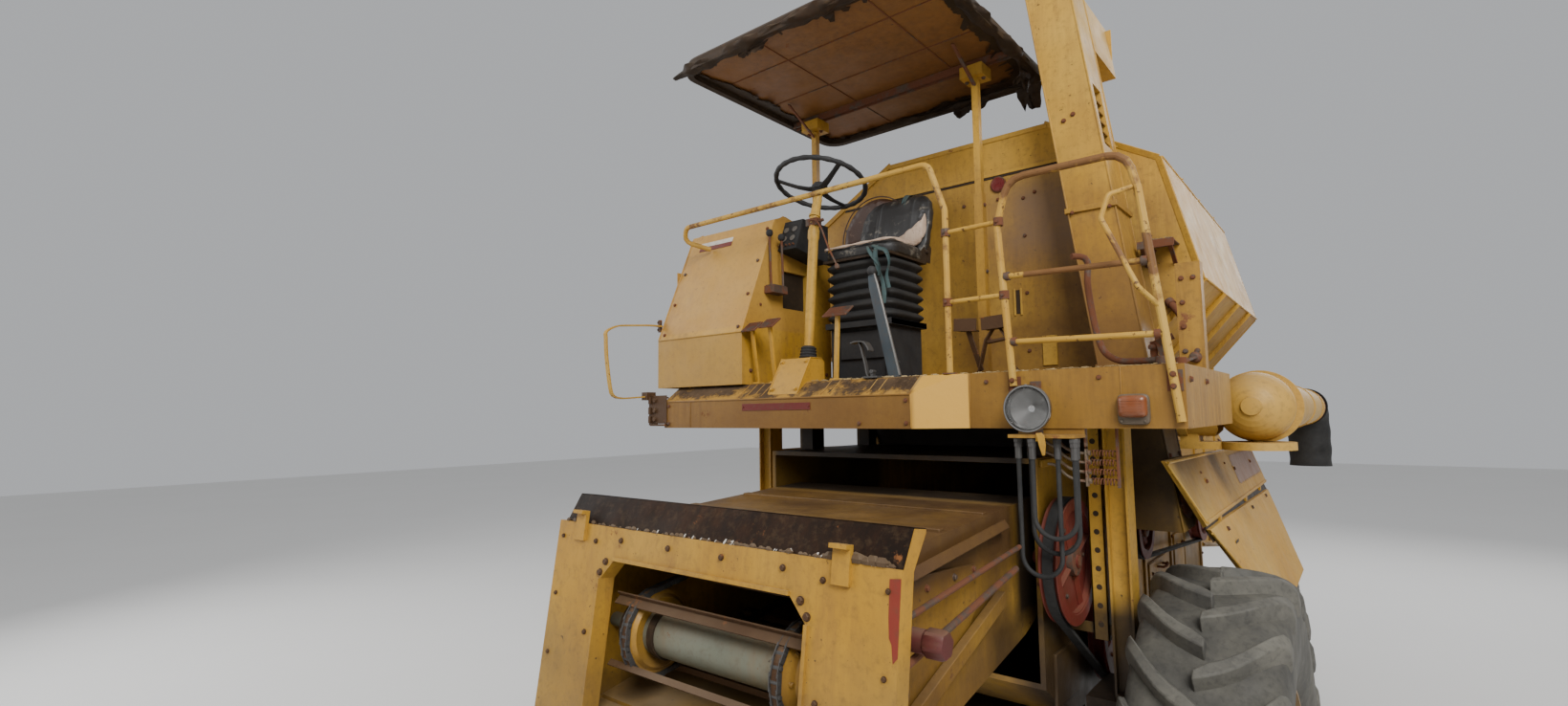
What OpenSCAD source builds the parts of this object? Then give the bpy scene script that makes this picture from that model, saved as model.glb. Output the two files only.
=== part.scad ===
// Combine harvester with an open driver's platform and sun canopy.
// Millimetres, +Z up, the front of the machine towards -Y, its left side towards +X.
// Sizes count from the front axle at y = 0 and the ground at z = 0.

/* [Wheels and axles] */
// Distance between the axles
wheelbase = 3500; // [3200:10:3800]
// Half of the front track
front_track_half = 1190; // [1185:1:1230]
// Front tyre radius out to the lug tips
front_r = 780; // [740:5:800]
// Front tyre width
front_w = 470; // [400:5:480]
// Front rim radius at the bead
front_rim_r = 390; // [350:5:420]
// Half of the rear track
rear_track_half = 1010; // [1005:5:1050]
// Rear tyre radius
rear_r = 480; // [460:5:500]
// Rear tyre width
rear_w = 290; // [240:5:300]
// Rear rim radius at the bead
rear_rim_r = 235; // [210:5:250]
// Half distance between the steering pivots
kingpin_x = 790; // [780:5:800]
// Kingpin radius
kingpin_r = 25; // [20:1:30]

/* [Threshing body] */
// Half width over the side walls
body_half = 660; // [640:5:670]
// Sheet thickness of body, tank and hood
wall = 20; // [15:1:30]
// Height of the top of the body
body_top = 1960; // [1940:5:1970]
// Rear end of the threshing body
body_rear = 2890; // [2880:5:2950]
// Rear end of the straw hood
hood_rear = 4680; // [4500:10:4800]

/* [Grain tank] */
// Front wall of the tank
tank_front = 550; // [545:5:600]
// Rear wall of the tank
tank_rear = 2400; // [2300:10:2500]
// Half width at the widest fold
tank_half = 1130; // [1100:5:1150]
// Height of the widest fold
tank_fold_z = 2715; // [2650:5:2780]
// Half width at the upper fold
tank_top_half = 985; // [950:5:1000]
// Height of the upper fold
tank_top_z = 3310; // [3250:5:3350]
// Height of the rim of the tank
tank_rim_z = 3615; // [3550:5:3650]
// Half width of the open mouth of the tank
tank_mouth_half = 470; // [420:5:500]

/* [Driver's platform] */
// Height of the floor
floor_z = 2290; // [2285:1:2300]
// Depth of the skirt panels below the floor
skirt_h = 212; // [180:2:220]
// Height of the sloping front edge
slope_z = 2213; // [2190:1:2240]
// Where the slope meets the deck
slope_back = -462; // [-464:1:-450]
// Height of the upright channel at the landing's left end
landing_post_h = 410; // [380:5:450]
// Front edge of the platform
deck_front = -570; // [-580:5:-560]
// Front edge of the landing beside the driver
landing_front = -440; // [-450:5:-430]
// Half width of the platform
deck_half = 1195; // [1190:5:1210]
// Rear edge of the platform
deck_rear = 535; // [520:5:540]
// Underside of the canopy
canopy_z = 3900; // [3850:5:3950]
// Radius of the steering wheel
steer_r = 240; // [220:5:250]

/* [Feeder house] */
// Pivot of the feeder house, along the machine
pivot_y = -200; // [-210:5:-190]
// Height of the pivot
pivot_z = 1570; // [1560:5:1580]
// Clearance between the feeder house and the side walls
feeder_gap = 50; // [40:1:60]
// Half width of the front frame
frame_half = 735; // [700:5:740]
// Half height of the front frame
frame_half_h = 355; // [340:5:360]
// Backward tilt of the raised front frame, in degrees
frame_tilt = 8.5; // [6:0.5:10]

/* [Unloading auger] */
// Centre of the swing, across the machine
auger_x = 1240; // [1220:5:1260]
// Centre of the swing, along the machine
auger_y = 930; // [900:5:960]
// Height of the auger tube
auger_z = 2150; // [2140:5:2160]
// Radius of the auger tube
auger_r = 140; // [120:5:150]
// Length of the tube from the swing centre
auger_len = 3450; // [3300:10:3600]

/* [Hidden] */
$fn = 48;
e = 0.3;   // seat clearance between two pieces
feeder_half = body_half - wall - feeder_gap;
pulley_x = body_half + 30; // inner face of the drive pulleys
shaft_end = body_half + 100;
yellow = [0.80, 0.60, 0.18];
dark = [0.20, 0.17, 0.14];
black = [0.08, 0.08, 0.08];
grey = [0.42, 0.42, 0.40];
rim_half = 190;            // half width of the front rim
rear_rim_half = 110;       // half width of the rear rim
rear_y = wheelbase;
beam_top = 870;            // front axle beam
beam_bottom = 690;
beam_half_y = 90;
drive_in = 745;            // inner and outer face of the final drives
drive_out = 925;
drive_top = 1060;
rail_top = 720;
rail_bottom = 600;
rail_w = 80;
upright_x = 845;
deck_under = floor_z - 20;
cross_h = 120;
sieve_half = 560;
feeder_back_r = 230;       // round rear end of the feeder house
drum_y = -1345;
drum_z = 1390;
lift_x = 420;              // lift cylinders
lift_y = -40;
lift_z = 560;
eye_y = -950;
eye_z = 1140;
lift_len = norm([eye_y - lift_y, eye_z - lift_z]);
lift_angle = atan2(eye_z - lift_z, lift_y - eye_y);
barrel_len = 610;
rod_len = 565;
seat_x = -330;
wheel_tilt = 17;           // steering wheel leans towards the driver
wheel_c = [-400, -240, 3290];
arm_len = 150;             // steering arm

// The row's origin is on the ground under the middle of the whole machine
frame_front = -1500 - 30 * cos(frame_tilt) - frame_half_h * sin(frame_tilt);
mid_y = (frame_front + hood_rear + 35) / 2;

// Piece to draw

// Shared shapes

module placed() translate([0, -mid_y, 0]) children();

// A profile in (y, z), swept across the machine from x0 to x1
module across(x0, x1)
    translate([x0, 0, 0]) rotate([90, 0, 90]) linear_extrude(x1 - x0) children();

// A profile in (x, z), swept along the machine from y0 to y1
module along(y0, y1)
    translate([0, y1, 0]) rotate([90, 0, 0]) linear_extrude(y1 - y0) children();

// A box from one corner to the other
module block(a, b) translate(a) cube(b - a);

// A round bar between two points
module bar(a, b, r) {
    v = b - a;
    translate(a) rotate([0, acos(v[2] / norm(v)), atan2(v[1], v[0])]) cylinder(h = norm(v), r = r);
}

function unit(v) = v / norm(v);

// A path with each corner rounded into chords: the points on the arc at corner i
function corner(p, i, bend) = let (u = unit(p[i] - p[i - 1]), v = unit(p[i + 1] - p[i]), turn = acos(u * v),
    inward = unit(v - (u * v) * u), c = p[i] - u * bend * tan(turn / 2) + inward * bend)
    [for (k = [0 : 1 / 3 : 1]) c + bend * (sin(turn * k) * u - cos(turn * k) * inward)];
function rounded(p, bend) = concat([p[0]], [for (i = [1 : len(p) - 2]) each corner(p, i, bend)], [p[len(p) - 1]]);

// A closed skin over rows of points, each row counterclockwise as seen from the last
module loft(rows) {
    n = len(rows[0]);
    m = len(rows);
    polyhedron([for (row = rows) each row], concat([[for (a = [0 : n - 1]) a]],
        [for (i = [0 : m - 2]) for (a = [0 : n - 1]) let (b = (a + 1) % n, o = i * n)
            each [[o + a, o + b + n, o + b], [o + a, o + a + n, o + b + n]]],
        [[for (a = [n - 1 : -1 : 0]) (m - 1) * n + a]]));
}

// A tube of 12 sides along such a path, mitred at each chord
tube_sides = 12;
module tube(points, r, bend) {
    path = rounded(points, bend);
    n = len(path);
    seg = [for (i = [0 : n - 2]) unit(path[i + 1] - path[i])];
    side0 = unit(cross(seg[0], [0.31, 0.9, 0.27]));
    // The cross-section is carried from each chord to the next without twisting
    function carried(i, v) = let (w = v - (v * seg[i]) * seg[i]) unit(w);
    sides = [for (i = 0, v = side0; i < n - 1; i = i + 1, v = i < n - 1 ? carried(i, v) : v) v];
    function ring(i) = let (k = min(i, n - 2), u = sides[k], w = cross(seg[k], u),
        m = i == 0 || i == n - 1 ? seg[k] : unit(seg[i - 1] + seg[i]))
        [for (a = [0 : tube_sides - 1]) let (q = r * (cos(a * 360 / tube_sides) * u + sin(a * 360 / tube_sides) * w))
            path[i] + q - seg[k] * (q * m) / (seg[k] * m)];
    loft([for (i = [0 : n - 1]) ring(i)]);
}

module both_sides() {
    children();
    mirror([1, 0, 0]) children();
}

// Chassis and axles

module frame() color(yellow) placed() {
    both_sides() {
        block([body_half + e, beam_half_y + e, rail_bottom], [body_half + rail_w, 2880, rail_top]);
        block([250, 2780, rail_bottom], [350, 3700, rail_top]);
        difference() {
            block([upright_x, -130, drive_top + e], [drive_out, -30, deck_under - cross_h]);
            block([upright_x + 8, -131, drive_top + 20], [drive_out - 8, -100, deck_under - cross_h - 20]);
        }
        block([560, -130, body_top + e], [640, -30, deck_under - cross_h]);
        block([560, 400, body_top + e], [640, 480, deck_under - cross_h]);
    }
    block([-body_half - rail_w, 2780, rail_bottom], [body_half + rail_w, 2880, rail_top]);
    block([-350, 3700, rail_bottom], [350, 3760, rail_top]);
    block([-drive_out, -130, deck_under - cross_h], [drive_out, -30, deck_under - e]);
    block([-720, 400, deck_under - cross_h], [720, 480, deck_under - e]);
    // Drawbar plate with its pin hole
    difference() {
        block([-90, 3760, 645], [90, 3900, 675]);
        translate([0, 3850, 640]) cylinder(h = 40, r = 17);
    }
}

module front_axle() color(dark) placed() {
    difference() {
        union() {
            block([-drive_in, -beam_half_y, beam_bottom], [drive_in, beam_half_y, beam_top]);
            block([-190, -230, 640], [190, -80, 925]);
            for (s = [-1, 1]) translate([s * 60, -150, 780]) rotate([0, s * 90, 0])
                cylinder(h = 560, r = 55);
            // Lugs and pins of the lift cylinders
            for (s = [-1, 1]) for (k = [-1, 1])
                block([s * lift_x + k * 36 - 7, -75, 525], [s * lift_x + k * 36 + 7, -5, beam_bottom + 5]);
        }
        for (s = [-1, 1]) translate([s * lift_x - 50, lift_y, lift_z]) rotate([0, 90, 0])
            cylinder(h = 100, r = 14);
    }
    for (s = [-1, 1]) translate([s * lift_x - 43, lift_y, lift_z]) rotate([0, 90, 0])
        cylinder(h = 86, r = 15);
    both_sides() {
        across(drive_in, drive_out) union() {
            translate([0, front_r]) circle(r = 200);
            translate([-150, front_r - 150]) square([300, drive_top - front_r + 150]);
        }
        across(drive_out - 5, front_track_half - 30 - e) translate([0, front_r]) circle(r = 85);
    }
}

// Threshing body, straw hood and sieves

function body_line(t) = [[-330 + t, body_top - t], [-330, 1110 + t], [-60, 930 + t], [100 + t, 930 + t],
    [240 + t, 640 + t], [1500, 640 + t], [body_rear - t, 760 + t], [body_rear - t, body_top - t]];

module body() color(yellow) placed() difference() {
    across(-body_half, body_half) polygon(body_line(0));
    across(wall - body_half, body_half - wall) polygon(body_line(wall));
    // Mouth of the feeder house
    block([wall - body_half, -340, 1110 + wall], [body_half - wall, -300, body_top - wall]);
    // Round shafts through both side walls
    for (h = [[pivot_y, pivot_z], [350, 1230], [900, 1560], [2450, 1480]])
        translate([0, h[0], h[1]]) rotate([0, 90, 0]) cylinder(h = 2000, r = 26, center = true);
}

module straw_hood() color(yellow) placed() difference() {
    across(-body_half, body_half) polygon([[body_rear + e, 1150], [body_rear + e, body_top], [3850, body_top],
        [4500, 1730], [hood_rear, 1480], [hood_rear, 1040], [3650, 1040]]);
    across(wall - body_half, body_half - wall) polygon([[body_rear + wall, 1150 - wall],
        [body_rear + wall, body_top - wall], [3850 - 5, body_top - wall], [4500 - 12, 1730 - 17],
        [hood_rear - wall, 1480 - 8], [hood_rear - wall, 1000], [3650, 1000]]);
}

module sieve_box() color(yellow) placed() difference() {
    across(-sieve_half, sieve_half) polygon([[body_rear + e, 765], [body_rear + e, 1120], [3350, 1120],
        [3350, 860], [3250, 765]]);
    across(wall - sieve_half, sieve_half - wall) polygon([[body_rear + wall, 785], [body_rear + wall, 1100],
        [3360, 1100], [3360, 872], [3235, 785]]);
}

// Grain tank and elevator

function tank_line(t) = [[-600 + t, body_top + e + t], [600 - t, body_top + e + t], [770 - t, 2300],
    [tank_half - t, tank_fold_z], [tank_top_half - t, tank_top_z], [tank_mouth_half - t, tank_rim_z - t],
    [-tank_mouth_half + t, tank_rim_z - t], [-tank_top_half + t, tank_top_z],
    [-tank_half + t, tank_fold_z], [-770 + t, 2300]];

module grain_tank() color(yellow) placed() difference() {
    along(tank_front, tank_rear) polygon(tank_line(0));
    along(tank_front + wall, tank_rear - wall) polygon(tank_line(wall));
    block([-tank_mouth_half + wall, tank_front + wall, tank_rim_z - 100],
        [tank_mouth_half - wall, tank_rear - wall, tank_rim_z + 10]);
}

elev_slope = 0.1374;
function elev_x(z) = 675 + elev_slope * (2820 - z);
elev_w = 200;
elev_y0 = 250;
elev_y1 = 500;
elev_bottom = 1640;
elev_top = 4180;

module grain_elevator() color(yellow) placed() {
    elevator_case();
    for (z = [3385 : 52 : 3620]) translate([elev_x(z) + elev_w - 18, 0, z]) rotate([0, 40, 0])
        translate([-16, elev_y0 + 58, -2]) cube([32, elev_y1 - elev_y0 - 116, 4]);
}

module elevator_case() difference() {
    union() {
        along(elev_y0, elev_y1) polygon([[body_half + e, elev_bottom], [elev_x(elev_bottom) + elev_w, elev_bottom],
            [elev_x(elev_top) + elev_w, elev_top], [elev_x(elev_top), elev_top], [elev_x(body_top), body_top],
            [body_half + e, body_top - 60]]);
        // Head that throws the grain back over the tank
        along(elev_y1 - 5, 900) polygon([[elev_x(elev_top), elev_top], [elev_x(3900), 3900],
            [elev_x(3900) + elev_w, 3900], [elev_x(elev_top) + elev_w, elev_top]]);
    }
    // Slatted slot in the outer side
    block([elev_x(3650) + elev_w - 40, elev_y0 + 60, 3350], [elev_x(3350) + elev_w + 60, elev_y1 - 60, 3650]);
}

// Engine

module engine() color(grey) placed() block([-430, 2560, body_top + 60], [430, 3300, 2620]);

module engine_hood() color(yellow) placed() {
    difference() {
        along(2460, 3500) polygon([[-690, body_top + e], [690, body_top + e], [690, 2720], [600, 2820],
            [-600, 2820], [-690, 2720]]);
        along(2460 + wall, 3500 - wall) polygon([[-670, body_top - 5], [670, body_top - 5], [670, 2712],
            [592, 2800], [-592, 2800], [-670, 2712]]);
        translate([600, 2980, 2380]) rotate([0, 90, 0]) cylinder(h = 200, r = 320);
    }
    // Air screen ring and feet of the engine
    translate([690 - 20, 2980, 2380]) rotate([0, 90, 0]) difference() {
        cylinder(h = 60, r = 340);
        translate([0, 0, -1]) cylinder(h = 46, r = 320);
    }
    // Bars of the air screen
    for (k = [-4 : 4]) let (h = sqrt(pow(321, 2) - pow(k * 68, 2)) + 4) {
        block([700, 2980 + k * 68 - 4, 2380 - h], [707, 2980 + k * 68 + 4, 2380 + h]);
        block([706, 2980 - h, 2380 + k * 68 - 4], [713, 2980 + h, 2380 + k * 68 + 4]);
    }
    for (x = [-380, 300], y = [2600, 3200]) block([x, y, body_top + e], [x + 80, y + 60, body_top + 60 - e]);
    // Exhaust pipe
    translate([-420, 3380, 2810]) difference() {
        cylinder(h = 420, r = 45);
        translate([0, 0, 30]) cylinder(h = 420, r = 40);
    }
}

// Driver's platform

function deck_line(t) = [[-deck_half + t, deck_front + t], [260, deck_front + t], [450, landing_front + t],
    [deck_half - t, landing_front + t], [deck_half - t, deck_rear - t], [-deck_half + t, deck_rear - t]];

// Space over the sloping front edge of the deck, a plate's thickness lower
module above_slope(t) let (rise = (floor_z - slope_z) / (slope_back - deck_front))
    across(-deck_half - 50, 600) polygon([for (y = [deck_front - 100, slope_back + 30]) [y, slope_z - t + rise * (y - deck_front)],
        [slope_back + 30, floor_z + 100], [deck_front - 100, floor_z + 100]]);

module platform() color(yellow) placed() {
    difference() {
        translate([0, 0, floor_z - skirt_h]) linear_extrude(skirt_h) polygon(deck_line(0));
        above_slope(0);
        difference() {
            translate([0, 0, floor_z - skirt_h - 1]) linear_extrude(skirt_h - 20 + 1) polygon(deck_line(12));
            above_slope(14);
        }
        // Well for the grain elevator
        block([elev_x(floor_z) - 12, elev_y0 - 12, 2000], [elev_x(2080) + elev_w + 12, deck_rear + 1, floor_z + 1]);
    }
    // Bracket of the hydraulic hoses
    block([635, -536, hose_top], [870, -420, hose_top + 12]);
    block([635, -434, hose_top], [870, -422, floor_z - skirt_h + 30]);
    // Upright channel at the left end of the landing
    block([deck_half - 90, 0, floor_z - 1], [deck_half - 5, 12, floor_z + landing_post_h]);
    block([deck_half - 17, 11, floor_z - 1], [deck_half - 5, 60, floor_z + landing_post_h]);
}

module console() color(yellow) placed() {
    console_case();
    // Instrument panel beside the steering column
    across(-710, -585) polygon([[-215, 3000], [-150, 3165], [70, 3165], [70, 2960]]);
}

module console_case() difference() {
    across(-1330, -705) polygon([[-500, floor_z + e], [-500, 2550], [-235, 3170], [-150, 3200], [250, 3120],
        [250, floor_z + e]]);
    across(-1310, -725) polygon([[-485, floor_z - 5], [-485, 2545], [-225, 3153], [-147, 3180], [235, 3102],
        [235, floor_z - 5]]);
    // Dark opening in the inner side
    block([-730, -180, 2700], [-700, 20, 2900]);
}

module steering_column() color(yellow) placed() {
    across(-500, -330) polygon([[-545, slope_z + (floor_z - slope_z) * (deck_front + 545) / (deck_front - slope_back) + e + 1],
        [slope_back, floor_z + e], [-330, floor_z + e], [-330, 2385], [-350, 2402], [-440, 2402]]);
    top = wheel_c - 190 * [0, sin(wheel_tilt), cos(wheel_tilt)];
    bar([-400, -365, 2400], top, 23, $fn = 12);
    bar(top - 40 * [0, sin(wheel_tilt), cos(wheel_tilt)], wheel_c - 60 * [0, sin(wheel_tilt), cos(wheel_tilt)], 20, $fn = 12);
}

module steering_wheel() color(black) placed() translate(wheel_c) rotate([-wheel_tilt, 0, 0]) {
    rotate_extrude($fn = 60) translate([steer_r - 14, 0]) circle(r = 14, $fn = 24);
    translate([0, 0, -59.5]) cylinder(h = 70, r = 26);
    translate([0, 0, -30]) cylinder(h = 36, r = 42);
    for (a = [90, 210, 330]) rotate([0, 0, a]) bar([20, 0, -14], [steer_r - 16, 0, -2], 9);
}

// Pedals and levers: foot x, foot y, top x, top y, top height, pad width
pedals = [[-655, -440, -655, -480, 2570, 90], [-550, -430, -550, -470, 2580, 90], [-200, -420, -170, -440, 2600, 130]];

module foot_plate(x, y) block([x - 22, y - 22, floor_z + e], [x + 22, y + 22, floor_z + 10]);

module controls() color(yellow) placed() {
    for (p = pedals) {
        foot_plate(p[0], p[1]);
        bar([p[0], p[1], floor_z + 5], [p[2], p[3], p[4]], 10, $fn = 12);
        translate([p[2], p[3], p[4]]) rotate([35, 0, 0]) cube([p[5], 80, 14], center = true);
    }
    foot_plate(100, -400);
    bar([100, -400, floor_z + 8], [-10, -400, 2770], 14, $fn = 12);
    translate([-10, -400, 2750]) cylinder(h = 42, r = 21);
    // Hand levers in front of the instrument panel
    block([-705 + e, -330, 2760], [-640, -215, 2800]);
    for (l = [[-690, -300, 3080], [-655, -245, 3060]]) {
        bar([l[0], l[1] + 10, 2790], [l[0], l[1], l[2]], 7, $fn = 12);
        translate([l[0], l[1], l[2] - 19]) cylinder(h = 38, r = 19);
    }
}

module seat_base() color(dark) placed() {
    block([seat_x - 200, -40, floor_z + e], [seat_x + 200, 320, floor_z + 30]);
    block([seat_x - 150, 10, floor_z + 25], [seat_x + 150, 270, 2600]);
    block([seat_x - 200, -40, 2580], [seat_x + 200, 320, 2610]);
}

module seat_bellows() color(black) placed() {
    ribs = 6;
    rib_h = (2930 - 2610 - 2 * e) / ribs;
    for (i = [0 : ribs - 1]) translate([0, 0, 2610 + e + i * rib_h]) {
        block([seat_x - 185, -25, 0], [seat_x + 185, 305, rib_h]);
        block([seat_x - 210, -50, rib_h * 0.25], [seat_x + 210, 330, rib_h * 0.75]);
    }
}

module seat_cushion() color(black) placed() {
    along(-60, 350) polygon([[seat_x - 240, 2950], [seat_x - 225, 2930], [seat_x + 225, 2930],
        [seat_x + 240, 2950], [seat_x + 225, 3030], [seat_x - 225, 3030]]);
    across(seat_x - 235, seat_x + 235) polygon([[300, 3020], [300, 2960], [420, 2960], [500, 3330], [480, 3380],
        [430, 3370]]);
    // Round pad left of the back as one sits
    along(435, 495) polygon(concat([for (a = [0 : 12 : 180]) [-525 + 205 * cos(a), 3130 + 225 * sin(a)]],
        [[-700, 3040], [-640, 2985], [-350, 2985]]));
}

module canopy_posts() color(yellow) placed() for (x = [-830, 200]) {
    block([x - 22, 280, floor_z + e], [x + 22, 324, 3240]);
    block([x - 17, 285, 3235], [x + 17, 319, canopy_z - e]);
    block([x - 60, 245, canopy_z - 60], [x + 60, 360, canopy_z - e]);
}

function round_corner(c, r, a0) = [for (a = [0 : 15 : 90]) c + r * [cos(a0 + a), sin(a0 + a)]];
function canopy_line(t) = let (r = 110, x0 = -1010 + t, x1 = 430 - t, y0 = -650 + t, y1 = 720 - t)
    concat(round_corner([x0 + r, y0 + r], r, 180), round_corner([x1 - r, y0 + r], r, 270),
        round_corner([x1 - r, y1 - r], r, 0), round_corner([x0 + r, y1 - r], r, 90));

module canopy() color(yellow) placed() {
    difference() {
        translate([0, 0, canopy_z]) linear_extrude(75) polygon(canopy_line(0));
        translate([0, 0, canopy_z - 1]) linear_extrude(61) polygon(canopy_line(25));
    }
    for (y = [-340, 0, 282]) block([-1000, y, canopy_z], [420, y + 42, canopy_z + 62]);
}

guard_y = landing_front - e - 14;
rail_y = -440;
module guard_rails() color(yellow) placed() {
    // Frame beside the landing
    tube([[632, guard_y, 2235], [592, guard_y, 2850], [640, guard_y, 3025], [1060, guard_y, 3025],
        [1090, guard_y, 2890], [1180, guard_y, 2100]], 14, 80);
    bar([604, guard_y, 2650], [1118, guard_y, 2640], 11, $fn = 12);
    bar([621, guard_y, 2400], [1146, guard_y, 2390], 11, $fn = 12);
    // Grab loop
    tube([[1075, guard_y, 2900], [1010, guard_y - 60, 2870], [985, guard_y - 70, 2790], [1090, guard_y - 70, 2540],
        [1137, guard_y, 2480]], 9, 25);
    // Rail in front of the driver
    tube([[370, rail_y, floor_z + e], [370, rail_y, 2960], [300, rail_y, 3170], [-1170, rail_y, 3165],
        [-1215, rail_y + 30, 3100], [-1120, rail_y + 140, 3060]], 13, 45);
    for (z = [2865, 2580]) bar([370, rail_y, z], [605, guard_y, z], 10, $fn = 12);
}

// Hydraulic hoses that hang in loops under the landing: x of both ends, y, lowest z
hose_r = 8.5;
hose_top = 2046;
hoses_at = [[655, 795, -492, 1560], [690, 850, -466, 1640], [715, 860, -518, 1700]];

module hoses() color(black) placed() for (h = hoses_at) translate([(h[0] + h[1]) / 2, h[2], h[3] + (h[1] - h[0]) / 2]) {
    loop_r = (h[1] - h[0]) / 2;
    rise = hose_top - e - h[3] - loop_r;
    rotate([90, 0, 0]) rotate([0, 0, 180]) rotate_extrude(angle = 180) translate([loop_r, 0]) circle(r = hose_r);
    for (x = [-loop_r, loop_r]) translate([x, 0, 0]) cylinder(h = rise, r = hose_r);
}

module lamps() placed() {
    color(grey) translate([710, landing_front - e, 2150]) rotate([90, 0, 0]) {
        cylinder(h = 35, r = 30);
        translate([0, 0, 30]) difference() {
            cylinder(h = 75, r = 86);
            translate([0, 0, 15]) cylinder(h = 75, r = 78);
        }
        translate([0, 0, 55]) cylinder(h = 30, r = 77);
    }
    color([0.8, 0.35, 0.1]) block([990, landing_front - 45, 2095], [1085, landing_front - e, 2190]);
    color([0.6, 0.1, 0.08]) for (s = [-1, 1])
        block([s * 540 - 60, hood_rear + e, 1250], [s * 540 + 60, hood_rear + 35, 1350]);
}

// Side shields and drives

module shields() color(yellow) placed() {
    intersection() {
        along(60, 2500) polygon([[1005, 1940], [1020, 1940], [1112, 1668], [1097, 1660]]);
        across(900, 1400) polygon([[60, 1945], [2500, 1900], [2500, 1640], [320, 1640]]);
    }
    intersection() {
        along(300, 2400) polygon([[1104, 1650], [1119, 1650], [1299, 1205], [1284, 1200]]);
        across(900, 1400) polygon([[320, 1655], [2400, 1630], [2100, 1180], [830, 1180]]);
    }
    // Brackets from the body
    for (y = [640, 1500, 2150]) {
        block([body_half + e, y, 1800], [1062, y + 40, 1830]);
        block([body_half + e, y, 1645], [1112, y + 40, 1668]);
    }
}

module shield_left() shields();
module shield_right() mirror([1, 0, 0]) shields();

// Pulleys of the left side: y, z, radius, width
pulleys = [[pivot_y, pivot_z, 225, 60], [350, 1230, 250, 60], [900, 1560, 150, 60], [2450, 1480, 200, 60]];

module drive_pulleys() color([0.55, 0.18, 0.12]) placed() for (p = pulleys)
    translate([0, p[0], p[1]]) rotate([90, 0, 90]) {
        cylinder(h = 2 * shaft_end, r = 25, center = true);
        translate([0, 0, pulley_x]) difference() {
            cylinder(h = p[3], r = p[2]);
            translate([0, 0, -1]) cylinder(h = 22, r = p[2] - 35);
            translate([0, 0, p[3] - 21]) cylinder(h = 22, r = p[2] - 35);
        }
    }

// Belt round two pulleys: its centres and radii, as the straight runs join the arcs
function belt_line(a, b, t) = let (ra = a[2] + round_gap + t, rb = b[2] + round_gap + t, d = norm([b[0] - a[0], b[1] - a[1]]),
    way = atan2(b[1] - a[1], b[0] - a[0]), lean = acos((ra - rb) / d))
    concat([for (k = [0 : 24]) let (q = way + lean + k * (360 - 2 * lean) / 24) [a[0], a[1]] + ra * [cos(q), sin(q)]],
        [for (k = [0 : 24]) let (q = way - lean + k * 2 * lean / 24) [b[0], b[1]] + rb * [cos(q), sin(q)]]);

belt_t = 13;   // thickness and width of the belts
belt_w = 36;
round_gap = 1.2;   // keeps a many-sided band clear of its round wheel
module drive_belts() color(black) placed() for (pair = [[0, 1], [2, 3]]) let (a = pulleys[pair[0]], b = pulleys[pair[1]])
    difference() {
        across(pulley_x + 12, pulley_x + 12 + belt_w) polygon(belt_line(a, b, belt_t));
        across(pulley_x + 11, pulley_x + 13 + belt_w) polygon(belt_line(a, b, 0));
    }

// Feeder house

module feeder_pose() translate([0, -1500, 1400]) rotate([-frame_tilt, 0, 0]) children();
function frame_back(z) = -1500 + (z - 1400) * tan(frame_tilt) + 30.5 / cos(frame_tilt);

function feeder_line(t) = concat([[frame_back(1100 + t), 1100 + t], [frame_back(1740 - t), 1740 - t]],
    [for (a = [90 : -15 : -90]) [pivot_y, pivot_z] + (feeder_back_r - t) * [cos(a), sin(a)]],
    [[-330, 1300 + t]]);

module feeder_house() color(yellow) placed() {
    difference() {
        across(-feeder_half, feeder_half) polygon(feeder_line(0));
        across(wall - feeder_half, feeder_half - wall) polygon(feeder_line(wall));
        block([wall - feeder_half + 5, -1530, 1125], [feeder_half - wall - 5, -1405, 1712]);
        block([wall - feeder_half + 5, -150, 1375], [feeder_half - wall - 5, 60, 1765]);
        translate([-1000, pivot_y, pivot_z]) rotate([0, 90, 0]) cylinder(h = 2000, r = 25 + e);
        translate([-1000, drum_y, drum_z]) rotate([0, 90, 0]) cylinder(h = 2000, r = 25 + e);
    }
    // Lugs of the lift cylinders, with the heads of their pins outside
    for (s = [-1, 1]) for (k = [-1, 1]) {
        block([s * lift_x + k * 36 - 7, eye_y - 40, eye_z - 35], [s * lift_x + k * 36 + 7, eye_y + 40, 1200]);
        translate([s * lift_x + k * 44 - 4, eye_y, eye_z]) rotate([0, 90, 0]) cylinder(h = 8, r = 20);
    }
}

module feeder_frame() color(yellow) placed() feeder_pose() {
    difference() {
        block([-frame_half, -30, -frame_half_h], [frame_half, 30, frame_half_h]);
        translate([0, 50, 0]) rotate([90, 0, 0]) linear_extrude(100) polygon([[-450, -290], [450, -290],
            [450, 180], [390, 245], [-390, 245], [-450, 180]]);
    }
    // Sloping upper lip and its hooks
    across(-700, frame_half) polygon([[-22, frame_half_h - 5], [-8, frame_half_h - 5], [38, frame_half_h + 88],
        [85, frame_half_h + 88], [85, frame_half_h + 100], [24, frame_half_h + 100]]);
    for (x = [-700, frame_half - 8]) across(x, x + 8)
        polygon([[-20, frame_half_h - 5], [30, frame_half_h - 5], [85, frame_half_h + 90], [24, frame_half_h + 98]]);
    for (x = [-590, 560]) {
        block([x - 28, -42, frame_half_h - 60], [x + 28, -28, frame_half_h + 45]);
        block([x - 28, -62, frame_half_h + 33], [x + 28, -28, frame_half_h + 45]);
    }
    // Folded edge round the opening
    for (x = [-462, 450]) block([x, -38, -290], [x + 12, -28, 180]);
    block([-390, -38, 245], [390, -28, 257]);
}

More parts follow.
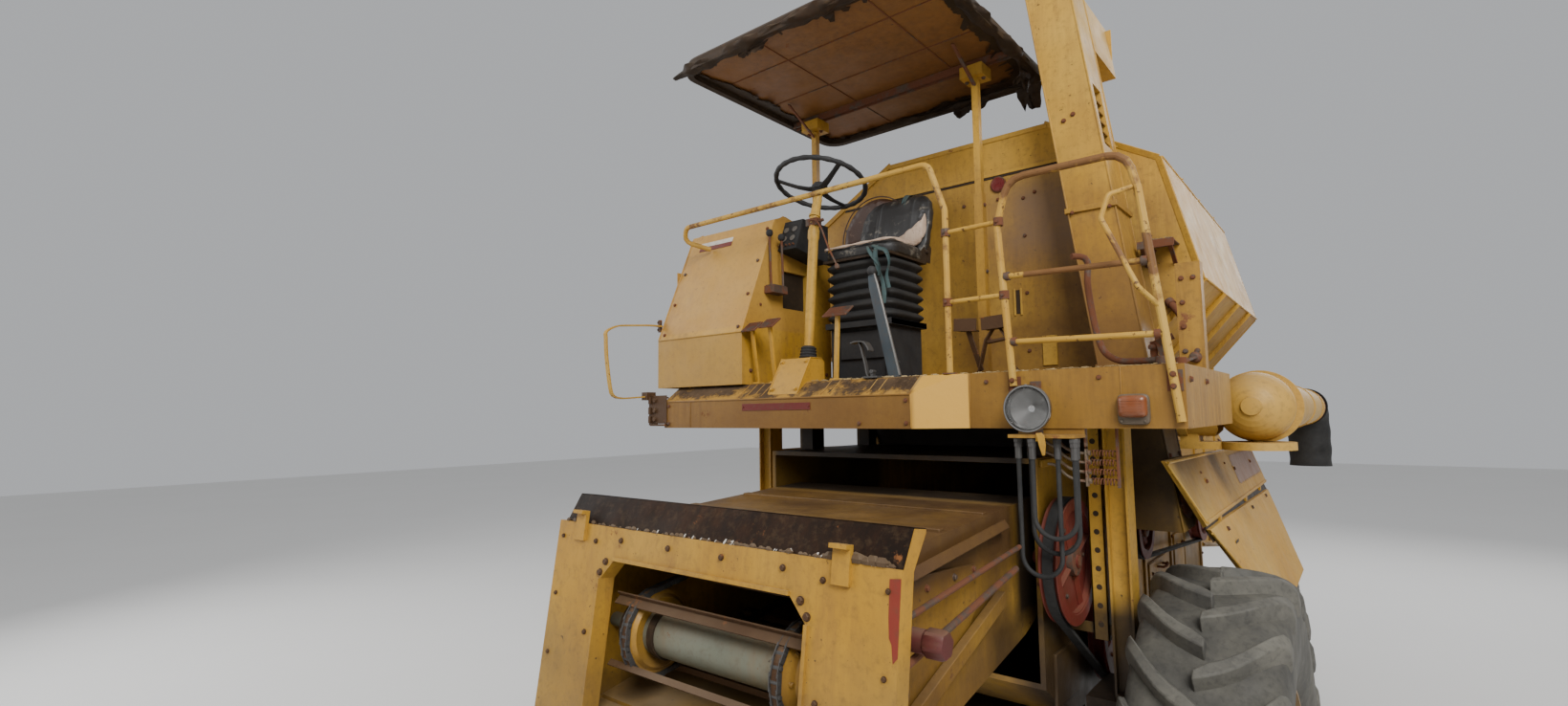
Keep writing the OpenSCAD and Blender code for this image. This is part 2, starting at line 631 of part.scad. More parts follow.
// Chains round the drum and the rear shaft, with angle slats across them
chain_x = 330;             // middle of each chain
chain_w = 24;
chain_r = 140;             // radius of the wheels that carry the chains
chain_t = 9;
drum_r = 78;
slat_count = 14;
function chain_line(t) = let (r = chain_r + t, way = atan2(pivot_z - drum_z, pivot_y - drum_y))
    concat([for (k = [0 : 16]) [drum_y, drum_z] + r * [cos(way + 90 + k * 180 / 16), sin(way + 90 + k * 180 / 16)]],
        [for (k = [0 : 16]) [pivot_y, pivot_z] + r * [cos(way - 90 + k * 180 / 16), sin(way - 90 + k * 180 / 16)]]);
// A place along the chain, counted from the top of the drum backwards round it: y, z and the slope there
function chain_at(t) = let (way = atan2(pivot_z - drum_z, pivot_y - drum_y), r = chain_r + chain_t - 1,
    run = norm([pivot_z - drum_z, pivot_y - drum_y]), arc = PI * r, s = t * 2 * (run + arc))
    s < arc ? let (q = way + 90 + s / r * 180 / PI) [drum_y + r * cos(q), drum_z + r * sin(q), q - 90]
    : s < arc + run ? let (k = s - arc) [drum_y + r * cos(way - 90) + k * cos(way), drum_z + r * sin(way - 90) + k * sin(way), way + 180]
    : s < 2 * arc + run ? let (q = way - 90 + (s - arc - run) / r * 180 / PI) [pivot_y + r * cos(q), pivot_z + r * sin(q), q - 90]
    : let (k = s - 2 * arc - run) [pivot_y + r * cos(way + 90) - k * cos(way), pivot_z + r * sin(way + 90) - k * sin(way), way];

module feeder_chain() color(dark) placed() {
    for (x = [-chain_x, chain_x]) difference() {
        across(x - chain_w / 2, x + chain_w / 2) polygon(chain_line(chain_t));
        across(x - chain_w / 2 - 1, x + chain_w / 2 + 1) polygon(chain_line(0));
    }
    for (i = [0 : slat_count - 1]) let (c = chain_at((i + 0.35) / slat_count))
        translate([0, c[0], c[1]]) rotate([c[2], 0, 0]) across(-430, 430)
            polygon([[-18, 0], [18, 0], [18, 22], [13, 22], [13, 5], [-18, 5]]);
}

module feeder_drum() color(grey) placed() {
    translate([0, drum_y, drum_z]) rotate([0, 90, 0]) {
        cylinder(h = 2 * feeder_half + 20, r = 25, center = true);
        cylinder(h = 800, r = drum_r, center = true);
        for (s = [0, 180]) rotate([s, 0, 0]) {
            translate([0, 0, chain_x]) cylinder(h = chain_w + 8, r = chain_r - round_gap, center = true);
            translate([0, 0, chain_x + 18]) cylinder(h = 50, r1 = 115, r2 = drum_r + 5);
        }
    }
    // Header drive stub
    translate([0, -1375, 1560]) {
        rotate([0, 90, 0]) translate([0, 0, feeder_half + e]) cylinder(h = 160, r = 22);
        rotate([0, 90, 0]) translate([0, 0, feeder_half + 150]) cylinder(h = 60, r = 38);
    }
}

// Lift cylinders, drawn along -Y from the lower eye and then raised to their rest angle

module lift_pose() translate([0, lift_y, lift_z]) rotate([-lift_angle, 0, 0]) children();

module lift_barrels() color(dark) placed() lift_pose() for (s = [-1, 1]) translate([s * lift_x, 0, 0]) {
    difference() {
        union() {
            rotate([90, 0, 0]) cylinder(h = 90, r = 22);
            rotate([90, 0, 0]) translate([0, 0, 85]) cylinder(h = barrel_len - 85, r = 42);
            rotate([0, 90, 0]) cylinder(h = 50, r = 34, center = true);
        }
        rotate([0, 90, 0]) cylinder(h = 60, r = 15.5, center = true);
        rotate([90, 0, 0]) translate([0, 0, 110]) cylinder(h = barrel_len, r = 25 + e);
    }
}

module lift_rods() color(grey) placed() lift_pose() for (s = [-1, 1]) translate([s * lift_x, 0, 0]) {
    rotate([90, 0, 0]) translate([0, 0, lift_len - rod_len]) cylinder(h = rod_len - 20, r = 25);
    translate([0, -lift_len, 0]) rotate([0, 90, 0]) cylinder(h = 44, r = 30, center = true);
    translate([0, -lift_len, 0]) rotate([0, 90, 0]) cylinder(h = 57, r = 15, center = true);
}

// Unloading auger

module unload_elbow() color(yellow) placed() {
    difference() {
        union() {
            translate([500, auger_y, auger_z]) rotate([0, 90, 0]) cylinder(h = auger_x - auger_r - 6 - 500, r = auger_r);
            block([900, auger_y - 60, auger_z - 200], [auger_x, auger_y + 60, auger_z - 165]);
            translate([auger_x, auger_y, auger_z - 200]) cylinder(h = 35, r = 150);
            block([930, auger_y - 60, auger_z - 200], [1010, auger_y + 60, auger_z - 60]);
        }
        translate([auger_x, auger_y, auger_z - 164]) cylinder(h = 400, r = 168);
        translate([0.4, 0, 0]) along(tank_front, tank_rear) polygon(tank_line(0));
        translate([400, auger_y, auger_z]) rotate([0, 90, 0]) cylinder(h = 900, r = auger_r - 10);
        translate([auger_x, auger_y, 1900]) cylinder(h = 200, r = auger_pivot_r + 3 * e);
    }
}

// Half outline of the swinging tube: domed elbow, flange, and the open tube behind it
dome_r = 160;
flange_y = 190;
auger_pivot_r = 20;
function auger_line() = concat([[0, -dome_r]], [for (a = [-85 : 10 : 25]) dome_r * [cos(a), sin(a)]],
    [[auger_r, dome_r * sin(acos(auger_r / dome_r))], [auger_r, flange_y], [auger_r + 34, flange_y],
     [auger_r + 34, flange_y + 20], [auger_r, flange_y + 20], [auger_r, auger_len], [auger_r - 8, auger_len],
     [auger_r - 8, flange_y + 10], [0, flange_y + 10]]);

module unload_tube() color(yellow) placed() {
    translate([auger_x, auger_y, auger_z]) rotate([-90, 0, 0]) rotate([0, 0, 130]) rotate_extrude() polygon(auger_line());
    translate([auger_x, auger_y, auger_z - 200]) cylinder(h = 60, r = auger_pivot_r);
}

module unload_spout() color(black) placed() {
    y = auger_y + auger_len;
    difference() {
        across(auger_x - 170, auger_x + 170) polygon([[y - 60, auger_z + 170], [y + 170, auger_z + 160],
            [y + 300, auger_z + 40], [y + 330, auger_z - 480], [y + 90, auger_z - 520], [y - 10, auger_z - 170],
            [y - 60, auger_z - 170]]);
        across(auger_x - 158, auger_x + 158) polygon([[y, auger_z + 158], [y + 165, auger_z + 148],
            [y + 288, auger_z + 35], [y + 318, auger_z - 530], [y + 102, auger_z - 530], [y, auger_z - 160]]);
        translate([auger_x, y - 100, auger_z]) rotate([-90, 0, 0]) cylinder(h = 150, r = auger_r + e);
    }
}

// Front wheels, turned about the x axis

lug_h = 46;                // height of the bars of the front tread
lug_w = 38;
lug_count = 18;            // bars on each side of the tread
lug_sweep = 15;            // how far a bar bends back, in degrees
// Share of the half width, drop of the top and of the foot of a bar below the tip radius
lug_at = [[0, 0, 50], [0.5, 4, 58], [0.85, 26, 84], [0.975, 105, 150]];

module carcass(r, w, rim, depth) rotate_extrude($fn = 72) polygon([[rim + e, -w * 0.40], [rim + 40, -w * 0.46],
    [r - 160, -w * 0.487], [r - 95, -w * 0.45], [r - depth - 12, -w * 0.36], [r - depth, -w * 0.15], [r - depth, w * 0.15],
    [r - depth - 12, w * 0.36], [r - 95, w * 0.45], [r - 160, w * 0.487], [rim + 40, w * 0.46], [rim + e, w * 0.40]]);

function around(r, a, z) = [r * sin(a), r * cos(a), z];
module lug(a) loft([for (q = lug_at) let (top = front_r - q[1], foot = front_r - q[2], z = q[0] * front_w / 2,
    b = a - lug_sweep * q[0], t = lug_w / 2 / front_r * 180 / PI, f = t + 1.5)
    [around(foot, b + f, z), around(top, b + t, z), around(top, b - t, z), around(foot, b - f, z)]]);

module front_tyre() {
    carcass(front_r, front_w, front_rim_r, lug_h);
    for (i = [0 : lug_count - 1]) {
        lug(180 + i * 360 / lug_count);
        mirror([0, 0, 1]) lug(180 + (i + 0.5) * 360 / lug_count);
    }
}

// Ribbed tyre of a steered wheel
module ribbed_tyre(r, w, rim) rotate_extrude($fn = 72) polygon(concat([[rim + e, -w * 0.40], [rim + 40, -w * 0.46],
    [r * 0.80, -w * 0.5], [r * 0.93, -w * 0.48], [r - 8, -w * 0.40]],
    [for (g = [-0.28, 0, 0.28]) each [[r - 2, w * (g - 0.07)], [r - 26, w * (g - 0.045)], [r - 26, w * (g + 0.045)], [r - 2, w * (g + 0.07)]]],
    [[r - 8, w * 0.40], [r * 0.93, w * 0.48], [r * 0.80, w * 0.5], [rim + 40, w * 0.46], [rim + e, w * 0.40]]));

module rim(r, half, disc, hub) {
    rotate_extrude($fn = 72) polygon([[r, -half], [r, half], [r - 12, half], [r - 30, half * 0.6],
        [r - 34, 10], [r - 34, -half * 0.6], [r - 12, -half]]);
    difference() {
        translate([0, 0, disc]) cylinder(h = 14, r = r - 25);
        for (a = [0 : 45 : 315]) rotate([0, 0, a]) translate([r * 0.62, 0, disc - 1]) cylinder(h = 20, r = r * 0.1);
    }
    translate([0, 0, disc]) cylinder(h = 70, r = hub);
}

module front_rim_left() color(yellow) placed() translate([front_track_half, 0, front_r]) rotate([90, 0, 90])
    rim(front_rim_r, rim_half, -30, 110);
module front_rim_right() mirror([1, 0, 0]) front_rim_left();
module front_tyre_left() color(black) placed() translate([front_track_half, 0, front_r]) rotate([90, 0, 90])
    front_tyre();
module front_tyre_right() mirror([1, 0, 0]) front_tyre_left();

// Rear axle and steering

module rear_axle() color(dark) placed() {
    difference() {
        union() {
            block([-kingpin_x, rear_y - 60, 430], [kingpin_x, rear_y + 60, 540]);
            for (s = [-1, 1]) translate([s * kingpin_x, rear_y, 410 + e]) cylinder(h = 160 - 2 * e, r = 52);
            block([-360, rear_y - 50, 535], [360, rear_y + 50, rail_bottom - e]);
        }
        for (s = [-1, 1]) translate([s * kingpin_x, rear_y, 400]) cylinder(h = 200, r = kingpin_r + 0.5);
    }
}

module knuckle(s) translate([s * kingpin_x, rear_y, 0]) {
    translate([0, 0, 380]) cylinder(h = 220, r = kingpin_r);
    translate([0, 0, 380]) cylinder(h = 30, r = 45);
    translate([0, 0, 570]) cylinder(h = 30, r = 45);
    // Fork behind the sleeve, and spindle
    block([s > 0 ? 0 : -75, -30, 380], [s > 0 ? 75 : 0, 30, 410]);
    block([s > 0 ? 0 : -75, -30, 570], [s > 0 ? 75 : 0, 30, 600]);
    block([s > 0 ? 57 : -75, -30, 380], [s > 0 ? 75 : -57, 30, 600]);
    translate([s * 60, 0, rear_r]) rotate([0, s * 90, 0]) cylinder(h = rear_track_half - kingpin_x - 60 - 20 - e, r = 32);
    // Steering arm
    block([-22, 0, 380], [22, arm_len + 25, 405]);
}
module knuckle_left() color(dark) placed() knuckle(1);
module knuckle_right() color(dark) placed() knuckle(-1);

module tie_rod() color(dark) placed() {
    bar([-kingpin_x, rear_y + arm_len, 365], [kingpin_x, rear_y + arm_len, 365], 12);
    for (s = [-1, 1]) translate([s * kingpin_x, rear_y + arm_len, 352]) cylinder(h = 28 - e, r = 22);
}

module rear_rim_left() color(yellow) placed() translate([rear_track_half, rear_y, rear_r]) rotate([90, 0, 90])
    rim(rear_rim_r, rear_rim_half, -20, 70);
module rear_rim_right() mirror([1, 0, 0]) rear_rim_left();
module rear_tyre_left() color(black) placed() translate([rear_track_half, rear_y, rear_r]) rotate([90, 0, 90])
    ribbed_tyre(rear_r, rear_w, rear_rim_r);
module rear_tyre_right() mirror([1, 0, 0]) rear_tyre_left();

frame();
front_axle();
body();
straw_hood();
sieve_box();
grain_tank();
grain_elevator();
engine();
engine_hood();
platform();
console();
steering_column();
steering_wheel();
controls();
seat_base();
seat_bellows();
seat_cushion();
canopy_posts();
canopy();
guard_rails();
hoses();
lamps();
shield_left();
shield_right();
drive_pulleys();
drive_belts();
feeder_house();
feeder_frame();
feeder_drum();
feeder_chain();
lift_barrels();
lift_rods();
unload_elbow();
unload_tube();
unload_spout();
front_rim_left();
front_rim_right();
front_tyre_left();
front_tyre_right();
rear_axle();
knuckle_left();
knuckle_right();
tie_rod();
rear_rim_left();
rear_rim_right();
rear_tyre_left();
rear_tyre_right();
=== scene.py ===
"""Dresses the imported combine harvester: camera, materials and the pieces that CAD leaves plain."""

import math
import random

import bmesh
import bpy
from mathutils import Matrix, Vector


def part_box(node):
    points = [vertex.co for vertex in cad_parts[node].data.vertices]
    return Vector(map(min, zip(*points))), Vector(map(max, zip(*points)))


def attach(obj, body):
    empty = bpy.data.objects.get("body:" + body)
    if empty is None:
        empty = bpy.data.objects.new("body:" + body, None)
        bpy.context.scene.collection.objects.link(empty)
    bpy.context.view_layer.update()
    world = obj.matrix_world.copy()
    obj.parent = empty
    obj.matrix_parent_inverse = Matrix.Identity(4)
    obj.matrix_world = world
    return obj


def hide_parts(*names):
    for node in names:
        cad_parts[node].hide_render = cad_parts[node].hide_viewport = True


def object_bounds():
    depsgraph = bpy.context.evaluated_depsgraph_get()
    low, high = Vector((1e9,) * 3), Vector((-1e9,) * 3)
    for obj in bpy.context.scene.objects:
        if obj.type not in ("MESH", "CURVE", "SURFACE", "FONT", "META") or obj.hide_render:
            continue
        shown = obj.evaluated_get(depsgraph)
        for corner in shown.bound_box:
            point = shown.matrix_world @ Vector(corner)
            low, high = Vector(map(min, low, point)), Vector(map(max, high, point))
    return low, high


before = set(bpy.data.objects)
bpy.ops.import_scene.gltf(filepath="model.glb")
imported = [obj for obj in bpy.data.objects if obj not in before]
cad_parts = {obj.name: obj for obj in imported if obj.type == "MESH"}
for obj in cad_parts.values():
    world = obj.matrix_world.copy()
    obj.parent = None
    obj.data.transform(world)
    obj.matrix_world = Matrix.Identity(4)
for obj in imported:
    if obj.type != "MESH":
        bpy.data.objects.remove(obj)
cad_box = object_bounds()

# Sizes that follow part.scad, in metres; y counts from the front axle there
FRONT_AXLE_Y = 0.5 * (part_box("front_rim_left")[0][1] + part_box("front_rim_left")[1][1])
PHOTO_WIDTH = 1640


def from_axle(x, y, z):
    """A point given from the front axle, in the row frame."""
    return Vector((x, y + FRONT_AXLE_Y, z))


# Camera

CAMERA_AT = (1.64, -3.02, 2.14)  # from the front axle
CAMERA_YAW = 39.5
CAMERA_PITCH = 5.0
CAMERA_ROLL = -0.73
FOCAL_PIXELS = 735.0
SENSOR_WIDTH = 36.0


def make_camera():
    yaw, pitch, roll = (math.radians(a) for a in (CAMERA_YAW, CAMERA_PITCH, CAMERA_ROLL))
    forward = Vector((-math.sin(yaw) * math.cos(pitch), math.cos(yaw) * math.cos(pitch), math.sin(pitch)))
    level = Vector((math.cos(yaw), math.sin(yaw), 0))
    up = level.cross(forward)
    right = math.cos(roll) * level + math.sin(roll) * up
    top = -math.sin(roll) * level + math.cos(roll) * up
    turn = Matrix((right, top, -forward)).transposed().to_4x4()
    data = bpy.data.cameras.new("camera")
    data.sensor_width = SENSOR_WIDTH
    data.sensor_fit = "HORIZONTAL"
    data.lens = FOCAL_PIXELS / PHOTO_WIDTH * SENSOR_WIDTH
    data.clip_end = 200
    camera = bpy.data.objects.new("camera", data)
    camera.matrix_world = Matrix.Translation(from_axle(*CAMERA_AT)) @ turn
    bpy.context.scene.collection.objects.link(camera)
    bpy.context.scene.camera = camera


# Materials

LEFT, RIGHT = (1, 0, 0), (-1, 0, 0)
BACKWARD, FORWARD = (0, 1, 0), (0, -1, 0)
UP, DOWN = (0, 0, 1), (0, 0, -1)


class Nodes:
    """Short names for building a material's nodes."""

    def __init__(self, name):
        self.material = bpy.data.materials.new(name)
        self.material.use_nodes = True
        self.tree = self.material.node_tree
        self.tree.nodes.clear()
        self.out = self.add("ShaderNodeOutputMaterial")
        self.shader = self.add("ShaderNodeBsdfPrincipled")
        self.link(self.shader.outputs[0], self.out.inputs[0])
        self.place = self.add("ShaderNodeTexCoord").outputs["Object"]

    def add(self, kind, **settings):
        node = self.tree.nodes.new(kind)
        for key, value in settings.items():
            setattr(node, key, value)
        return node

    def link(self, a, b):
        self.tree.links.new(a, b)

    def value(self, socket, value):
        if hasattr(value, "links"):
            self.link(value, socket)
        else:
            socket.default_value = value

    def scaled(self, scale):
        node = self.add("ShaderNodeMapping")
        node.inputs["Scale"].default_value = scale
        self.link(self.place, node.inputs["Vector"])
        return node.outputs[0]

    def noise(self, scale, detail=4.0, rough=0.55, stretch=None):
        node = self.add("ShaderNodeTexNoise")
        node.inputs["Scale"].default_value = scale
        node.inputs["Detail"].default_value = detail
        node.inputs["Roughness"].default_value = rough
        self.link(self.scaled(stretch) if stretch else self.place, node.inputs["Vector"])
        return node.outputs["Fac"]

    def ramp(self, source, low, high, out_low=0.0, out_high=1.0):
        node = self.add("ShaderNodeMapRange")
        node.inputs["From Min"].default_value = low
        node.inputs["From Max"].default_value = high
        node.inputs["To Min"].default_value = out_low
        node.inputs["To Max"].default_value = out_high
        self.link(source, node.inputs["Value"])
        return node.outputs[0]

    def math(self, operation, a, b):
        node = self.add("ShaderNodeMath", operation=operation)
        self.value(node.inputs[0], a)
        self.value(node.inputs[1], b)
        return node.outputs[0]

    def mix(self, factor, a, b):
        node = self.add("ShaderNodeMix", data_type="RGBA")
        self.value(node.inputs["Factor"], factor)
        self.value(node.inputs["A"], colour(a) if isinstance(a, tuple) else a)
        self.value(node.inputs["B"], colour(b) if isinstance(b, tuple) else b)
        return node.outputs["Result"]

    def height(self):
        node = self.add("ShaderNodeSeparateXYZ")
        self.link(self.place, node.inputs[0])
        return node.outputs["Z"]

    def inside(self, low, high, soft):
        """1 within a box given from the front axle, fading out over its margin."""
        split = self.add("ShaderNodeSeparateXYZ")
        self.link(self.place, split.inputs[0])
        low, high = from_axle(*low), from_axle(*high)
        mask = None
        for i in range(3):
            for edge, step in ((low[i], -soft), (high[i], soft)):
                side = self.ramp(split.outputs[i], edge + step, edge)
                mask = side if mask is None else self.math("MULTIPLY", mask, side)
        return mask

    def facing_up(self):
        node = self.add("ShaderNodeSeparateXYZ")
        self.link(self.add("ShaderNodeNewGeometry").outputs["Normal"], node.inputs[0])
        return node.outputs["Z"]

    def bump(self, source, strength, distance):
        node = self.add("ShaderNodeBump")
        node.inputs["Strength"].default_value = strength
        node.inputs["Distance"].default_value = distance
        self.link(source, node.inputs["Height"])
        self.link(node.outputs[0], self.shader.inputs["Normal"])

    def surface(self, base, rough, metal=0.0):
        self.value(self.shader.inputs["Base Color"], base)
        self.value(self.shader.inputs["Roughness"], rough)
        self.value(self.shader.inputs["Metallic"], metal)
        return self.material


def colour(c):
    return (*c, 1.0)


RUST = (0.125, 0.042, 0.016)
DUST = (0.3, 0.225, 0.14)
GRIME = (0.085, 0.052, 0.026)
STAIN = (0.21, 0.105, 0.03)


def old_paint(name, base, faded, rust=0.62, grime=0.5, dust=0.5, darken_below=0.0, shine=0.3, sooty_and_shaded=False,
        stain=STAIN, films=()):
    """Sun-faded paint with brown stains that run down, small rust blooms, chips, and dust lying on top; some
    also get soot and painted light and shade in set boxes.
    """
    n = Nodes(name)
    tone = n.mix(n.ramp(n.noise(1.3, 3), 0.35, 0.68), base, faded)
    broad = n.ramp(n.noise(1.1, 5, 0.62), grime - 0.06, grime + 0.16)
    runs = n.ramp(n.noise(1.0, 8, 0.7, stretch=(26, 26, 2.2)), 0.4, 0.72, 0.1, 0.8)
    tone = n.mix(n.math("MULTIPLY", broad, runs), tone, stain)
    tone = n.mix(n.ramp(n.noise(38, 6, 0.7), 0.5, 0.74, 0.0, 0.45), tone, GRIME)
    rusty = n.ramp(n.noise(8.5, 12, 0.74), rust, rust + 0.035)
    tone = n.mix(rusty, tone, n.mix(n.noise(30, 6), RUST, (0.21, 0.085, 0.03)))
    chips = n.ramp(n.noise(46, 3, 0.5), 0.715, 0.735, 0.0, 0.85)
    tone = n.mix(chips, tone, (0.05, 0.028, 0.016))
    # Darker towards the bottom, below the given height
    if darken_below:
        low = n.math("ADD", n.ramp(n.height(), darken_below, darken_below - 0.7),
                n.ramp(n.noise(3, 8), 0.3, 0.7, -0.5, 0.3))
        tone = n.mix(n.ramp(low, 0.1, 0.9, 0.0, 0.72), tone, (0.095, 0.062, 0.034))
    lying = n.math("MULTIPLY", n.ramp(n.facing_up(), 0.35, 0.95), n.ramp(n.noise(2.4, 8), 0.3, 0.62))
    tone = n.mix(n.math("MULTIPLY", lying, dust), tone, DUST)
    if sooty_and_shaded:
        # Oil, dust and painted shade behind the platform and round the threshing drum,
        # less on the tank's front wall and the feeder; the films below add stains, faded patches and more
        # painted shade
        soot = n.math("MULTIPLY", n.inside((-0.62, -0.36, 1.4), (0.6, 0.6, 2.2), 0.08),
                n.ramp(n.noise(2.2, 6), 0.2, 0.5, 0.78, 0.97))
        tone = n.mix(soot, tone, (0.02, 0.014, 0.01))
        brown, grey, black = (0.115, 0.055, 0.019), (0.205, 0.13, 0.078), (0.022, 0.014, 0.009)
        films = (
            # Brown stains and painted shade on the tank's front wall
            ((-0.75, 0.3, 2.2), (0.62, 0.6, 3.25), 0.2, 0.12, 0.62, brown),
            # Painted shade on the feeder's roof
            ((-0.64, -1.36, 1.64), (0.64, -0.45, 1.95), 0.07, 0.6, 0.97, (0.052, 0.026, 0.012)),
            # Darker brown on the feeder's left side
            ((0.56, -1.3, 1.15), (0.68, -0.5, 1.84), 0.1, 0.35, 0.8, (0.08, 0.04, 0.016)),
            # Painted shade on the elevator
            ((0.58, 0.2, 2.24), (0.9, 0.52, 2.76), 0.16, 0.35, 0.8, brown),
            ((0.66, 0.24, 1.5), (0.99, 0.52, 3.1), 0.12, 0.1, 0.5, brown),
            # A greyish faded patch high on the tank's front wall
            ((0.3, 0.5, 3.02), (0.56, 0.6, 3.24), 0.22, 0.25, 0.85, grey),
            # Painted shade low between the body and the left front wheel, and under the tank
            ((0.62, -0.6, 0.6), (0.96, 0.6, 1.36), 0.1, 0.75, 0.97, black),
            ((0.7, 0.24, 1.4), (1.0, 1.1, 2.06), 0.12, 0.8, 0.95, black),
            # Brown low on the tank's front wall, behind the bent bracket
            ((0.04, 0.3, 2.2), (0.5, 0.6, 2.56), 0.1, 0.2, 0.75, brown),
            # Duller, darker yellow on the console's sloping and lower fronts
            ((-1.4, -0.56, 2.585), (-0.69, 0.0, 3.3), 0.012, 0.3, 0.62, (0.36, 0.188, 0.05)),
            ((-1.4, -0.56, 2.2), (-0.69, -0.485, 2.545), 0.012, 0.35, 0.65, (0.29, 0.165, 0.038)),
        )
    for low, high, soft, least, most, film in films:
        cover = n.math("MULTIPLY", n.inside(low, high, soft), n.ramp(n.noise(1.7, 8, 0.66), 0.3, 0.66,
                least, most))
        tone = n.mix(cover, tone, film)
    rough = n.math("ADD", n.ramp(n.noise(9, 8), 0.3, 0.8, 0.4, 0.64), n.math("MULTIPLY", rusty, 0.25))
    height = n.math("SUBTRACT", n.math("ADD", n.noise(55, 6), n.math("MULTIPLY", rusty, 1.2)), chips)
    n.bump(height, 0.16, 0.004)
    n.shader.inputs["Specular IOR Level"].default_value = shine
    return n.surface(tone, rough)


def rubber(name, base, dusty, scale=7.0, amount=0.6):
    n = Nodes(name)
    tone = n.mix(n.ramp(n.noise(scale, 10, 0.68), 0.32, 0.7, 0.0, amount), base, dusty)
    tone = n.mix(n.ramp(n.noise(60, 5), 0.5, 0.75, 0.0, 0.4), tone, (0.012, 0.011, 0.01))
    n.bump(n.noise(90, 6), 0.12, 0.002)
    return n.surface(tone, n.ramp(n.noise(12, 5), 0.3, 0.7, 0.68, 0.92))


def plain_metal(name, base, rough=0.45, metal=0.8, rust=0.6):
    n = Nodes(name)
    rusty = n.ramp(n.noise(9, 12, 0.72), rust, rust + 0.07)
    tone = n.mix(rusty, n.mix(n.noise(22, 5), base, tuple(0.6 * c for c in base)), RUST)
    n.bump(n.noise(70, 6), 0.1, 0.002)
    metallic = n.ramp(rusty, 0.0, 1.0, metal, 0.0)
    return n.surface(tone, n.math("ADD", n.math("MULTIPLY", rusty, 0.35), rough), metallic)


def leather(name, base, worn):
    n = Nodes(name)
    cells = n.add("ShaderNodeTexVoronoi", feature="DISTANCE_TO_EDGE")
    cells.inputs["Scale"].default_value = 130
    n.link(n.place, cells.inputs["Vector"])
    cracks = n.ramp(n.noise(14, 12, 0.75), 0.56, 0.62)
    tone = n.mix(cracks, base, worn)
    grain = n.math("MULTIPLY", n.ramp(cells.outputs["Distance"], 0.0, 0.12), 0.5)
    n.bump(n.math("ADD", grain, n.noise(20, 6)), 0.35, 0.002)
    return n.surface(tone, n.ramp(n.noise(16, 6), 0.3, 0.7, 0.35, 0.6))


def worn_rail(name, base, faded):
    """Rail paint that hands have worn to brown metal along the top arcs."""
    n = Nodes(name)
    tone = n.mix(n.ramp(n.noise(3, 4), 0.35, 0.68), base, faded)
    split = n.add("ShaderNodeSeparateXYZ")
    n.link(n.place, split.inputs[0])
    arc = n.math("MULTIPLY", n.ramp(n.height(), 2.9, 3.04), n.ramp(split.outputs["X"], 0.5, 0.6, 0.18, 1.0))
    middle = n.inside((0.7, -0.52, 2.6), (1.2, -0.36, 2.72), 0.02)
    worn = n.math("ADD", n.math("MAXIMUM", arc, n.math("MULTIPLY", middle, 0.85)),
            n.ramp(n.noise(9, 10, 0.7), 0.32, 0.68, -0.75, 0.35))
    tone = n.mix(n.ramp(worn, 0.0, 0.35, 0.0, 0.92), tone, n.mix(n.noise(26, 8), (0.1, 0.04, 0.016),
            (0.17, 0.078, 0.03)))
    chips = n.ramp(n.noise(30, 6, 0.7), 0.6, 0.63, 0.0, 0.9)
    tone = n.mix(chips, tone, (0.085, 0.036, 0.015))
    n.bump(n.noise(70, 6), 0.14, 0.003)
    n.shader.inputs["Specular IOR Level"].default_value = 0.25
    return n.surface(tone, n.ramp(n.noise(11, 6), 0.3, 0.8, 0.45, 0.7))


def bowl_with_painted_shade(name):
    """Plated bowl of the lamp, duller along its upper edge, where it is painted dark brown as painted shade.
    """
    n = Nodes(name)
    shade_and_dullness = n.math("ADD", n.ramp(n.height(), 2.135, 2.205), n.ramp(n.noise(26, 6, 0.7), 0.3, 0.7, -0.3,
            0.25))
    # Painted shade: the upper band goes dark brown
    tone = n.mix(n.ramp(shade_and_dullness, 0.0, 0.9), (0.88, 0.87, 0.86), (0.2, 0.165, 0.15))
    n.bump(n.noise(34, 4), 0.1, 0.002)
    return n.surface(tone, n.ramp(shade_and_dullness, 0.0, 1.0, 0.05, 0.28), 1.0)


def trodden_dirt(name):
    """Caked dirt with the sloping deck's paint showing through where it has flaked off."""
    n = Nodes(name)
    paint = n.mix(n.noise(2.0, 4), (0.3, 0.15, 0.026), (0.4, 0.225, 0.048))
    cake = n.mix(n.ramp(n.noise(7, 12, 0.72), 0.35, 0.65), (0.04, 0.024, 0.013), (0.105, 0.064, 0.034))
    split = n.add("ShaderNodeSeparateXYZ")
    n.link(n.place, split.inputs[0])
    front = n.ramp(split.outputs["Y"], FRONT_AXLE_Y - 0.572, FRONT_AXLE_Y - 0.53, -0.22, 0.16)
    flaked = n.math("ADD", n.ramp(n.noise(4.5, 14, 0.76), 0.36, 0.62), front)
    tone = n.mix(n.ramp(flaked, 0.3, 0.62), paint, cake)
    tone = n.mix(n.ramp(n.noise(60, 6), 0.55, 0.75, 0.0, 0.5), tone, (0.15, 0.105, 0.065))
    n.bump(n.math("ADD", n.noise(34, 10, 0.7), n.ramp(flaked, 0.3, 0.62)), 0.45, 0.004)
    n.shader.inputs["Specular IOR Level"].default_value = 0.15
    return n.surface(tone, 0.85)


def clear_glass(name, tone, alpha, rough):
    """Thin lamp glass: mostly see-through, with a film of dust."""
    n = Nodes(name)
    film = n.ramp(n.noise(16, 8, 0.66), 0.35, 0.75, alpha, alpha + 0.12)
    n.link(film, n.shader.inputs["Alpha"])
    return n.surface(n.mix(n.noise(40, 4), tone, tuple(0.85 * c for c in tone)), rough)


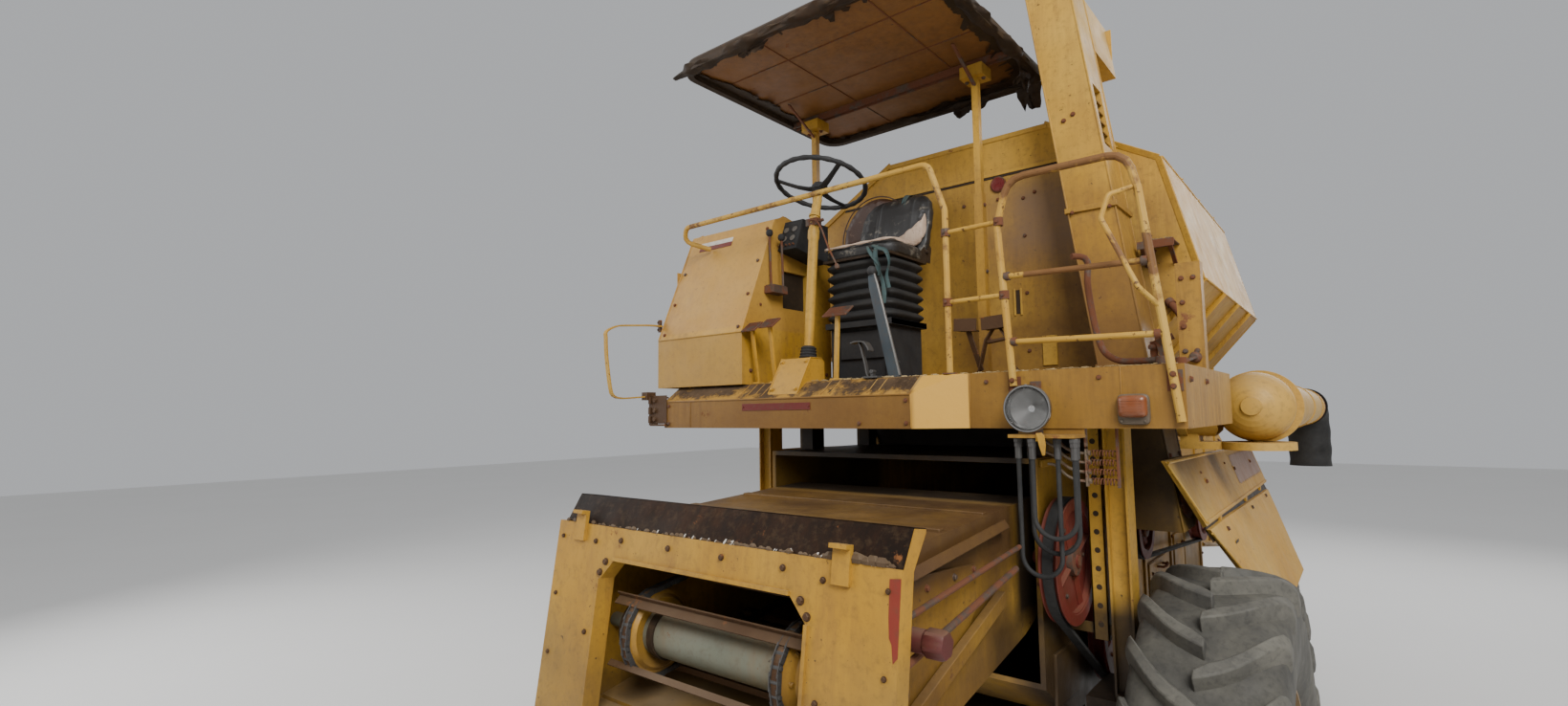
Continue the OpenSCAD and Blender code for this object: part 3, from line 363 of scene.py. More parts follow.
def glass_lens(name, base, rough=0.12, clear=0.6):
    n = Nodes(name)
    n.shader.inputs["Transmission Weight"].default_value = clear
    tone = n.mix(n.ramp(n.noise(14, 8), 0.4, 0.7, 0.0, 0.25), base, (0.3, 0.26, 0.2))
    n.bump(n.noise(120, 2), 0.05, 0.001)
    return n.surface(tone, n.ramp(n.noise(20, 6), 0.3, 0.8, rough, rough + 0.18))


MATERIALS = {}

DARK_STAIN = (0.05, 0.024, 0.012)

# Look, material's name, fresh paint, faded paint, wear, in some with painted light and shade
PAINTS = (
    ("yellow", "faded_yellow", (0.43, 0.222, 0.019), (0.495, 0.295, 0.05),
        dict(rust=0.65, grime=0.47, sooty_and_shaded=True)),
    ("yellow_low", "dirty_yellow", (0.4, 0.205, 0.018), (0.46, 0.265, 0.04),
        dict(rust=0.63, grime=0.44, darken_below=1.75, sooty_and_shaded=True)),
    ("plain_yellow", "small_parts_yellow", (0.45, 0.235, 0.021), (0.51, 0.305, 0.052),
        dict(rust=0.645, grime=0.5)),
    ("dome", "auger_yellow", (0.44, 0.245, 0.04), (0.515, 0.33, 0.09), dict(rust=0.66, grime=0.56)),
    ("canopy", "canopy_brown", (0.215, 0.096, 0.026), (0.175, 0.075, 0.022),
        dict(rust=0.63, grime=0.42, dust=0.7, stain=(0.1, 0.042, 0.015))),
    ("canopy_edge", "canopy_edge", (0.03, 0.021, 0.014), (0.05, 0.035, 0.023),
        dict(rust=0.66, dust=0.12, shine=0.15, stain=DARK_STAIN)),
    # The deck's films paint light and shade on the skirt: brighter on its slanted face, darker on its front
    # and on the faces beyond
    ("deck", "deck_paint_with_painted_light", (0.335, 0.17, 0.021), (0.39, 0.22, 0.042),
        dict(rust=0.61, grime=0.38, stain=(0.125, 0.058, 0.018), films=(((0.262, -0.62, 2.05),
        (0.446, -0.43, 2.31), 0.006, 0.85, 1.0, (0.6, 0.33, 0.05)),
        ((0.452, -0.62, 2.05), (0.62, -0.43, 2.31), 0.01, 0.45, 0.85, (0.17, 0.082, 0.014)),
        ((-1.4, -0.62, 2.05), (0.255, -0.555, 2.26), 0.02, 0.55, 0.92, (0.13, 0.058, 0.012)),
        ((0.8, -0.47, 2.05), (1.4, -0.42, 2.31), 0.1, 0.4, 0.8, (0.19, 0.095, 0.02)),))),
    ("soot", "soot", (0.026, 0.019, 0.013), (0.045, 0.031, 0.02), dict(rust=0.66, dust=0.1, shine=0.15,
        stain=DARK_STAIN)),
    ("dirt", "dry_dirt", (0.085, 0.055, 0.032), (0.14, 0.098, 0.06),
        dict(rust=0.9, dust=0.3, shine=0.1, stain=DARK_STAIN)),
    ("straw", "chaff", (0.38, 0.28, 0.13), (0.5, 0.39, 0.21), dict(rust=0.9, dust=0.2, shine=0.1)),
    ("red", "faded_red", (0.118, 0.015, 0.011), (0.15, 0.028, 0.019),
        dict(rust=0.74, dust=0.2, stain=DARK_STAIN)),
    ("patch", "red_patch", (0.185, 0.022, 0.014), (0.24, 0.052, 0.026), dict(rust=0.64, dust=0.2)),
    ("maroon", "maroon_paint", (0.085, 0.02, 0.018), (0.11, 0.034, 0.028),
        dict(rust=0.6, dust=0.3, stain=DARK_STAIN)),
    ("mauve", "faded_mauve", (0.25, 0.15, 0.11), (0.33, 0.215, 0.16),
        dict(rust=0.62, grime=0.44, dust=0.2)),
    ("drum_green", "drum_green", (0.12, 0.128, 0.092), (0.175, 0.178, 0.132), dict(rust=0.62, dust=0.5)),
    ("blue_grey", "lever_grey", (0.024, 0.036, 0.046), (0.05, 0.064, 0.072),
        dict(rust=0.66, dust=0.2, stain=DARK_STAIN)),
    ("rag", "strap_rag", (0.04, 0.075, 0.078), (0.085, 0.125, 0.12),
        dict(rust=0.9, dust=0.3, shine=0.1, stain=(0.035, 0.045, 0.04))),
    ("pale", "pale_paint", (0.58, 0.55, 0.48), (0.5, 0.46, 0.4), dict(rust=0.7, dust=0.2)),
    ("dial", "dial_face", (0.095, 0.088, 0.078), (0.13, 0.12, 0.105), dict(rust=0.75, dust=0.1)),
    ("lip", "burnt_lip", (0.012, 0.008, 0.006), (0.026, 0.017, 0.011),
        dict(rust=0.61, dust=0.0, shine=0.05, stain=(0.06, 0.024, 0.01))),
    ("torn", "torn_cover", (0.028, 0.021, 0.016), (0.06, 0.044, 0.031),
        dict(rust=0.9, dust=0.25, shine=0.05, stain=DARK_STAIN)),
    ("lamp_base", "lamp_base", (0.105, 0.082, 0.056), (0.16, 0.13, 0.095),
        dict(rust=0.56, dust=0.2, stain=DARK_STAIN)),
    ("dark_rust", "dark_rust", (0.055, 0.028, 0.014), (0.095, 0.052, 0.027),
        dict(rust=0.6, dust=0.25, shine=0.15, stain=DARK_STAIN)),
    ("foam", "seat_foam", (0.5, 0.37, 0.28), (0.56, 0.44, 0.34), dict(rust=0.9, dust=0.2, shine=0.1)),
)


def make_materials():
    m = MATERIALS
    for look, name, base, faded, wear in PAINTS:
        m[look] = old_paint(name, base, faded, **wear)
    m["rail"] = worn_rail("worn_rail", (0.4, 0.215, 0.03), (0.46, 0.28, 0.055))
    m["deck_dirt"] = trodden_dirt("trodden_dirt")
    m["brown"] = leather("worn_brown", (0.06, 0.026, 0.014), (0.13, 0.075, 0.045))
    m["steel"] = plain_metal("worn_steel", (0.32, 0.31, 0.29))
    m["rusty_steel"] = plain_metal("rusty_steel", (0.115, 0.078, 0.056), 0.62, 0.35, rust=0.44)
    m["worn_pipe"] = plain_metal("worn_pipe", (0.3, 0.235, 0.165), 0.42, 0.55, rust=0.52)
    m["iron"] = plain_metal("oily_iron", (0.09, 0.085, 0.08), 0.5, 0.4)
    m["chrome"] = plain_metal("lamp_rim", (0.55, 0.53, 0.5), 0.25, 1.0, rust=0.64)
    m["mirror"] = bowl_with_painted_shade("lamp_bowl")
    m["tyre"] = rubber("dusty_tyre", (0.036, 0.034, 0.03), (0.118, 0.11, 0.086), 5.0, 0.8)
    m["tyre_bars"] = rubber("worn_tread", (0.055, 0.052, 0.045), (0.15, 0.14, 0.112), 4.0, 0.9)
    m["rubber"] = rubber("black_rubber", (0.01, 0.01, 0.01), (0.04, 0.037, 0.032))
    m["plastic"] = rubber("black_plastic", (0.012, 0.012, 0.013), (0.045, 0.041, 0.036), 9.0, 0.4)
    m["leather"] = leather("seat_leather", (0.022, 0.021, 0.02), (0.14, 0.125, 0.1))
    m["amber"] = glass_lens("amber_lens", (0.19, 0.048, 0.01), 0.25, 0.05)
    m["tail"] = glass_lens("red_lens", (0.17, 0.012, 0.01), 0.2, 0.3)
    m["glass"] = clear_glass("clear_lens", (0.5, 0.5, 0.48), 0.02, 0.03)


# Shapes, measured in metres from the front axle, which is at y = 0


def frame_of(direction):
    """Two unit vectors square to a direction."""
    w = Vector(direction).normalized()
    u = w.cross(Vector((0.31, 0.9, 0.27))).normalized()
    return u, w.cross(u)


def turns(count):
    """The angles of a whole turn in equal steps."""
    return [2 * math.pi * k / count for k in range(count)]


def ring(centre, u, v, radius, sides):
    """Points on a circle in the plane of u and v."""
    centre = Vector(centre)
    return [centre + radius * (math.cos(a) * u + math.sin(a) * v) for a in turns(sides)]


def raised(row, height):
    """The same row, higher up."""
    return [p + Vector((0, 0, height)) for p in row]


def heading(path, i):
    """Direction of a path at its point i."""
    return (path[min(i + 1, len(path) - 1)] - path[max(i - 1, 0)]).normalized()


def smooth_path(points, step=0.03):
    """A Catmull-Rom curve through points, as points about a step apart."""
    points = [Vector(p) for p in points]
    padded = [2 * points[0] - points[1]] + points + [2 * points[-1] - points[-2]]
    path = []
    for a, b, c, d in zip(padded, padded[1:], padded[2:], padded[3:]):
        count = max(2, int((c - b).length / step))
        for k in range(count):
            t = k / count
            path.append(
                0.5 * (2 * b + (c - a) * t + (2 * a - 5 * b + 4 * c - d) * t * t
                    + (3 * b - a - 3 * c + d) * t**3)
            )
    return path + [points[-1]]


class Shape:
    """Corners and faces of one piece. A mark picks the material of the faces it is given with."""

    def __init__(self):
        self.points = []
        self.faces = []
        self.marks = []

    def add(self, points, faces, mark=0):
        start = len(self.points)
        self.points += [tuple(p) for p in points]
        self.faces += [[start + i for i in face] for face in faces]
        self.marks += [mark] * len(faces)

    def rows(self, rows, round_rows=True, caps=True, closed=False, mark=0):
        """Joins rows of points into a skin.

        round_rows joins each row's ends, closed the last row to the first.
        """
        n = len(rows[0])
        faces = []
        for r in range(len(rows) if closed else len(rows) - 1):
            s = (r + 1) % len(rows)
            for i in range(n if round_rows else n - 1):
                j = (i + 1) % n
                faces.append([r * n + i, r * n + j, s * n + j, s * n + i])
        if caps and not closed:
            faces.append(list(range(n))[::-1])
            faces.append([(len(rows) - 1) * n + i for i in range(n)])
        self.add([p for row in rows for p in row], faces, mark)

    def box(self, low, high, mark=0, turn=None):
        """A box; turn is a matrix that turns it about its middle."""
        low, high = Vector(low), Vector(high)
        middle = (low + high) / 2
        corners = [Vector((x, y, z)) for z in (low.z, high.z) for x, y in
                   ((low.x, low.y), (high.x, low.y), (high.x, high.y), (low.x, high.y))]
        if turn:
            corners = [middle + turn @ (c - middle) for c in corners]
        self.rows([corners[:4], corners[4:]], mark=mark)

    def prism(self, outline, axis, a, b, mark=0):
        """An outline in the two other coordinates, swept along axis 0, 1 or 2 from a to b."""
        def at(t):
            return [tuple(list(p[:axis]) + [t] + list(p[axis:])) for p in outline]
        self.rows([at(a), at(b)], mark=mark)

    def bar(self, a, b, radius, sides=12, mark=0):
        u, v = frame_of(Vector(b) - Vector(a))
        self.rows([ring(a, u, v, radius, sides), ring(b, u, v, radius, sides)], mark=mark)

    def strut(self, a, b, width, depth, mark=0, roll=0.0):
        """A straight rectangular bar from a to b."""
        u, v = frame_of(Vector(b) - Vector(a))
        c, s = math.cos(roll), math.sin(roll)
        u, v = c * u + s * v, c * v - s * u
        half = [(-width / 2, -depth / 2), (width / 2, -depth / 2), (width / 2, depth / 2),
                (-width / 2, depth / 2)]
        self.rows([[Vector(e) + p * u + q * v for p, q in half] for e in (a, b)], mark=mark)

    def tube(self, path, radius, sides=10, mark=0, closed=False):
        path = [Vector(p) for p in path]
        count = len(path)
        u = None
        rings = []
        for i, p in enumerate(path):
            along = (path[(i + 1) % count] - path[i - 1]).normalized() if closed else heading(path, i)
            u = frame_of(along)[0] if u is None else (u - u.dot(along) * along).normalized()
            size = radius(i / (count - 1)) if callable(radius) else radius
            rings.append(ring(p, u, along.cross(u), size, sides))
        self.rows(rings, mark=mark, closed=closed)

    def turned(self, profile, centre, axis, steps=48, mark=0, closed=True):
        """A closed profile of (radius, height along the axis), turned about the axis through centre."""
        w = Vector(axis).normalized()
        u, v = frame_of(w)
        centre = Vector(centre)
        rings = []
        for a in turns(steps):
            out = math.cos(a) * u + math.sin(a) * v
            rings.append([centre + r * out + h * w for r, h in profile])
        self.rows(rings, round_rows=closed, closed=True, mark=mark)

    def sleeve(self, inner, outer, low, high, *place, **settings):
        """A pipe or a ring of rectangular section."""
        self.turned([(inner, low), (outer, low), (outer, high), (inner, high)], *place, **settings)

    def disc(self, centre, axis, radius, thickness, sides=20, mark=0, chamfer=0.0):
        w = Vector(axis).normalized()
        u, v = frame_of(w)
        centre = Vector(centre)
        levels = [(0, radius), (thickness, radius)]
        if chamfer:
            levels = [(0, radius), (thickness - chamfer, radius), (thickness, radius - chamfer)]
        self.rows([ring(centre + h * w, u, v, r, sides) for h, r in levels], mark=mark)

    def bolt(self, at, out, size=0.011, mark=0):
        """A washer with a hexagonal head."""
        w = Vector(out).normalized()
        self.disc(Vector(at) - 0.002 * w, w, size * 1.25, 0.004, 12, mark)
        self.disc(Vector(at) + 0.002 * w, w, size, size * 0.75, 6, mark, chamfer=size * 0.15)

    def bolts(self, a, b, count, out, size=0.011, mark=0):
        """Bolts in a row from a to b."""
        a, b = Vector(a), Vector(b)
        for k in range(count):
            self.bolt(a.lerp(b, k / max(1, count - 1)), out, size, mark)

    def mirrored(self):
        """The same shape on the other side of the machine."""
        twin = Shape()
        twin.points = [(-x, y, z) for x, y, z in self.points]
        twin.faces = [face[::-1] for face in self.faces]
        twin.marks = list(self.marks)
        return twin

    def piece(self, name, body, *looks, smooth=35.0, bevel=0.0, subdivide=0):
        """Makes the object, in the row frame, and lets it ride on its body."""
        data = bpy.data.meshes.new(name)
        data.from_pydata([from_axle(*p) for p in self.points], [], self.faces)
        for look in looks:
            data.materials.append(MATERIALS[look])
        data.polygons.foreach_set("material_index", self.marks)
        edit = bmesh.new()
        edit.from_mesh(data)
        bmesh.ops.recalc_face_normals(edit, faces=edit.faces)
        edit.to_mesh(data)
        edit.free()
        data.update()
        if smooth:
            data.shade_smooth()
            data.set_sharp_from_angle(angle=math.radians(smooth))
        obj = bpy.data.objects.new(name, data)
        bpy.context.scene.collection.objects.link(obj)
        if bevel:
            edges = obj.modifiers.new("edges", "BEVEL")
            edges.width = bevel
            edges.segments = 2
            edges.limit_method = "ANGLE"
            edges.angle_limit = math.radians(40)
        if subdivide:
            finer = obj.modifiers.new("finer", "SUBSURF")
            finer.levels = finer.render_levels = subdivide
        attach(obj, body)
        return obj


def both(shape, name, body, *looks, **settings):
    """A piece on the left and its twin on the right; body may be a pair."""
    bodies = body if isinstance(body, tuple) else (body, body)
    shape.piece(name + "_left", bodies[0], *looks, **settings)
    shape.mirrored().piece(name + "_right", bodies[1], *looks, **settings)


# Hydraulic hoses: x of both ends, y and lowest z of each loop, as in part.scad

HOSE_TOP = 2.0457
HOSE_RADIUS = 0.0085
HOSES = [(0.655, 0.795, -0.492, 1.56), (0.69, 0.85, -0.466, 1.64), (0.715, 0.86, -0.518, 1.7)]


def make_hoses():
    for number, (x0, x1, y, low) in enumerate(HOSES):
        radius = (x1 - x0) / 2
        middle = (x0 + x1) / 2
        path = [(x0, y, HOSE_TOP + (low + radius - HOSE_TOP) * k / 8) for k in range(8)]
        for k in range(21):
            a = math.pi * (1 + k / 20)
            path.append((middle + radius * math.cos(a), y, low + radius + radius * math.sin(a)))
        path += [(x1, y, low + radius + (HOSE_TOP - low - radius) * k / 8) for k in range(1, 9)]
        path = [from_axle(*p) for p in path]
        curve = bpy.data.curves.new(f"hose_{number + 1}", "CURVE")
        curve.dimensions = "3D"
        curve.bevel_depth = HOSE_RADIUS
        curve.bevel_resolution = 4
        spline = curve.splines.new("POLY")
        spline.points.add(len(path) - 1)
        for point, p in zip(spline.points, path):
            point.co = (*p, 1)
        curve.materials.append(MATERIALS["rubber"])
        hose = bpy.data.objects.new(f"hose_{number + 1}", curve)
        bpy.context.scene.collection.objects.link(hose)
        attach(hose, "chassis")
        ends = Shape()
        for x in (x0, x1):
            ends.disc((x, y, HOSE_TOP - 0.075), UP, 0.0125, 0.042, 16)
            ends.disc((x, y, HOSE_TOP - 0.033), UP, 0.015, 0.016, 6)
            ends.disc((x, y, HOSE_TOP - 0.017), UP, 0.0165, 0.016, 6, chamfer=0.002)
        fitting = ends.piece(f"hose_fittings_{number + 1}", "chassis", "iron", bevel=0.001)
    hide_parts("hoses")


# Tyres

# Station along a lug: share of the way out, drop of its top from the tip radius, drop of its foot
LUG_STATIONS = [
    (-0.05, 0.0, 0.05), (0.12, 0.0, 0.052), (0.3, 0.001, 0.053), (0.48, 0.004, 0.056),
    (0.66, 0.009, 0.062), (0.8, 0.018, 0.072), (0.91, 0.034, 0.092), (0.975, 0.062, 0.118),
    (0.995, 0.098, 0.14), (0.985, 0.14, 0.152),
]


def lug(shape, turn, side, half, tip, sweep, width):
    """One bar of the chevron tread: it leaves the middle of the tread and bends back towards the shoulder."""
    stations = []
    for share, top, foot in LUG_STATIONS:
        lag = sweep * (share if share < 0.9 else 0.9 + 0.3 * (share - 0.9))
        lag -= 0.055 * math.sin(math.pi * max(0.0, min(share, 1.0)))
        stations.append((share * half, turn + lag, tip - top, tip - foot))
    rows = []
    for i, (out, angle, top, foot) in enumerate(stations):
        thick = width * (1.0 + 0.25 * min(1.0, max(0.0, out / half)))
        if i == 0:
            thick *= 0.75
        across_top = 0.5 * thick / top * 1.25
        across_foot = across_top + 0.02 / foot
        narrow = 0.95 if i in (0, len(stations) - 1) else 1.0
        # The foot lies further in than the top at the shoulder, so that the bar stands square on the tyre
        foot_out = min(out, 0.9 * half + 0.06 * (out - 0.9 * half)) if out > 0.9 * half else out
        row = []
        for lateral, radius, a in (
            (foot_out, foot, angle - across_foot), (out, top, angle - across_top * narrow),
            (out, top, angle + across_top * narrow), (foot_out, foot, angle + across_foot),
        ):
            row.append((side * lateral, radius * math.sin(a), radius * math.cos(a)))
        rows.append(row if side > 0 else row[::-1])
    shape.rows(rows, mark=1)


def carcass(tip, half, rim, depth):
    """The closed section of a tyre without its bars, as (radius, distance from the middle)."""
    outer = [(rim + 0.002, 0.8), (rim + 0.016, 0.855), (rim + 0.045, 0.9), (rim + 0.1, 0.955),
             (rim + 0.16, 0.975), (tip - 0.16, 0.97), (tip - 0.115, 0.945), (tip - 0.085, 0.9),
             (tip - 0.066, 0.8), (tip - depth - 0.006, 0.62), (tip - depth, 0.32)]
    inner = [(tip - depth - 0.03, 0.5), (tip - 0.13, 0.86), (rim + 0.08, 0.86), (rim + 0.002, 0.7)]
    section = [(r, s * half) for r, s in outer] + [(tip - depth + 0.001, 0.0)]
    section += [(r, -s * half) for r, s in reversed(outer)]
    section += [(r, -s * half) for r, s in reversed(inner)] + [(r, s * half) for r, s in inner]
    return section


def front_tyre():
    low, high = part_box("front_tyre_left")
    tip = (high[1] - low[1]) / 2 - 0.0015
    half = (high[0] - low[0]) / 2 - 0.001
    rim = 0.3905
    shape = Shape()
    shape.turned(carcass(tip, half, rim, 0.046), (0, 0, 0), LEFT, 96)
    bars = 21
    for side in (-1, 1):
        for k in range(bars):
            turn = 2 * math.pi * (k + (0.5 if side > 0 else 0.0)) / bars
            lug(shape, turn, side, half, tip, 0.3, 0.036)
    middle = Vector(((low[0] + high[0]) / 2, 0, (low[2] + high[2]) / 2))
    shape.points = [tuple(Vector(p) + middle) for p in shape.points]
    both(shape, "front_tread", ("front_wheel_left", "front_wheel_right"), "tyre", "tyre_bars", bevel=0.005,
            smooth=40)


def rear_tyre():
    low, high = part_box("rear_tyre_left")
    tip = (high[1] - low[1]) / 2 - 0.0015
    half = (high[0] - low[0]) / 2 - 0.001
    rim = 0.2355
    outer = [(rim + 0.002, 0.8), (rim + 0.014, 0.86), (rim + 0.06, 0.96), (rim + 0.12, 1.0),
            (tip - 0.075, 0.97), (tip - 0.035, 0.9), (tip - 0.012, 0.8), (tip - 0.01, 0.66),
            (tip - 0.034, 0.61), (tip - 0.034, 0.5), (tip - 0.004, 0.45), (tip - 0.003, 0.2),
            (tip - 0.03, 0.155), (tip - 0.03, 0.13), (tip, 0.08)]
    inner = [(tip - 0.055, 0.5), (tip - 0.09, 0.86), (rim + 0.07, 0.88), (rim + 0.002, 0.7)]
    section = [(r, s * half) for r, s in outer] + [(r, -s * half) for r, s in reversed(outer)]
    section += [(r, -s * half) for r, s in reversed(inner)] + [(r, s * half) for r, s in inner]
    shape = Shape()
    middle = Vector(((low[0] + high[0]) / 2, (low[1] + high[1]) / 2 - FRONT_AXLE_Y, (low[2] + high[2]) / 2))
    shape.turned(section, middle, LEFT, 80)
    # Blocks along the shoulders
    for side in (-1, 1):
        for a in turns(40):
            spread = 0.034
            rows = []
            for out, drop in ((0.79, 0.016), (0.915, 0.034), (0.972, 0.072)):
                row = []
                for lift, angle in ((-0.012, a - spread), (0.008, a - spread * 0.8),
                        (0.008, a + spread * 0.8), (-0.012, a + spread)):
                    radius = tip - drop + lift * (0.9 if out < 0.95 else 0.4)
                    lateral = side * half * min(0.999, out + (0.012 if lift > 0 else 0.0))
                    row.append(Vector((lateral, radius * math.sin(angle), radius * math.cos(angle)))
                            + middle)
                rows.append(row)
            shape.rows(rows, mark=1)
    both(shape, "rear_tread", ("rear_wheel_left", "rear_wheel_right"), "tyre", "tyre_bars", bevel=0.0025,
            smooth=40)


def make_tyres():
    front_tyre()
    rear_tyre()
    for side in ("left", "right"):
        for end in ("front", "rear"):
            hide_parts(f"{end}_tyre_{side}")


FRONT_WHEEL_X, FRONT_AXLE_Z = 1.19, 0.78
REAR_WHEEL_X, REAR_AXLE_Y, REAR_AXLE_Z = 1.01, 3.5, 0.48


def make_wheel_fittings():
    """Nuts, hub caps and valves of the four wheels."""
    front = Shape()
    x = FRONT_WHEEL_X - 0.03 + 0.014
    for a in turns(10):
        front.bolt((x, 0.15 * math.sin(a), FRONT_AXLE_Z + 0.15 * math.cos(a)), LEFT, 0.016)
    front.turned([(0.0001, 0.0), (0.088, 0.0), (0.088, 0.018), (0.07, 0.03), (0.0001, 0.034)],
            (x + 0.04, 0, FRONT_AXLE_Z), LEFT, 32)
    front.bar((x, 0.325, 0.8), (x + 0.06, 0.345, 0.8), 0.006, 8)
    both(front, "front_wheel_nuts", ("front_wheel_left", "front_wheel_right"), "rusty_steel", bevel=0.0015)
    rear = Shape()
    x = REAR_WHEEL_X - 0.02 + 0.014
    for a in turns(6):
        rear.bolt((x, REAR_AXLE_Y + 0.096 * math.sin(a), REAR_AXLE_Z + 0.096 * math.cos(a)), LEFT, 0.014)
    rear.turned([(0.0001, 0.0), (0.055, 0.0), (0.052, 0.02), (0.035, 0.032), (0.0001, 0.034)],
                (x + 0.05, REAR_AXLE_Y, REAR_AXLE_Z), LEFT, 28)
    both(rear, "rear_wheel_nuts", ("rear_wheel_left", "rear_wheel_right"), "rusty_steel", bevel=0.0015)


# Driver's seat

SEAT_X = -0.33
SEAT_TOP = 2.99  # above this the cushion's top is hollowed


def evened(obj, voxel):
    """Gives the piece an even mesh of squares of about one voxel."""
    obj.modifiers.clear()
    remesh = obj.modifiers.new("even", "REMESH")
    remesh.mode = "VOXEL"
    remesh.voxel_size = voxel
    keep_evaluated(obj)


def keep_evaluated(obj):
    """Replaces the piece's mesh by what its modifiers make of it."""
    looks = list(obj.data.materials)
    graph = bpy.context.evaluated_depsgraph_get()
    made = bpy.data.meshes.new_from_object(obj.evaluated_get(graph))
    obj.modifiers.clear()
    obj.data = made
    made.materials.clear()
    for look in looks:
        made.materials.append(look)
    made.shade_smooth()


def stuffed(obj, voxel=0.006, pressure=4.0, cap=0.01):
    """Blows the piece up as stuffed cloth; no point moves further than cap."""
    evened(obj, voxel)
    rest = [v.co.copy() for v in obj.data.vertices]
    cloth = obj.modifiers.new("cloth", "CLOTH")
    cloth.settings.use_pressure = True
    cloth.settings.uniform_pressure_force = pressure
    cloth.settings.effector_weights.gravity = 0.0
    cloth.settings.quality = 4
    cloth.point_cache.frame_start = 1
    cloth.point_cache.frame_end = 20
    for number in range(1, 21):
        bpy.context.scene.frame_set(number)
    keep_evaluated(obj)
    bpy.context.scene.frame_set(1)
    for vertex, old in zip(obj.data.vertices, rest):
        move = vertex.co - old
        if move.length > cap:
            vertex.co = old + move * (cap / move.length)
    finer = obj.modifiers.new("finer", "SUBSURF")
    finer.levels = finer.render_levels = 1


def rounded_rows(sections, sides, power, v=BACKWARD):
    """Closed rows from (centre, half size along x, half size along v)."""
    rows = []
    for centre, a, b in sections:
        row = []
        for t in turns(sides):
            c, s = math.cos(t), math.sin(t)
            row.append(Vector(centre) + a * math.copysign(abs(c) ** (2 / power), c) * Vector(LEFT)
                       + b * math.copysign(abs(s) ** (2 / power), s) * Vector(v))
        rows.append(row)
    return rows


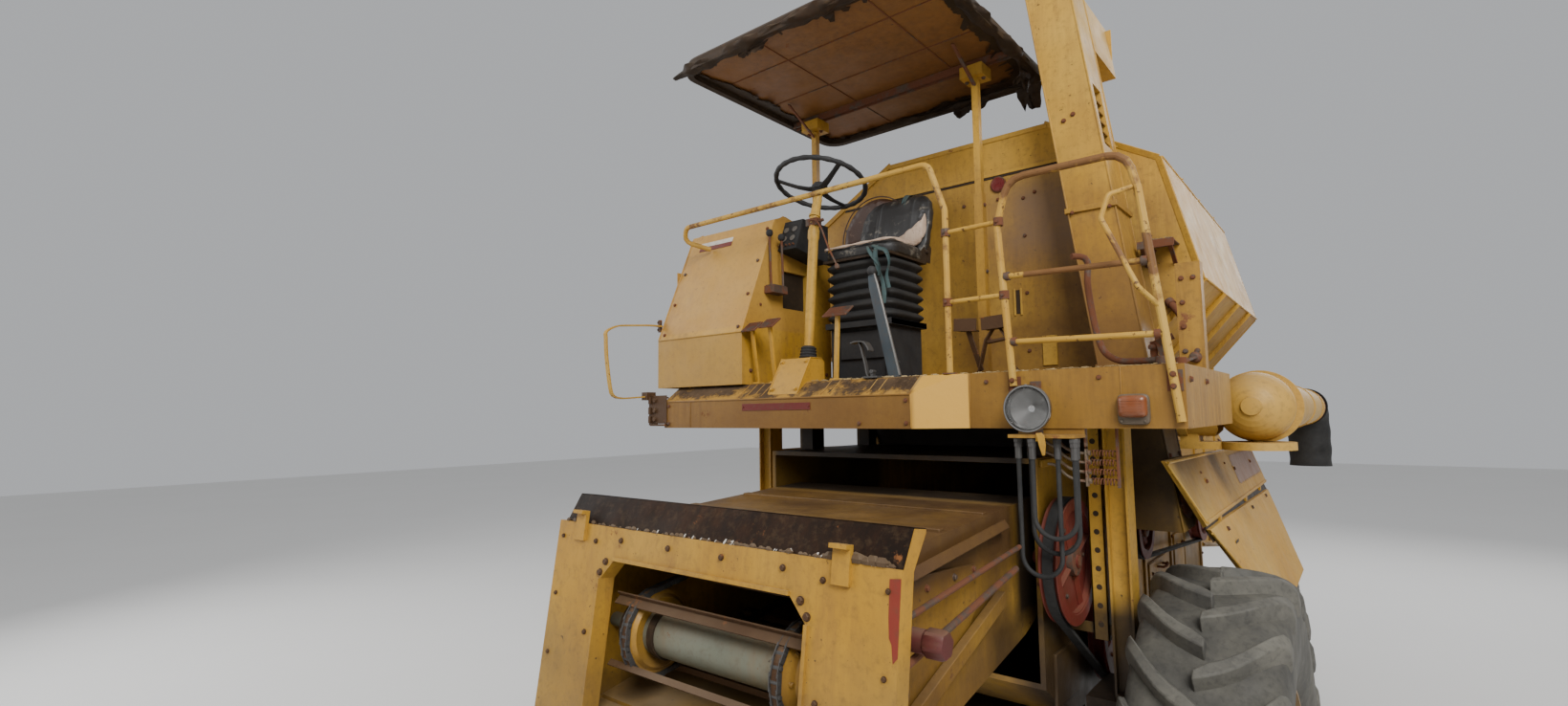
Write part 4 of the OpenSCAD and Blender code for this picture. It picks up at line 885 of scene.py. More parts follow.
def make_seat():
    # Seat part, crowned and a little hollow in the middle
    cushion = Shape()
    cushion.rows(rounded_rows([
        ((SEAT_X, 0.135, 2.938), 0.205, 0.17), ((SEAT_X, 0.14, 2.946), 0.22, 0.19),
        ((SEAT_X, 0.14, 2.975), 0.226, 0.194), ((SEAT_X, 0.14, 3.0), 0.22, 0.186),
        ((SEAT_X, 0.14, 3.014), 0.19, 0.155),
    ], 48, 5.0))
    seat = cushion.piece("seat_pad", "chassis", "leather", smooth=0)
    stuffed(seat, 0.007, 4.0, 0.009)
    for vertex in seat.data.vertices:
        p = vertex.co
        if p.z > SEAT_TOP:
            dip = math.exp(-(((p.x - SEAT_X) / 0.13) ** 2 + ((p.y - FRONT_AXLE_Y - 0.12) / 0.12) ** 2))
            p.z -= 0.016 * dip
            for seam in (-0.085, 0.085):
                p.z -= 0.005 * math.exp(-(((p.x - SEAT_X - seam) / 0.006) ** 2))
    # Back, hollowed for the driver, leaning to the rear
    back = Shape()
    sections = []
    for z, width, depth in (
        (2.972, 0.17, 0.03), (2.985, 0.2, 0.044), (3.05, 0.222, 0.05), (3.15, 0.228, 0.052),
        (3.24, 0.224, 0.05), (3.3, 0.208, 0.044), (3.34, 0.175, 0.034), (3.362, 0.13, 0.02),
    ):
        sections.append(((SEAT_X, 0.355 + 0.27 * (z - 2.97), z), width, depth))
    back.rows(rounded_rows(sections, 48, 3.2))
    rest = back.piece("seat_back", "chassis", "leather", smooth=0)
    for vertex in rest.data.vertices:
        vertex.co.y -= 0.045 * ((vertex.co.x - SEAT_X) / 0.228) ** 2
    stuffed(rest, 0.007, 4.0, 0.009)
    for vertex in rest.data.vertices:
        p = vertex.co
        for seam in (-0.105, 0.105):
            p.y += 0.006 * math.exp(-(((p.x - SEAT_X - seam) / 0.007) ** 2))
        wrinkle = math.sin(34 * p.z + 9 * p.x) * math.sin(21 * p.x - 13 * p.z)
        p.y += 0.0022 * wrinkle
    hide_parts("seat_cushion")
    # Foam that shows where the cover has split
    foam = Shape()
    path = smooth_path([(SEAT_X - 0.195, 0.285, 2.996), (SEAT_X - 0.1, 0.288, 3.01), (SEAT_X, 0.288, 3.03),
            (SEAT_X + 0.09, 0.284, 3.058), (SEAT_X + 0.16, 0.278, 3.08), (SEAT_X + 0.205, 0.286, 3.112),
            (SEAT_X + 0.22, 0.308, 3.16)], 0.012)
    rows = []
    for i, p in enumerate(path):
        t = i / (len(path) - 1)
        tall = 0.008 + 0.05 * math.sin(math.pi * min(1.0, t * 0.86) ** 2.2) ** 0.9
        deep = 0.012 + 0.01 * t * (1 - t) * 4
        rows.append([p + Vector((0.25 * deep * math.sin(a) * math.sin(9 * i), deep * math.cos(a),
                tall * math.sin(a) * (1 + 0.1 * math.sin(5 * i + 2 * a)))) for a in turns(16)])
    foam.rows(rows)
    # Its thin edge along the seat's front, where the piping has worn through
    path = smooth_path([(SEAT_X - 0.205, -0.02, 3.004), (SEAT_X - 0.185, -0.044, 3.005),
            (SEAT_X - 0.06, -0.05, 3.004), (SEAT_X + 0.08, -0.05, 3.006), (SEAT_X + 0.185, -0.044, 3.007),
            (SEAT_X + 0.212, -0.015, 3.01), (SEAT_X + 0.216, 0.12, 3.014), (SEAT_X + 0.205, 0.27, 3.05)],
            0.012)
    foam.rows([[p + Vector((0, (0.0055 + 0.0015 * math.sin(1.3 * i)) * math.cos(a),
            (0.0065 + 0.002 * math.sin(0.7 * i)) * math.sin(a))) for a in turns(10)]
            for i, p in enumerate(path)])
    torn = foam.piece("seat_foam", "chassis", "foam", smooth=60, subdivide=1)
    # Hinge plates between seat and back
    plates = Shape()
    for s in (-1, 1):
        plates.prism([(0.22, 2.944), (0.38, 2.944), (0.4, 3.03), (0.36, 3.06), (0.27, 2.985)], 0,
                SEAT_X + s * 0.198 - 0.003, SEAT_X + s * 0.198 + 0.003)
        plates.bolt((SEAT_X + s * 0.204, 0.34, 3.0), (s, 0, 0), 0.01)
    plates.box((SEAT_X - 0.205, -0.045, 2.93), (SEAT_X + 0.205, 0.33, 2.944))
    plates.piece("seat_hinge", "chassis", "soot", bevel=0.002)
    return seat, rest


BELLOWS_FOOT = 2.6105
BELLOWS_HEIGHT = 0.319


def make_bellows():
    """The folded rubber skirt round the seat's suspension, and the seat's base."""
    sections = []
    folds = 6
    steps = folds * 8
    for k in range(steps + 1):
        t = k / steps
        wave = 0.5 - 0.5 * math.cos(2 * math.pi * folds * t)
        size = 0.014 + 0.026 * wave**0.7
        sections.append(((SEAT_X, 0.14, BELLOWS_FOOT + BELLOWS_HEIGHT * t), 0.168 + size, 0.148 + size))
    shape = Shape()
    shape.rows(rounded_rows(sections, 56, 7.0))
    folds_piece = shape.piece("seat_bellows_folds", "chassis", "rubber", smooth=60)
    for vertex in folds_piece.data.vertices:
        p = vertex.co
        share = math.pi * (p.z - BELLOWS_FOOT) / BELLOWS_HEIGHT
        p.z += 0.006 * math.sin(11 * p.x + 5 * p.y) * math.sin(share)
    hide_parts("seat_bellows")
    base = Shape()
    base.box((SEAT_X - 0.2, -0.04, 2.5805), (SEAT_X + 0.2, 0.32, 2.61))
    for s in (-1, 1):
        base.box((SEAT_X + s * 0.165 - 0.012, -0.02, 2.32), (SEAT_X + s * 0.165 + 0.012, 0.3, 2.581))
        base.bolts((SEAT_X + s * 0.185, -0.02, 2.321), (SEAT_X + s * 0.185, 0.3, 2.321), 3, UP, 0.01)
    base.box((SEAT_X - 0.13, -0.005, 2.42), (SEAT_X + 0.13, 0.012, 2.56))
    base.piece("seat_base_fittings", "chassis", "plastic", bevel=0.003)


# Steering wheel


def make_steering_wheel():
    centre = Vector((-0.4, -0.24, 3.29))
    tilt = math.radians(17)
    axis = Vector((0, math.sin(tilt), math.cos(tilt)))
    u = Vector(LEFT)
    v = axis.cross(u)
    radius = 0.226
    shape = Shape()
    count = 96
    rows = []
    for k, p in enumerate(ring(centre, u, v, radius, count)):
        out = (p - centre).normalized()
        grip = 0.0125 + 0.0013 * math.cos(2 * math.pi * 24 * k / count)
        rows.append([p + grip * (math.cos(b) * out + 0.95 * math.sin(b) * axis) for b in turns(12)])
    shape.rows(rows, closed=True)
    for a in (90, 210, 330):
        a = math.radians(a)
        out = math.cos(a) * u + math.sin(a) * v
        side = axis.cross(out)
        rows = []
        for r, drop, half, thick in ((0.022, 0.03, 0.02, 0.006), (0.055, 0.034, 0.017, 0.006),
                (0.11, 0.028, 0.014, 0.006), (0.165, 0.015, 0.012, 0.006), (0.205, 0.004, 0.012, 0.006),
                (0.222, 0.0, 0.013, 0.005)):
            middle = centre + r * out - drop * axis
            rows.append([middle + x * half * side + y * thick * axis
                    for x, y in ((-1, -0.5), (-0.7, -1), (0.7, -1), (1, -0.5), (1, 0.5), (0.7, 1),
                    (-0.7, 1), (-1, 0.5))])
        shape.rows(rows)
    shape.turned([(0.0001, -0.058), (0.024, -0.058), (0.026, -0.046), (0.04, -0.038), (0.042, -0.02),
            (0.036, -0.008), (0.03, -0.004), (0.028, -0.01), (0.0001, -0.009)], centre, axis, 40)
    wheel = shape.piece("steering_wheel_rim", "hand_wheel", "plastic", smooth=50)
    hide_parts("steering_wheel")
    foot = Vector((-0.4, -0.365, 2.4))
    top = centre - 0.19 * axis
    along = (top - foot).normalized()
    length = (top - foot).length
    sleeve = Shape()
    sleeve.turned([(0.0232, 0.02), (0.034, 0.02), (0.034, 0.028), (0.0245, 0.036), (0.0245, length - 0.12),
            (0.029, length - 0.11), (0.029, length - 0.07), (0.0245, length - 0.06), (0.0245, length),
            (0.0232, length)], foot, along, 32)
    sleeve.turned([(0.0205, 0.0), (0.0285, 0.0), (0.0285, 0.01), (0.0225, 0.016), (0.0225, 0.1),
            (0.0205, 0.1)], top, axis, 32)
    sleeve.piece("steering_column_sleeve", "chassis", "yellow", smooth=45)
    gear = Shape()
    # Clamp with its lever, and a bent rod that hangs from it
    side = top - 0.03 * axis
    gear.box(side + Vector((-0.034, -0.02, -0.018)), side + Vector((0.034, 0.02, 0.018)))
    gear.bar(side + Vector((0.03, 0.0, 0.0)), side + Vector((0.06, 0.0, 0.004)), 0.008, 12)
    gear.tube(smooth_path([side + Vector((-0.005, -0.03, 0.005)), side + Vector((0.035, -0.03, 0.0)),
            side + Vector((0.065, -0.025, -0.045)), side + Vector((0.1, -0.02, -0.14)),
            side + Vector((0.145, -0.015, -0.235))], 0.02), 0.0045, 8)
    gear.turned([(0.0001, -0.014), (0.009, -0.012), (0.013, 0.0), (0.009, 0.012), (0.0001, 0.014)],
                side + Vector((0.147, -0.015, -0.242)), (0.3, 0, -1), 16)
    gear.piece("column_fittings", "chassis", "rusty_steel", smooth=45, bevel=0.001)
    boot = Shape()
    boot.turned([(0.0232, 0.0)] + [(0.04 - 0.001 * k + (0.005 if k % 2 else 0.0), 0.003 + 0.007 * k)
            for k in range(9)] + [(0.0232, 0.064)], foot + 0.001 * along, along, 32)
    boot.piece("steering_column_boot", "chassis", "plastic", smooth=50)


# Feeder house

DRUM_Y, DRUM_Z = -1.345, 1.39
PIVOT_Y, PIVOT_Z = -0.2, 1.57
FRAME_TILT = math.radians(8.5)
FRAME_MIDDLE = Vector((0, -1.5, 1.4))


def on_frame(x, y, z):
    """A point of the tilted front frame: x across, y out of its middle plane to the rear, z up along it."""
    c, s = math.cos(FRAME_TILT), math.sin(FRAME_TILT)
    return FRAME_MIDDLE + Vector((x, y * c + z * s, z * c - y * s))


def placed_on_frame(shape):
    shape.points = [tuple(on_frame(*p)) for p in shape.points]
    return shape


def make_feeder_frame():
    lip = Shape()
    lip.rows([[(x, y, z) for y, z in ((-0.0245, 0.352), (-0.0225, 0.35), (0.024, 0.4555), (0.0215, 0.4565))]
              for x in (-0.699, 0.734)])
    lip.rows([[(x, y, z) for y, z in ((0.0245, 0.4558), (0.086, 0.4558), (0.086, 0.4578), (0.0225, 0.4578))]
              for x in (-0.699, 0.734)])
    placed_on_frame(lip).piece("feeder_lip", "feeder", "lip")
    # Crumbs of dried dirt on the ledge in front of the lip
    crumbs = Shape()
    for _ in range(150):
        x = random.uniform(-0.69, 0.72)
        size = random.choice((0.003, 0.005, 0.009)) * random.uniform(0.7, 1.4) * (1.8 if x > 0.45 else 1.0)
        at = Vector((x, random.uniform(-0.029, -0.024), 0.355 + size * 0.3))
        turn = random.uniform(0, 2)
        rows = [[at + Vector((r * math.cos(t + turn), 0.5 * r * math.sin(t + turn)
                * random.uniform(0.8, 1.1), h)) for t in (0, 1.26, 2.51, 3.77, 5.03)]
                for r, h in ((size * 0.9, -size * 0.3), (size * 1.2, size * 0.2), (size * 0.5, size * 0.8))]
        crumbs.rows(rows)
    placed_on_frame(crumbs).piece("feeder_crumbs", "feeder", "dirt", smooth=0)
    bolts = Shape()
    for x, count, size in ((-0.7, 4, 0.0062), (-0.5, 3, 0.0075), (0.5, 3, 0.0075), (0.7, 4, 0.0062)):
        bolts.bolts((x, -0.031, -0.31), (x, -0.031, 0.3), count, FORWARD, size)
    bolts.bolts((-0.36, -0.031, 0.315), (0.36, -0.031, 0.315), 4, FORWARD, 0.008)
    bolts.bolts((-0.43, -0.031, 0.238), (-0.455, -0.031, 0.2), 2, FORWARD, 0.01)
    bolts.bolts((0.43, -0.031, 0.238), (0.455, -0.031, 0.2), 2, FORWARD, 0.01)
    placed_on_frame(bolts).piece("feeder_bolts", "feeder", "dark_rust")
    # Rests of red paint at the left end, and the rusty welds along the opening's corners
    patch = Shape()
    line = [(0.702, 0.33), (0.7345, 0.334), (0.7345, 0.15), (0.722, 0.135), (0.716, 0.178), (0.708, 0.192),
            (0.704, 0.24)]
    patch.rows([[(x, -0.0312, z) for x, z in line], [(x, -0.0303, z) for x, z in line]])
    placed_on_frame(patch).piece("feeder_red_patch", "feeder", "patch")
    welds = Shape()
    for s in (-1, 1):
        path = [(s * (0.47 + 0.0015 * math.sin(1.9 * k)), -0.0258, 0.165 - 0.42 * k / 30)
                for k in range(31)]
        welds.tube(path, lambda t: 0.0035 + 0.0012 * math.sin(47 * t), 8)
    welds.tube([(-0.37 + 0.74 * k / 50, -0.0258, 0.268 + 0.0012 * math.sin(2.3 * k)) for k in range(51)],
            0.0038, 8)
    placed_on_frame(welds).piece("feeder_welds", "feeder", "rusty_steel")
    # Side gussets, catches and the long latch rods beside the house
    side = Shape()
    for s in (-1, 1):
        x = s * 0.6005
        side.prism([(-1.452, 1.16), (-1.1, 1.22), (-0.78, 1.5), (-0.78, 1.64), (-1.05, 1.66),
                (-1.46, 1.69)], 0, x - 0.006, x + 0.006)
        side.prism([(-1.44, 1.2), (-1.3, 1.21), (-1.28, 1.3), (-1.34, 1.36), (-1.44, 1.36)], 0,
                s * 0.66 - 0.005, s * 0.66 + 0.005)
        side.strut((s * 0.625, -1.45, 1.24), (s * 0.625, -0.62, 1.5), 0.05, 0.03)
        side.strut((s * 0.612, -1.44, 1.66), (s * 0.612, -0.55, 1.735), 0.035, 0.035)
        side.box((min(s * 0.6, s * 0.7), -1.45, 1.285), (max(s * 0.6, s * 0.7), -1.43, 1.36))
    side.piece("feeder_gussets", "feeder", "yellow_low", bevel=0.003)
    fittings = Shape()
    for s in (-1, 1):
        fittings.turned([(0.024, 0.0), (0.085, 0.0), (0.085, 0.008), (0.06, 0.016), (0.05, 0.034),
                (0.024, 0.036)], (s * 0.607, DRUM_Y, DRUM_Z), (s, 0, 0), 28)
        for k in range(4):
            a = math.pi / 4 + k * math.pi / 2
            fittings.bolt((s * 0.615, DRUM_Y + 0.068 * math.cos(a), DRUM_Z + 0.068 * math.sin(a)),
                    (s, 0, 0), 0.009)
        fittings.bar((s * 0.655, -1.46, 1.58), (s * 0.655, -0.52, 1.66), 0.009, 10)
        fittings.bar((s * 0.7, -1.42, 1.5), (s * 0.672, -0.6, 1.6), 0.011, 10)
        for y in (-1.3, -1.12, -0.94, -0.8):
            fittings.bolt((s * 0.607, y, 1.625), (s, 0, 0), 0.009)
            fittings.bolt((s * 0.607, y, 1.27 + 0.5 * max(0, y + 1.1)), (s, 0, 0), 0.009)
    fittings.piece("feeder_fittings", "feeder", "rusty_steel", bevel=0.0015)
    roof = Shape()
    for y, z in ((-1.25, 1.748), (-0.95, 1.761), (-0.62, 1.775)):
        roof.box((-0.575, y - 0.018, z - 0.004), (0.575, y + 0.018, z + 0.012))
    for x in (-0.25, 0.25):
        roof.box((x - 0.08, -1.13, 1.75), (x + 0.08, -1.05, 1.778))
    roof.piece("feeder_roof_ribs", "feeder", "yellow_low", bevel=0.003)


def make_feeder_drum():
    at = Vector((0, DRUM_Y, DRUM_Z))
    tube = Shape()
    tube.turned([(0.0785, -0.405), (0.0785, 0.405), (0.03, 0.406), (0.03, -0.406)], at, LEFT, 40)
    tube.bar(at - Vector((0.6, 0, 0)), at + Vector((0.6, 0, 0)), 0.0255, 20)
    tube.bar(Vector((0.5903, -1.375, 1.56)), Vector((0.745, -1.375, 1.56)), 0.0222, 20)
    tube.piece("drum_tube", "feeder", "drum_green", smooth=40)
    wheels = Shape()
    dark = Shape()
    for s in (-1, 1):
        wheels.turned([(0.079, 0.3 + 0.018), (0.116, 0.306), (0.128, 0.318), (0.1395, 0.319),
                (0.1395, 0.341), (0.128, 0.342), (0.114, 0.352), (0.096, 0.362), (0.083, 0.398),
                (0.079, 0.4)], at, (s, 0, 0), 44)
        for a in turns(8):
            spot = at + Vector((s * 0.355, 0.104 * math.sin(a), 0.104 * math.cos(a)))
            wheels.bolt(spot, (s, 0, 0), 0.008)
        dark.sleeve(0.08, 0.094, 0.404, 0.43, at, (s, 0, 0), 32)
        dark.sleeve(0.079, 0.086, 0.262, 0.292, at, (s, 0, 0), 32)
    drum = wheels.piece("drum_wheels", "feeder", "yellow_low", smooth=40)
    dark.piece("drum_bands", "feeder", "soot", smooth=40)
    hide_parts("feeder_drum")
    # Splined end of the header drive
    coupling = Shape()
    section = [(0.034 + (0.0035 if k % 4 < 2 else 0.0), a) for k, a in enumerate(turns(24))]
    mid = Vector((0, -1.375, 1.56))
    rows = []
    for x, scale in ((0.741, 0.86), (0.748, 1.0), (0.788, 1.0), (0.799, 0.88)):
        rows.append([mid + Vector((x, scale * r * math.cos(a), scale * r * math.sin(a)))
                for r, a in section])
    coupling.rows(rows)
    coupling.sleeve(0.0225, 0.031, 0.7, 0.74, mid, LEFT, 24)
    coupling.piece("header_coupling", "feeder", "maroon", smooth=35)
    # Rollers and side plates of the two chains
    chain = Shape()
    way = math.atan2(PIVOT_Z - DRUM_Z, PIVOT_Y - DRUM_Y)
    radius = 0.1445
    run = math.hypot(PIVOT_Z - DRUM_Z, PIVOT_Y - DRUM_Y)
    links = 84
    whole = 2 * (run + math.pi * radius)
    for k in range(links):
        t = whole * k / links
        if t < math.pi * radius:
            a = way + math.pi / 2 + t / radius
            y, z, slope = DRUM_Y + radius * math.cos(a), DRUM_Z + radius * math.sin(a), a - math.pi / 2
        elif t < math.pi * radius + run:
            d = t - math.pi * radius
            a = way - math.pi / 2
            y = DRUM_Y + radius * math.cos(a) + d * math.cos(way)
            z = DRUM_Z + radius * math.sin(a) + d * math.sin(way)
            slope = way
        elif t < 2 * math.pi * radius + run:
            a = way - math.pi / 2 + (t - math.pi * radius - run) / radius
            y, z, slope = PIVOT_Y + radius * math.cos(a), PIVOT_Z + radius * math.sin(a), a - math.pi / 2
        else:
            d = t - 2 * math.pi * radius - run
            a = way + math.pi / 2
            y = PIVOT_Y + radius * math.cos(a) - d * math.cos(way)
            z = PIVOT_Z + radius * math.sin(a) - d * math.sin(way)
            slope = way
        turn = Matrix.Rotation(slope, 3, "X")
        for x in (-0.33, 0.33):
            for off in (-0.0155, 0.0155) if k % 2 else (-0.0125, 0.0125):
                chain.box((x + off - 0.0015, y - 0.026, z - 0.009),
                        (x + off + 0.0015, y + 0.026, z + 0.009), turn=turn)
            chain.bar((x - 0.019, y, z), (x + 0.019, y, z), 0.0065, 8)
    chain.piece("feeder_links", "feeder", "iron", smooth=0)


# Driver's platform


def deck_slope(y):
    """Height of the deck's sloping front strip."""
    return 2.213 + (y + 0.57) * 0.077 / 0.108


def make_platform():
    edge = Shape()
    line = [(-1.195, -0.57), (0.26, -0.57), (0.45, -0.44), (1.195, -0.44)]
    # Turned-in lower flange and welded joints of the skirt
    for a, b in zip(line, line[1:]):
        a, b = Vector((*a, 2.0795)), Vector((*b, 2.0795))
        out = Vector((b.y - a.y, a.x - b.x, 0)).normalized()
        edge.rows([[p - out * 0.002, p - out * 0.04, p - out * 0.04 + Vector((0, 0, 0.004)),
                    p - out * 0.002 + Vector((0, 0, 0.004))] for p in (a, b)])
    for x, y, top in ((0.261, -0.5705, 2.212), (0.451, -0.4405, 2.288)):
        edge.bar((x, y, 2.082), (x, y, top), 0.0035, 8)
    for x, y, top in ((1.0, -0.4405, 2.286), (-1.0, -0.5705, 2.21)):
        edge.bar((x, y, 2.082), (x, y, top), 0.0025, 8)
    # Rolled edge where the strip begins, and the guides of its slots
    slot_places = (-0.655, -0.56, -0.165, 0.075)
    edge.tube([(-1.193, -0.569, 2.2125), (0.258, -0.569, 2.2125)], 0.0045, 8)
    for x in slot_places:
        for side in (-0.024, 0.024):
            edge.strut((x + side, -0.556, deck_slope(-0.556) + 0.001),
                    (x + side, -0.47, deck_slope(-0.47) + 0.001), 0.006, 0.004)
    edge.piece("platform_edges", "chassis", "deck", bevel=0.001)
    # The slots are dark sheets on the strip, painted shade for the holes
    slots = Shape()
    for x in slot_places:
        corners = ((-0.552, 0.0004), (-0.472, 0.0004), (-0.472, 0.0016), (-0.552, 0.0016))
        slots.rows([[(x + dx, y, deck_slope(y) + lift) for y, lift in corners] for dx in (-0.018, 0.018)])
    slots.piece("platform_slots", "chassis", "soot")
    # Trodden dirt that has caked on the strip, thicker towards the floor
    cake = Shape()
    grid = []
    across = 150
    for j in range(9):
        y = -0.5665 + 0.1025 * j / 8
        row = []
        for i in range(across + 1):
            x = -1.192 + 1.44 * i / across
            thick = 0.0 if j in (0, 8) or i in (0, across) else 0.0008 + 0.003 * (j / 8) * random.random()
            row.append((x, y, deck_slope(y) + 0.0006 + thick))
        grid.append(row)
    cake.rows(grid, round_rows=False, caps=False)
    cake.rows([[(x, y, deck_slope(y) + 0.0001) for x, y, z in row] for row in (grid[0], grid[-1])],
            round_rows=False, caps=False)
    cake.piece("platform_dirt", "chassis", "deck_dirt", smooth=60)
    # Bare red plate on the skirt
    plate = Shape()
    plate.box((-0.64, -0.5722, 2.16), (-0.235, -0.5703, 2.192))
    plate.bolts((-0.632, -0.5722, 2.176), (-0.243, -0.5722, 2.176), 2, FORWARD, 0.003)
    plate.piece("bare_plate", "chassis", "red", bevel=0.0004)
    bolts = Shape()
    for x, z in ((-1.16, 2.19), (-1.16, 2.1), (0.02, 2.1), (0.24, 2.19), (0.24, 2.1)):
        bolts.bolt((x, -0.571, z), FORWARD, 0.007)
    bolts.bolts((0.52, -0.441, 2.255), (0.93, -0.441, 2.255), 2, FORWARD, 0.007)
    bolts.bolts((1.196, -0.36, 2.24), (1.196, -0.06, 2.24), 2, LEFT, 0.009)
    bolts.bolts((-1.196, -0.36, 2.24), (-1.196, 0.46, 2.24), 4, RIGHT, 0.009)
    bolts.piece("platform_bolts", "chassis", "rusty_steel")
    # Bolts, a hinge and a worn linkage on the upright channel of the landing
    gate = Shape()
    gate.bolts((1.125, -0.0005, 2.36), (1.125, -0.0005, 2.64), 4, FORWARD, 0.008)
    gate.bolts((1.165, -0.0005, 2.36), (1.165, -0.0005, 2.64), 2, FORWARD, 0.008)
    gate.turned([(0.0001, 0.0), (0.02, 0.0), (0.022, 0.006), (0.018, 0.02), (0.01, 0.026), (0.0001, 0.026)],
            (1.158, -0.001, 2.335), FORWARD, 20)
    gate.strut((1.158, -0.016, 2.335), (1.15, -0.23, 2.305), 0.02, 0.008, roll=1.2)
    gate.sleeve(0.0001, 0.018, -0.016, 0.016, (1.15, -0.235, 2.3065), UP, 20)
    gate.piece("landing_linkage", "chassis", "rusty_steel", bevel=0.001)
    # Floor sheet with raised ribs
    floor = Shape()
    for k in range(13):
        x = -0.62 + 0.07 * k
        if -0.55 < x < -0.11:
            continue
        floor.box((x - 0.006, -0.42, 2.2902), (x + 0.006, 0.2, 2.2935))
    for k in range(9):
        x = 0.35 + 0.09 * k
        floor.box((x - 0.006, -0.4, 2.2902), (x + 0.006, 0.16, 2.2935))
    floor.piece("platform_ribs", "chassis", "deck", bevel=0.001)
    # Chaff and dust that has gathered in the corners
    chaff = Shape()
    for _ in range(420):
        x = random.uniform(-0.68, 1.15)
        y = (-0.452 + random.expovariate(18)) if x < 0.25 else (-0.425 + random.expovariate(14))
        if y > 0.2 or (y < -0.44 and x > 0.2):
            continue
        a = random.uniform(0, math.pi)
        long = random.uniform(0.008, 0.03)
        p = Vector((x, y, 2.2925 + random.uniform(0, 0.004)))
        d = Vector((math.cos(a), math.sin(a), random.uniform(-0.1, 0.1))) * long
        if abs(p.y + d.y) > 0.43 and x > 0.25:
            continue
        chaff.bar(p, p + d, 0.0012, 4)
    chaff.piece("platform_chaff", "chassis", "straw", smooth=0)
    # Cross-members, pipes and the sooty frame under the floor
    under = Shape()
    for x in (-0.95, -0.45, 0.05, 0.55, 1.02):
        under.box((x - 0.02, -0.4, 2.1), (x + 0.02, 0.24, 2.155))
        under.box((x - 0.03, -0.4, 2.262), (x + 0.03, 0.24, 2.27))
        under.box((x - 0.003, -0.4, 2.1), (x + 0.003, 0.24, 2.268))
    under.box((-1.17, -0.42, 2.085), (0.2, -0.38, 2.13))
    under.piece("platform_beams", "chassis", "soot", bevel=0.002)


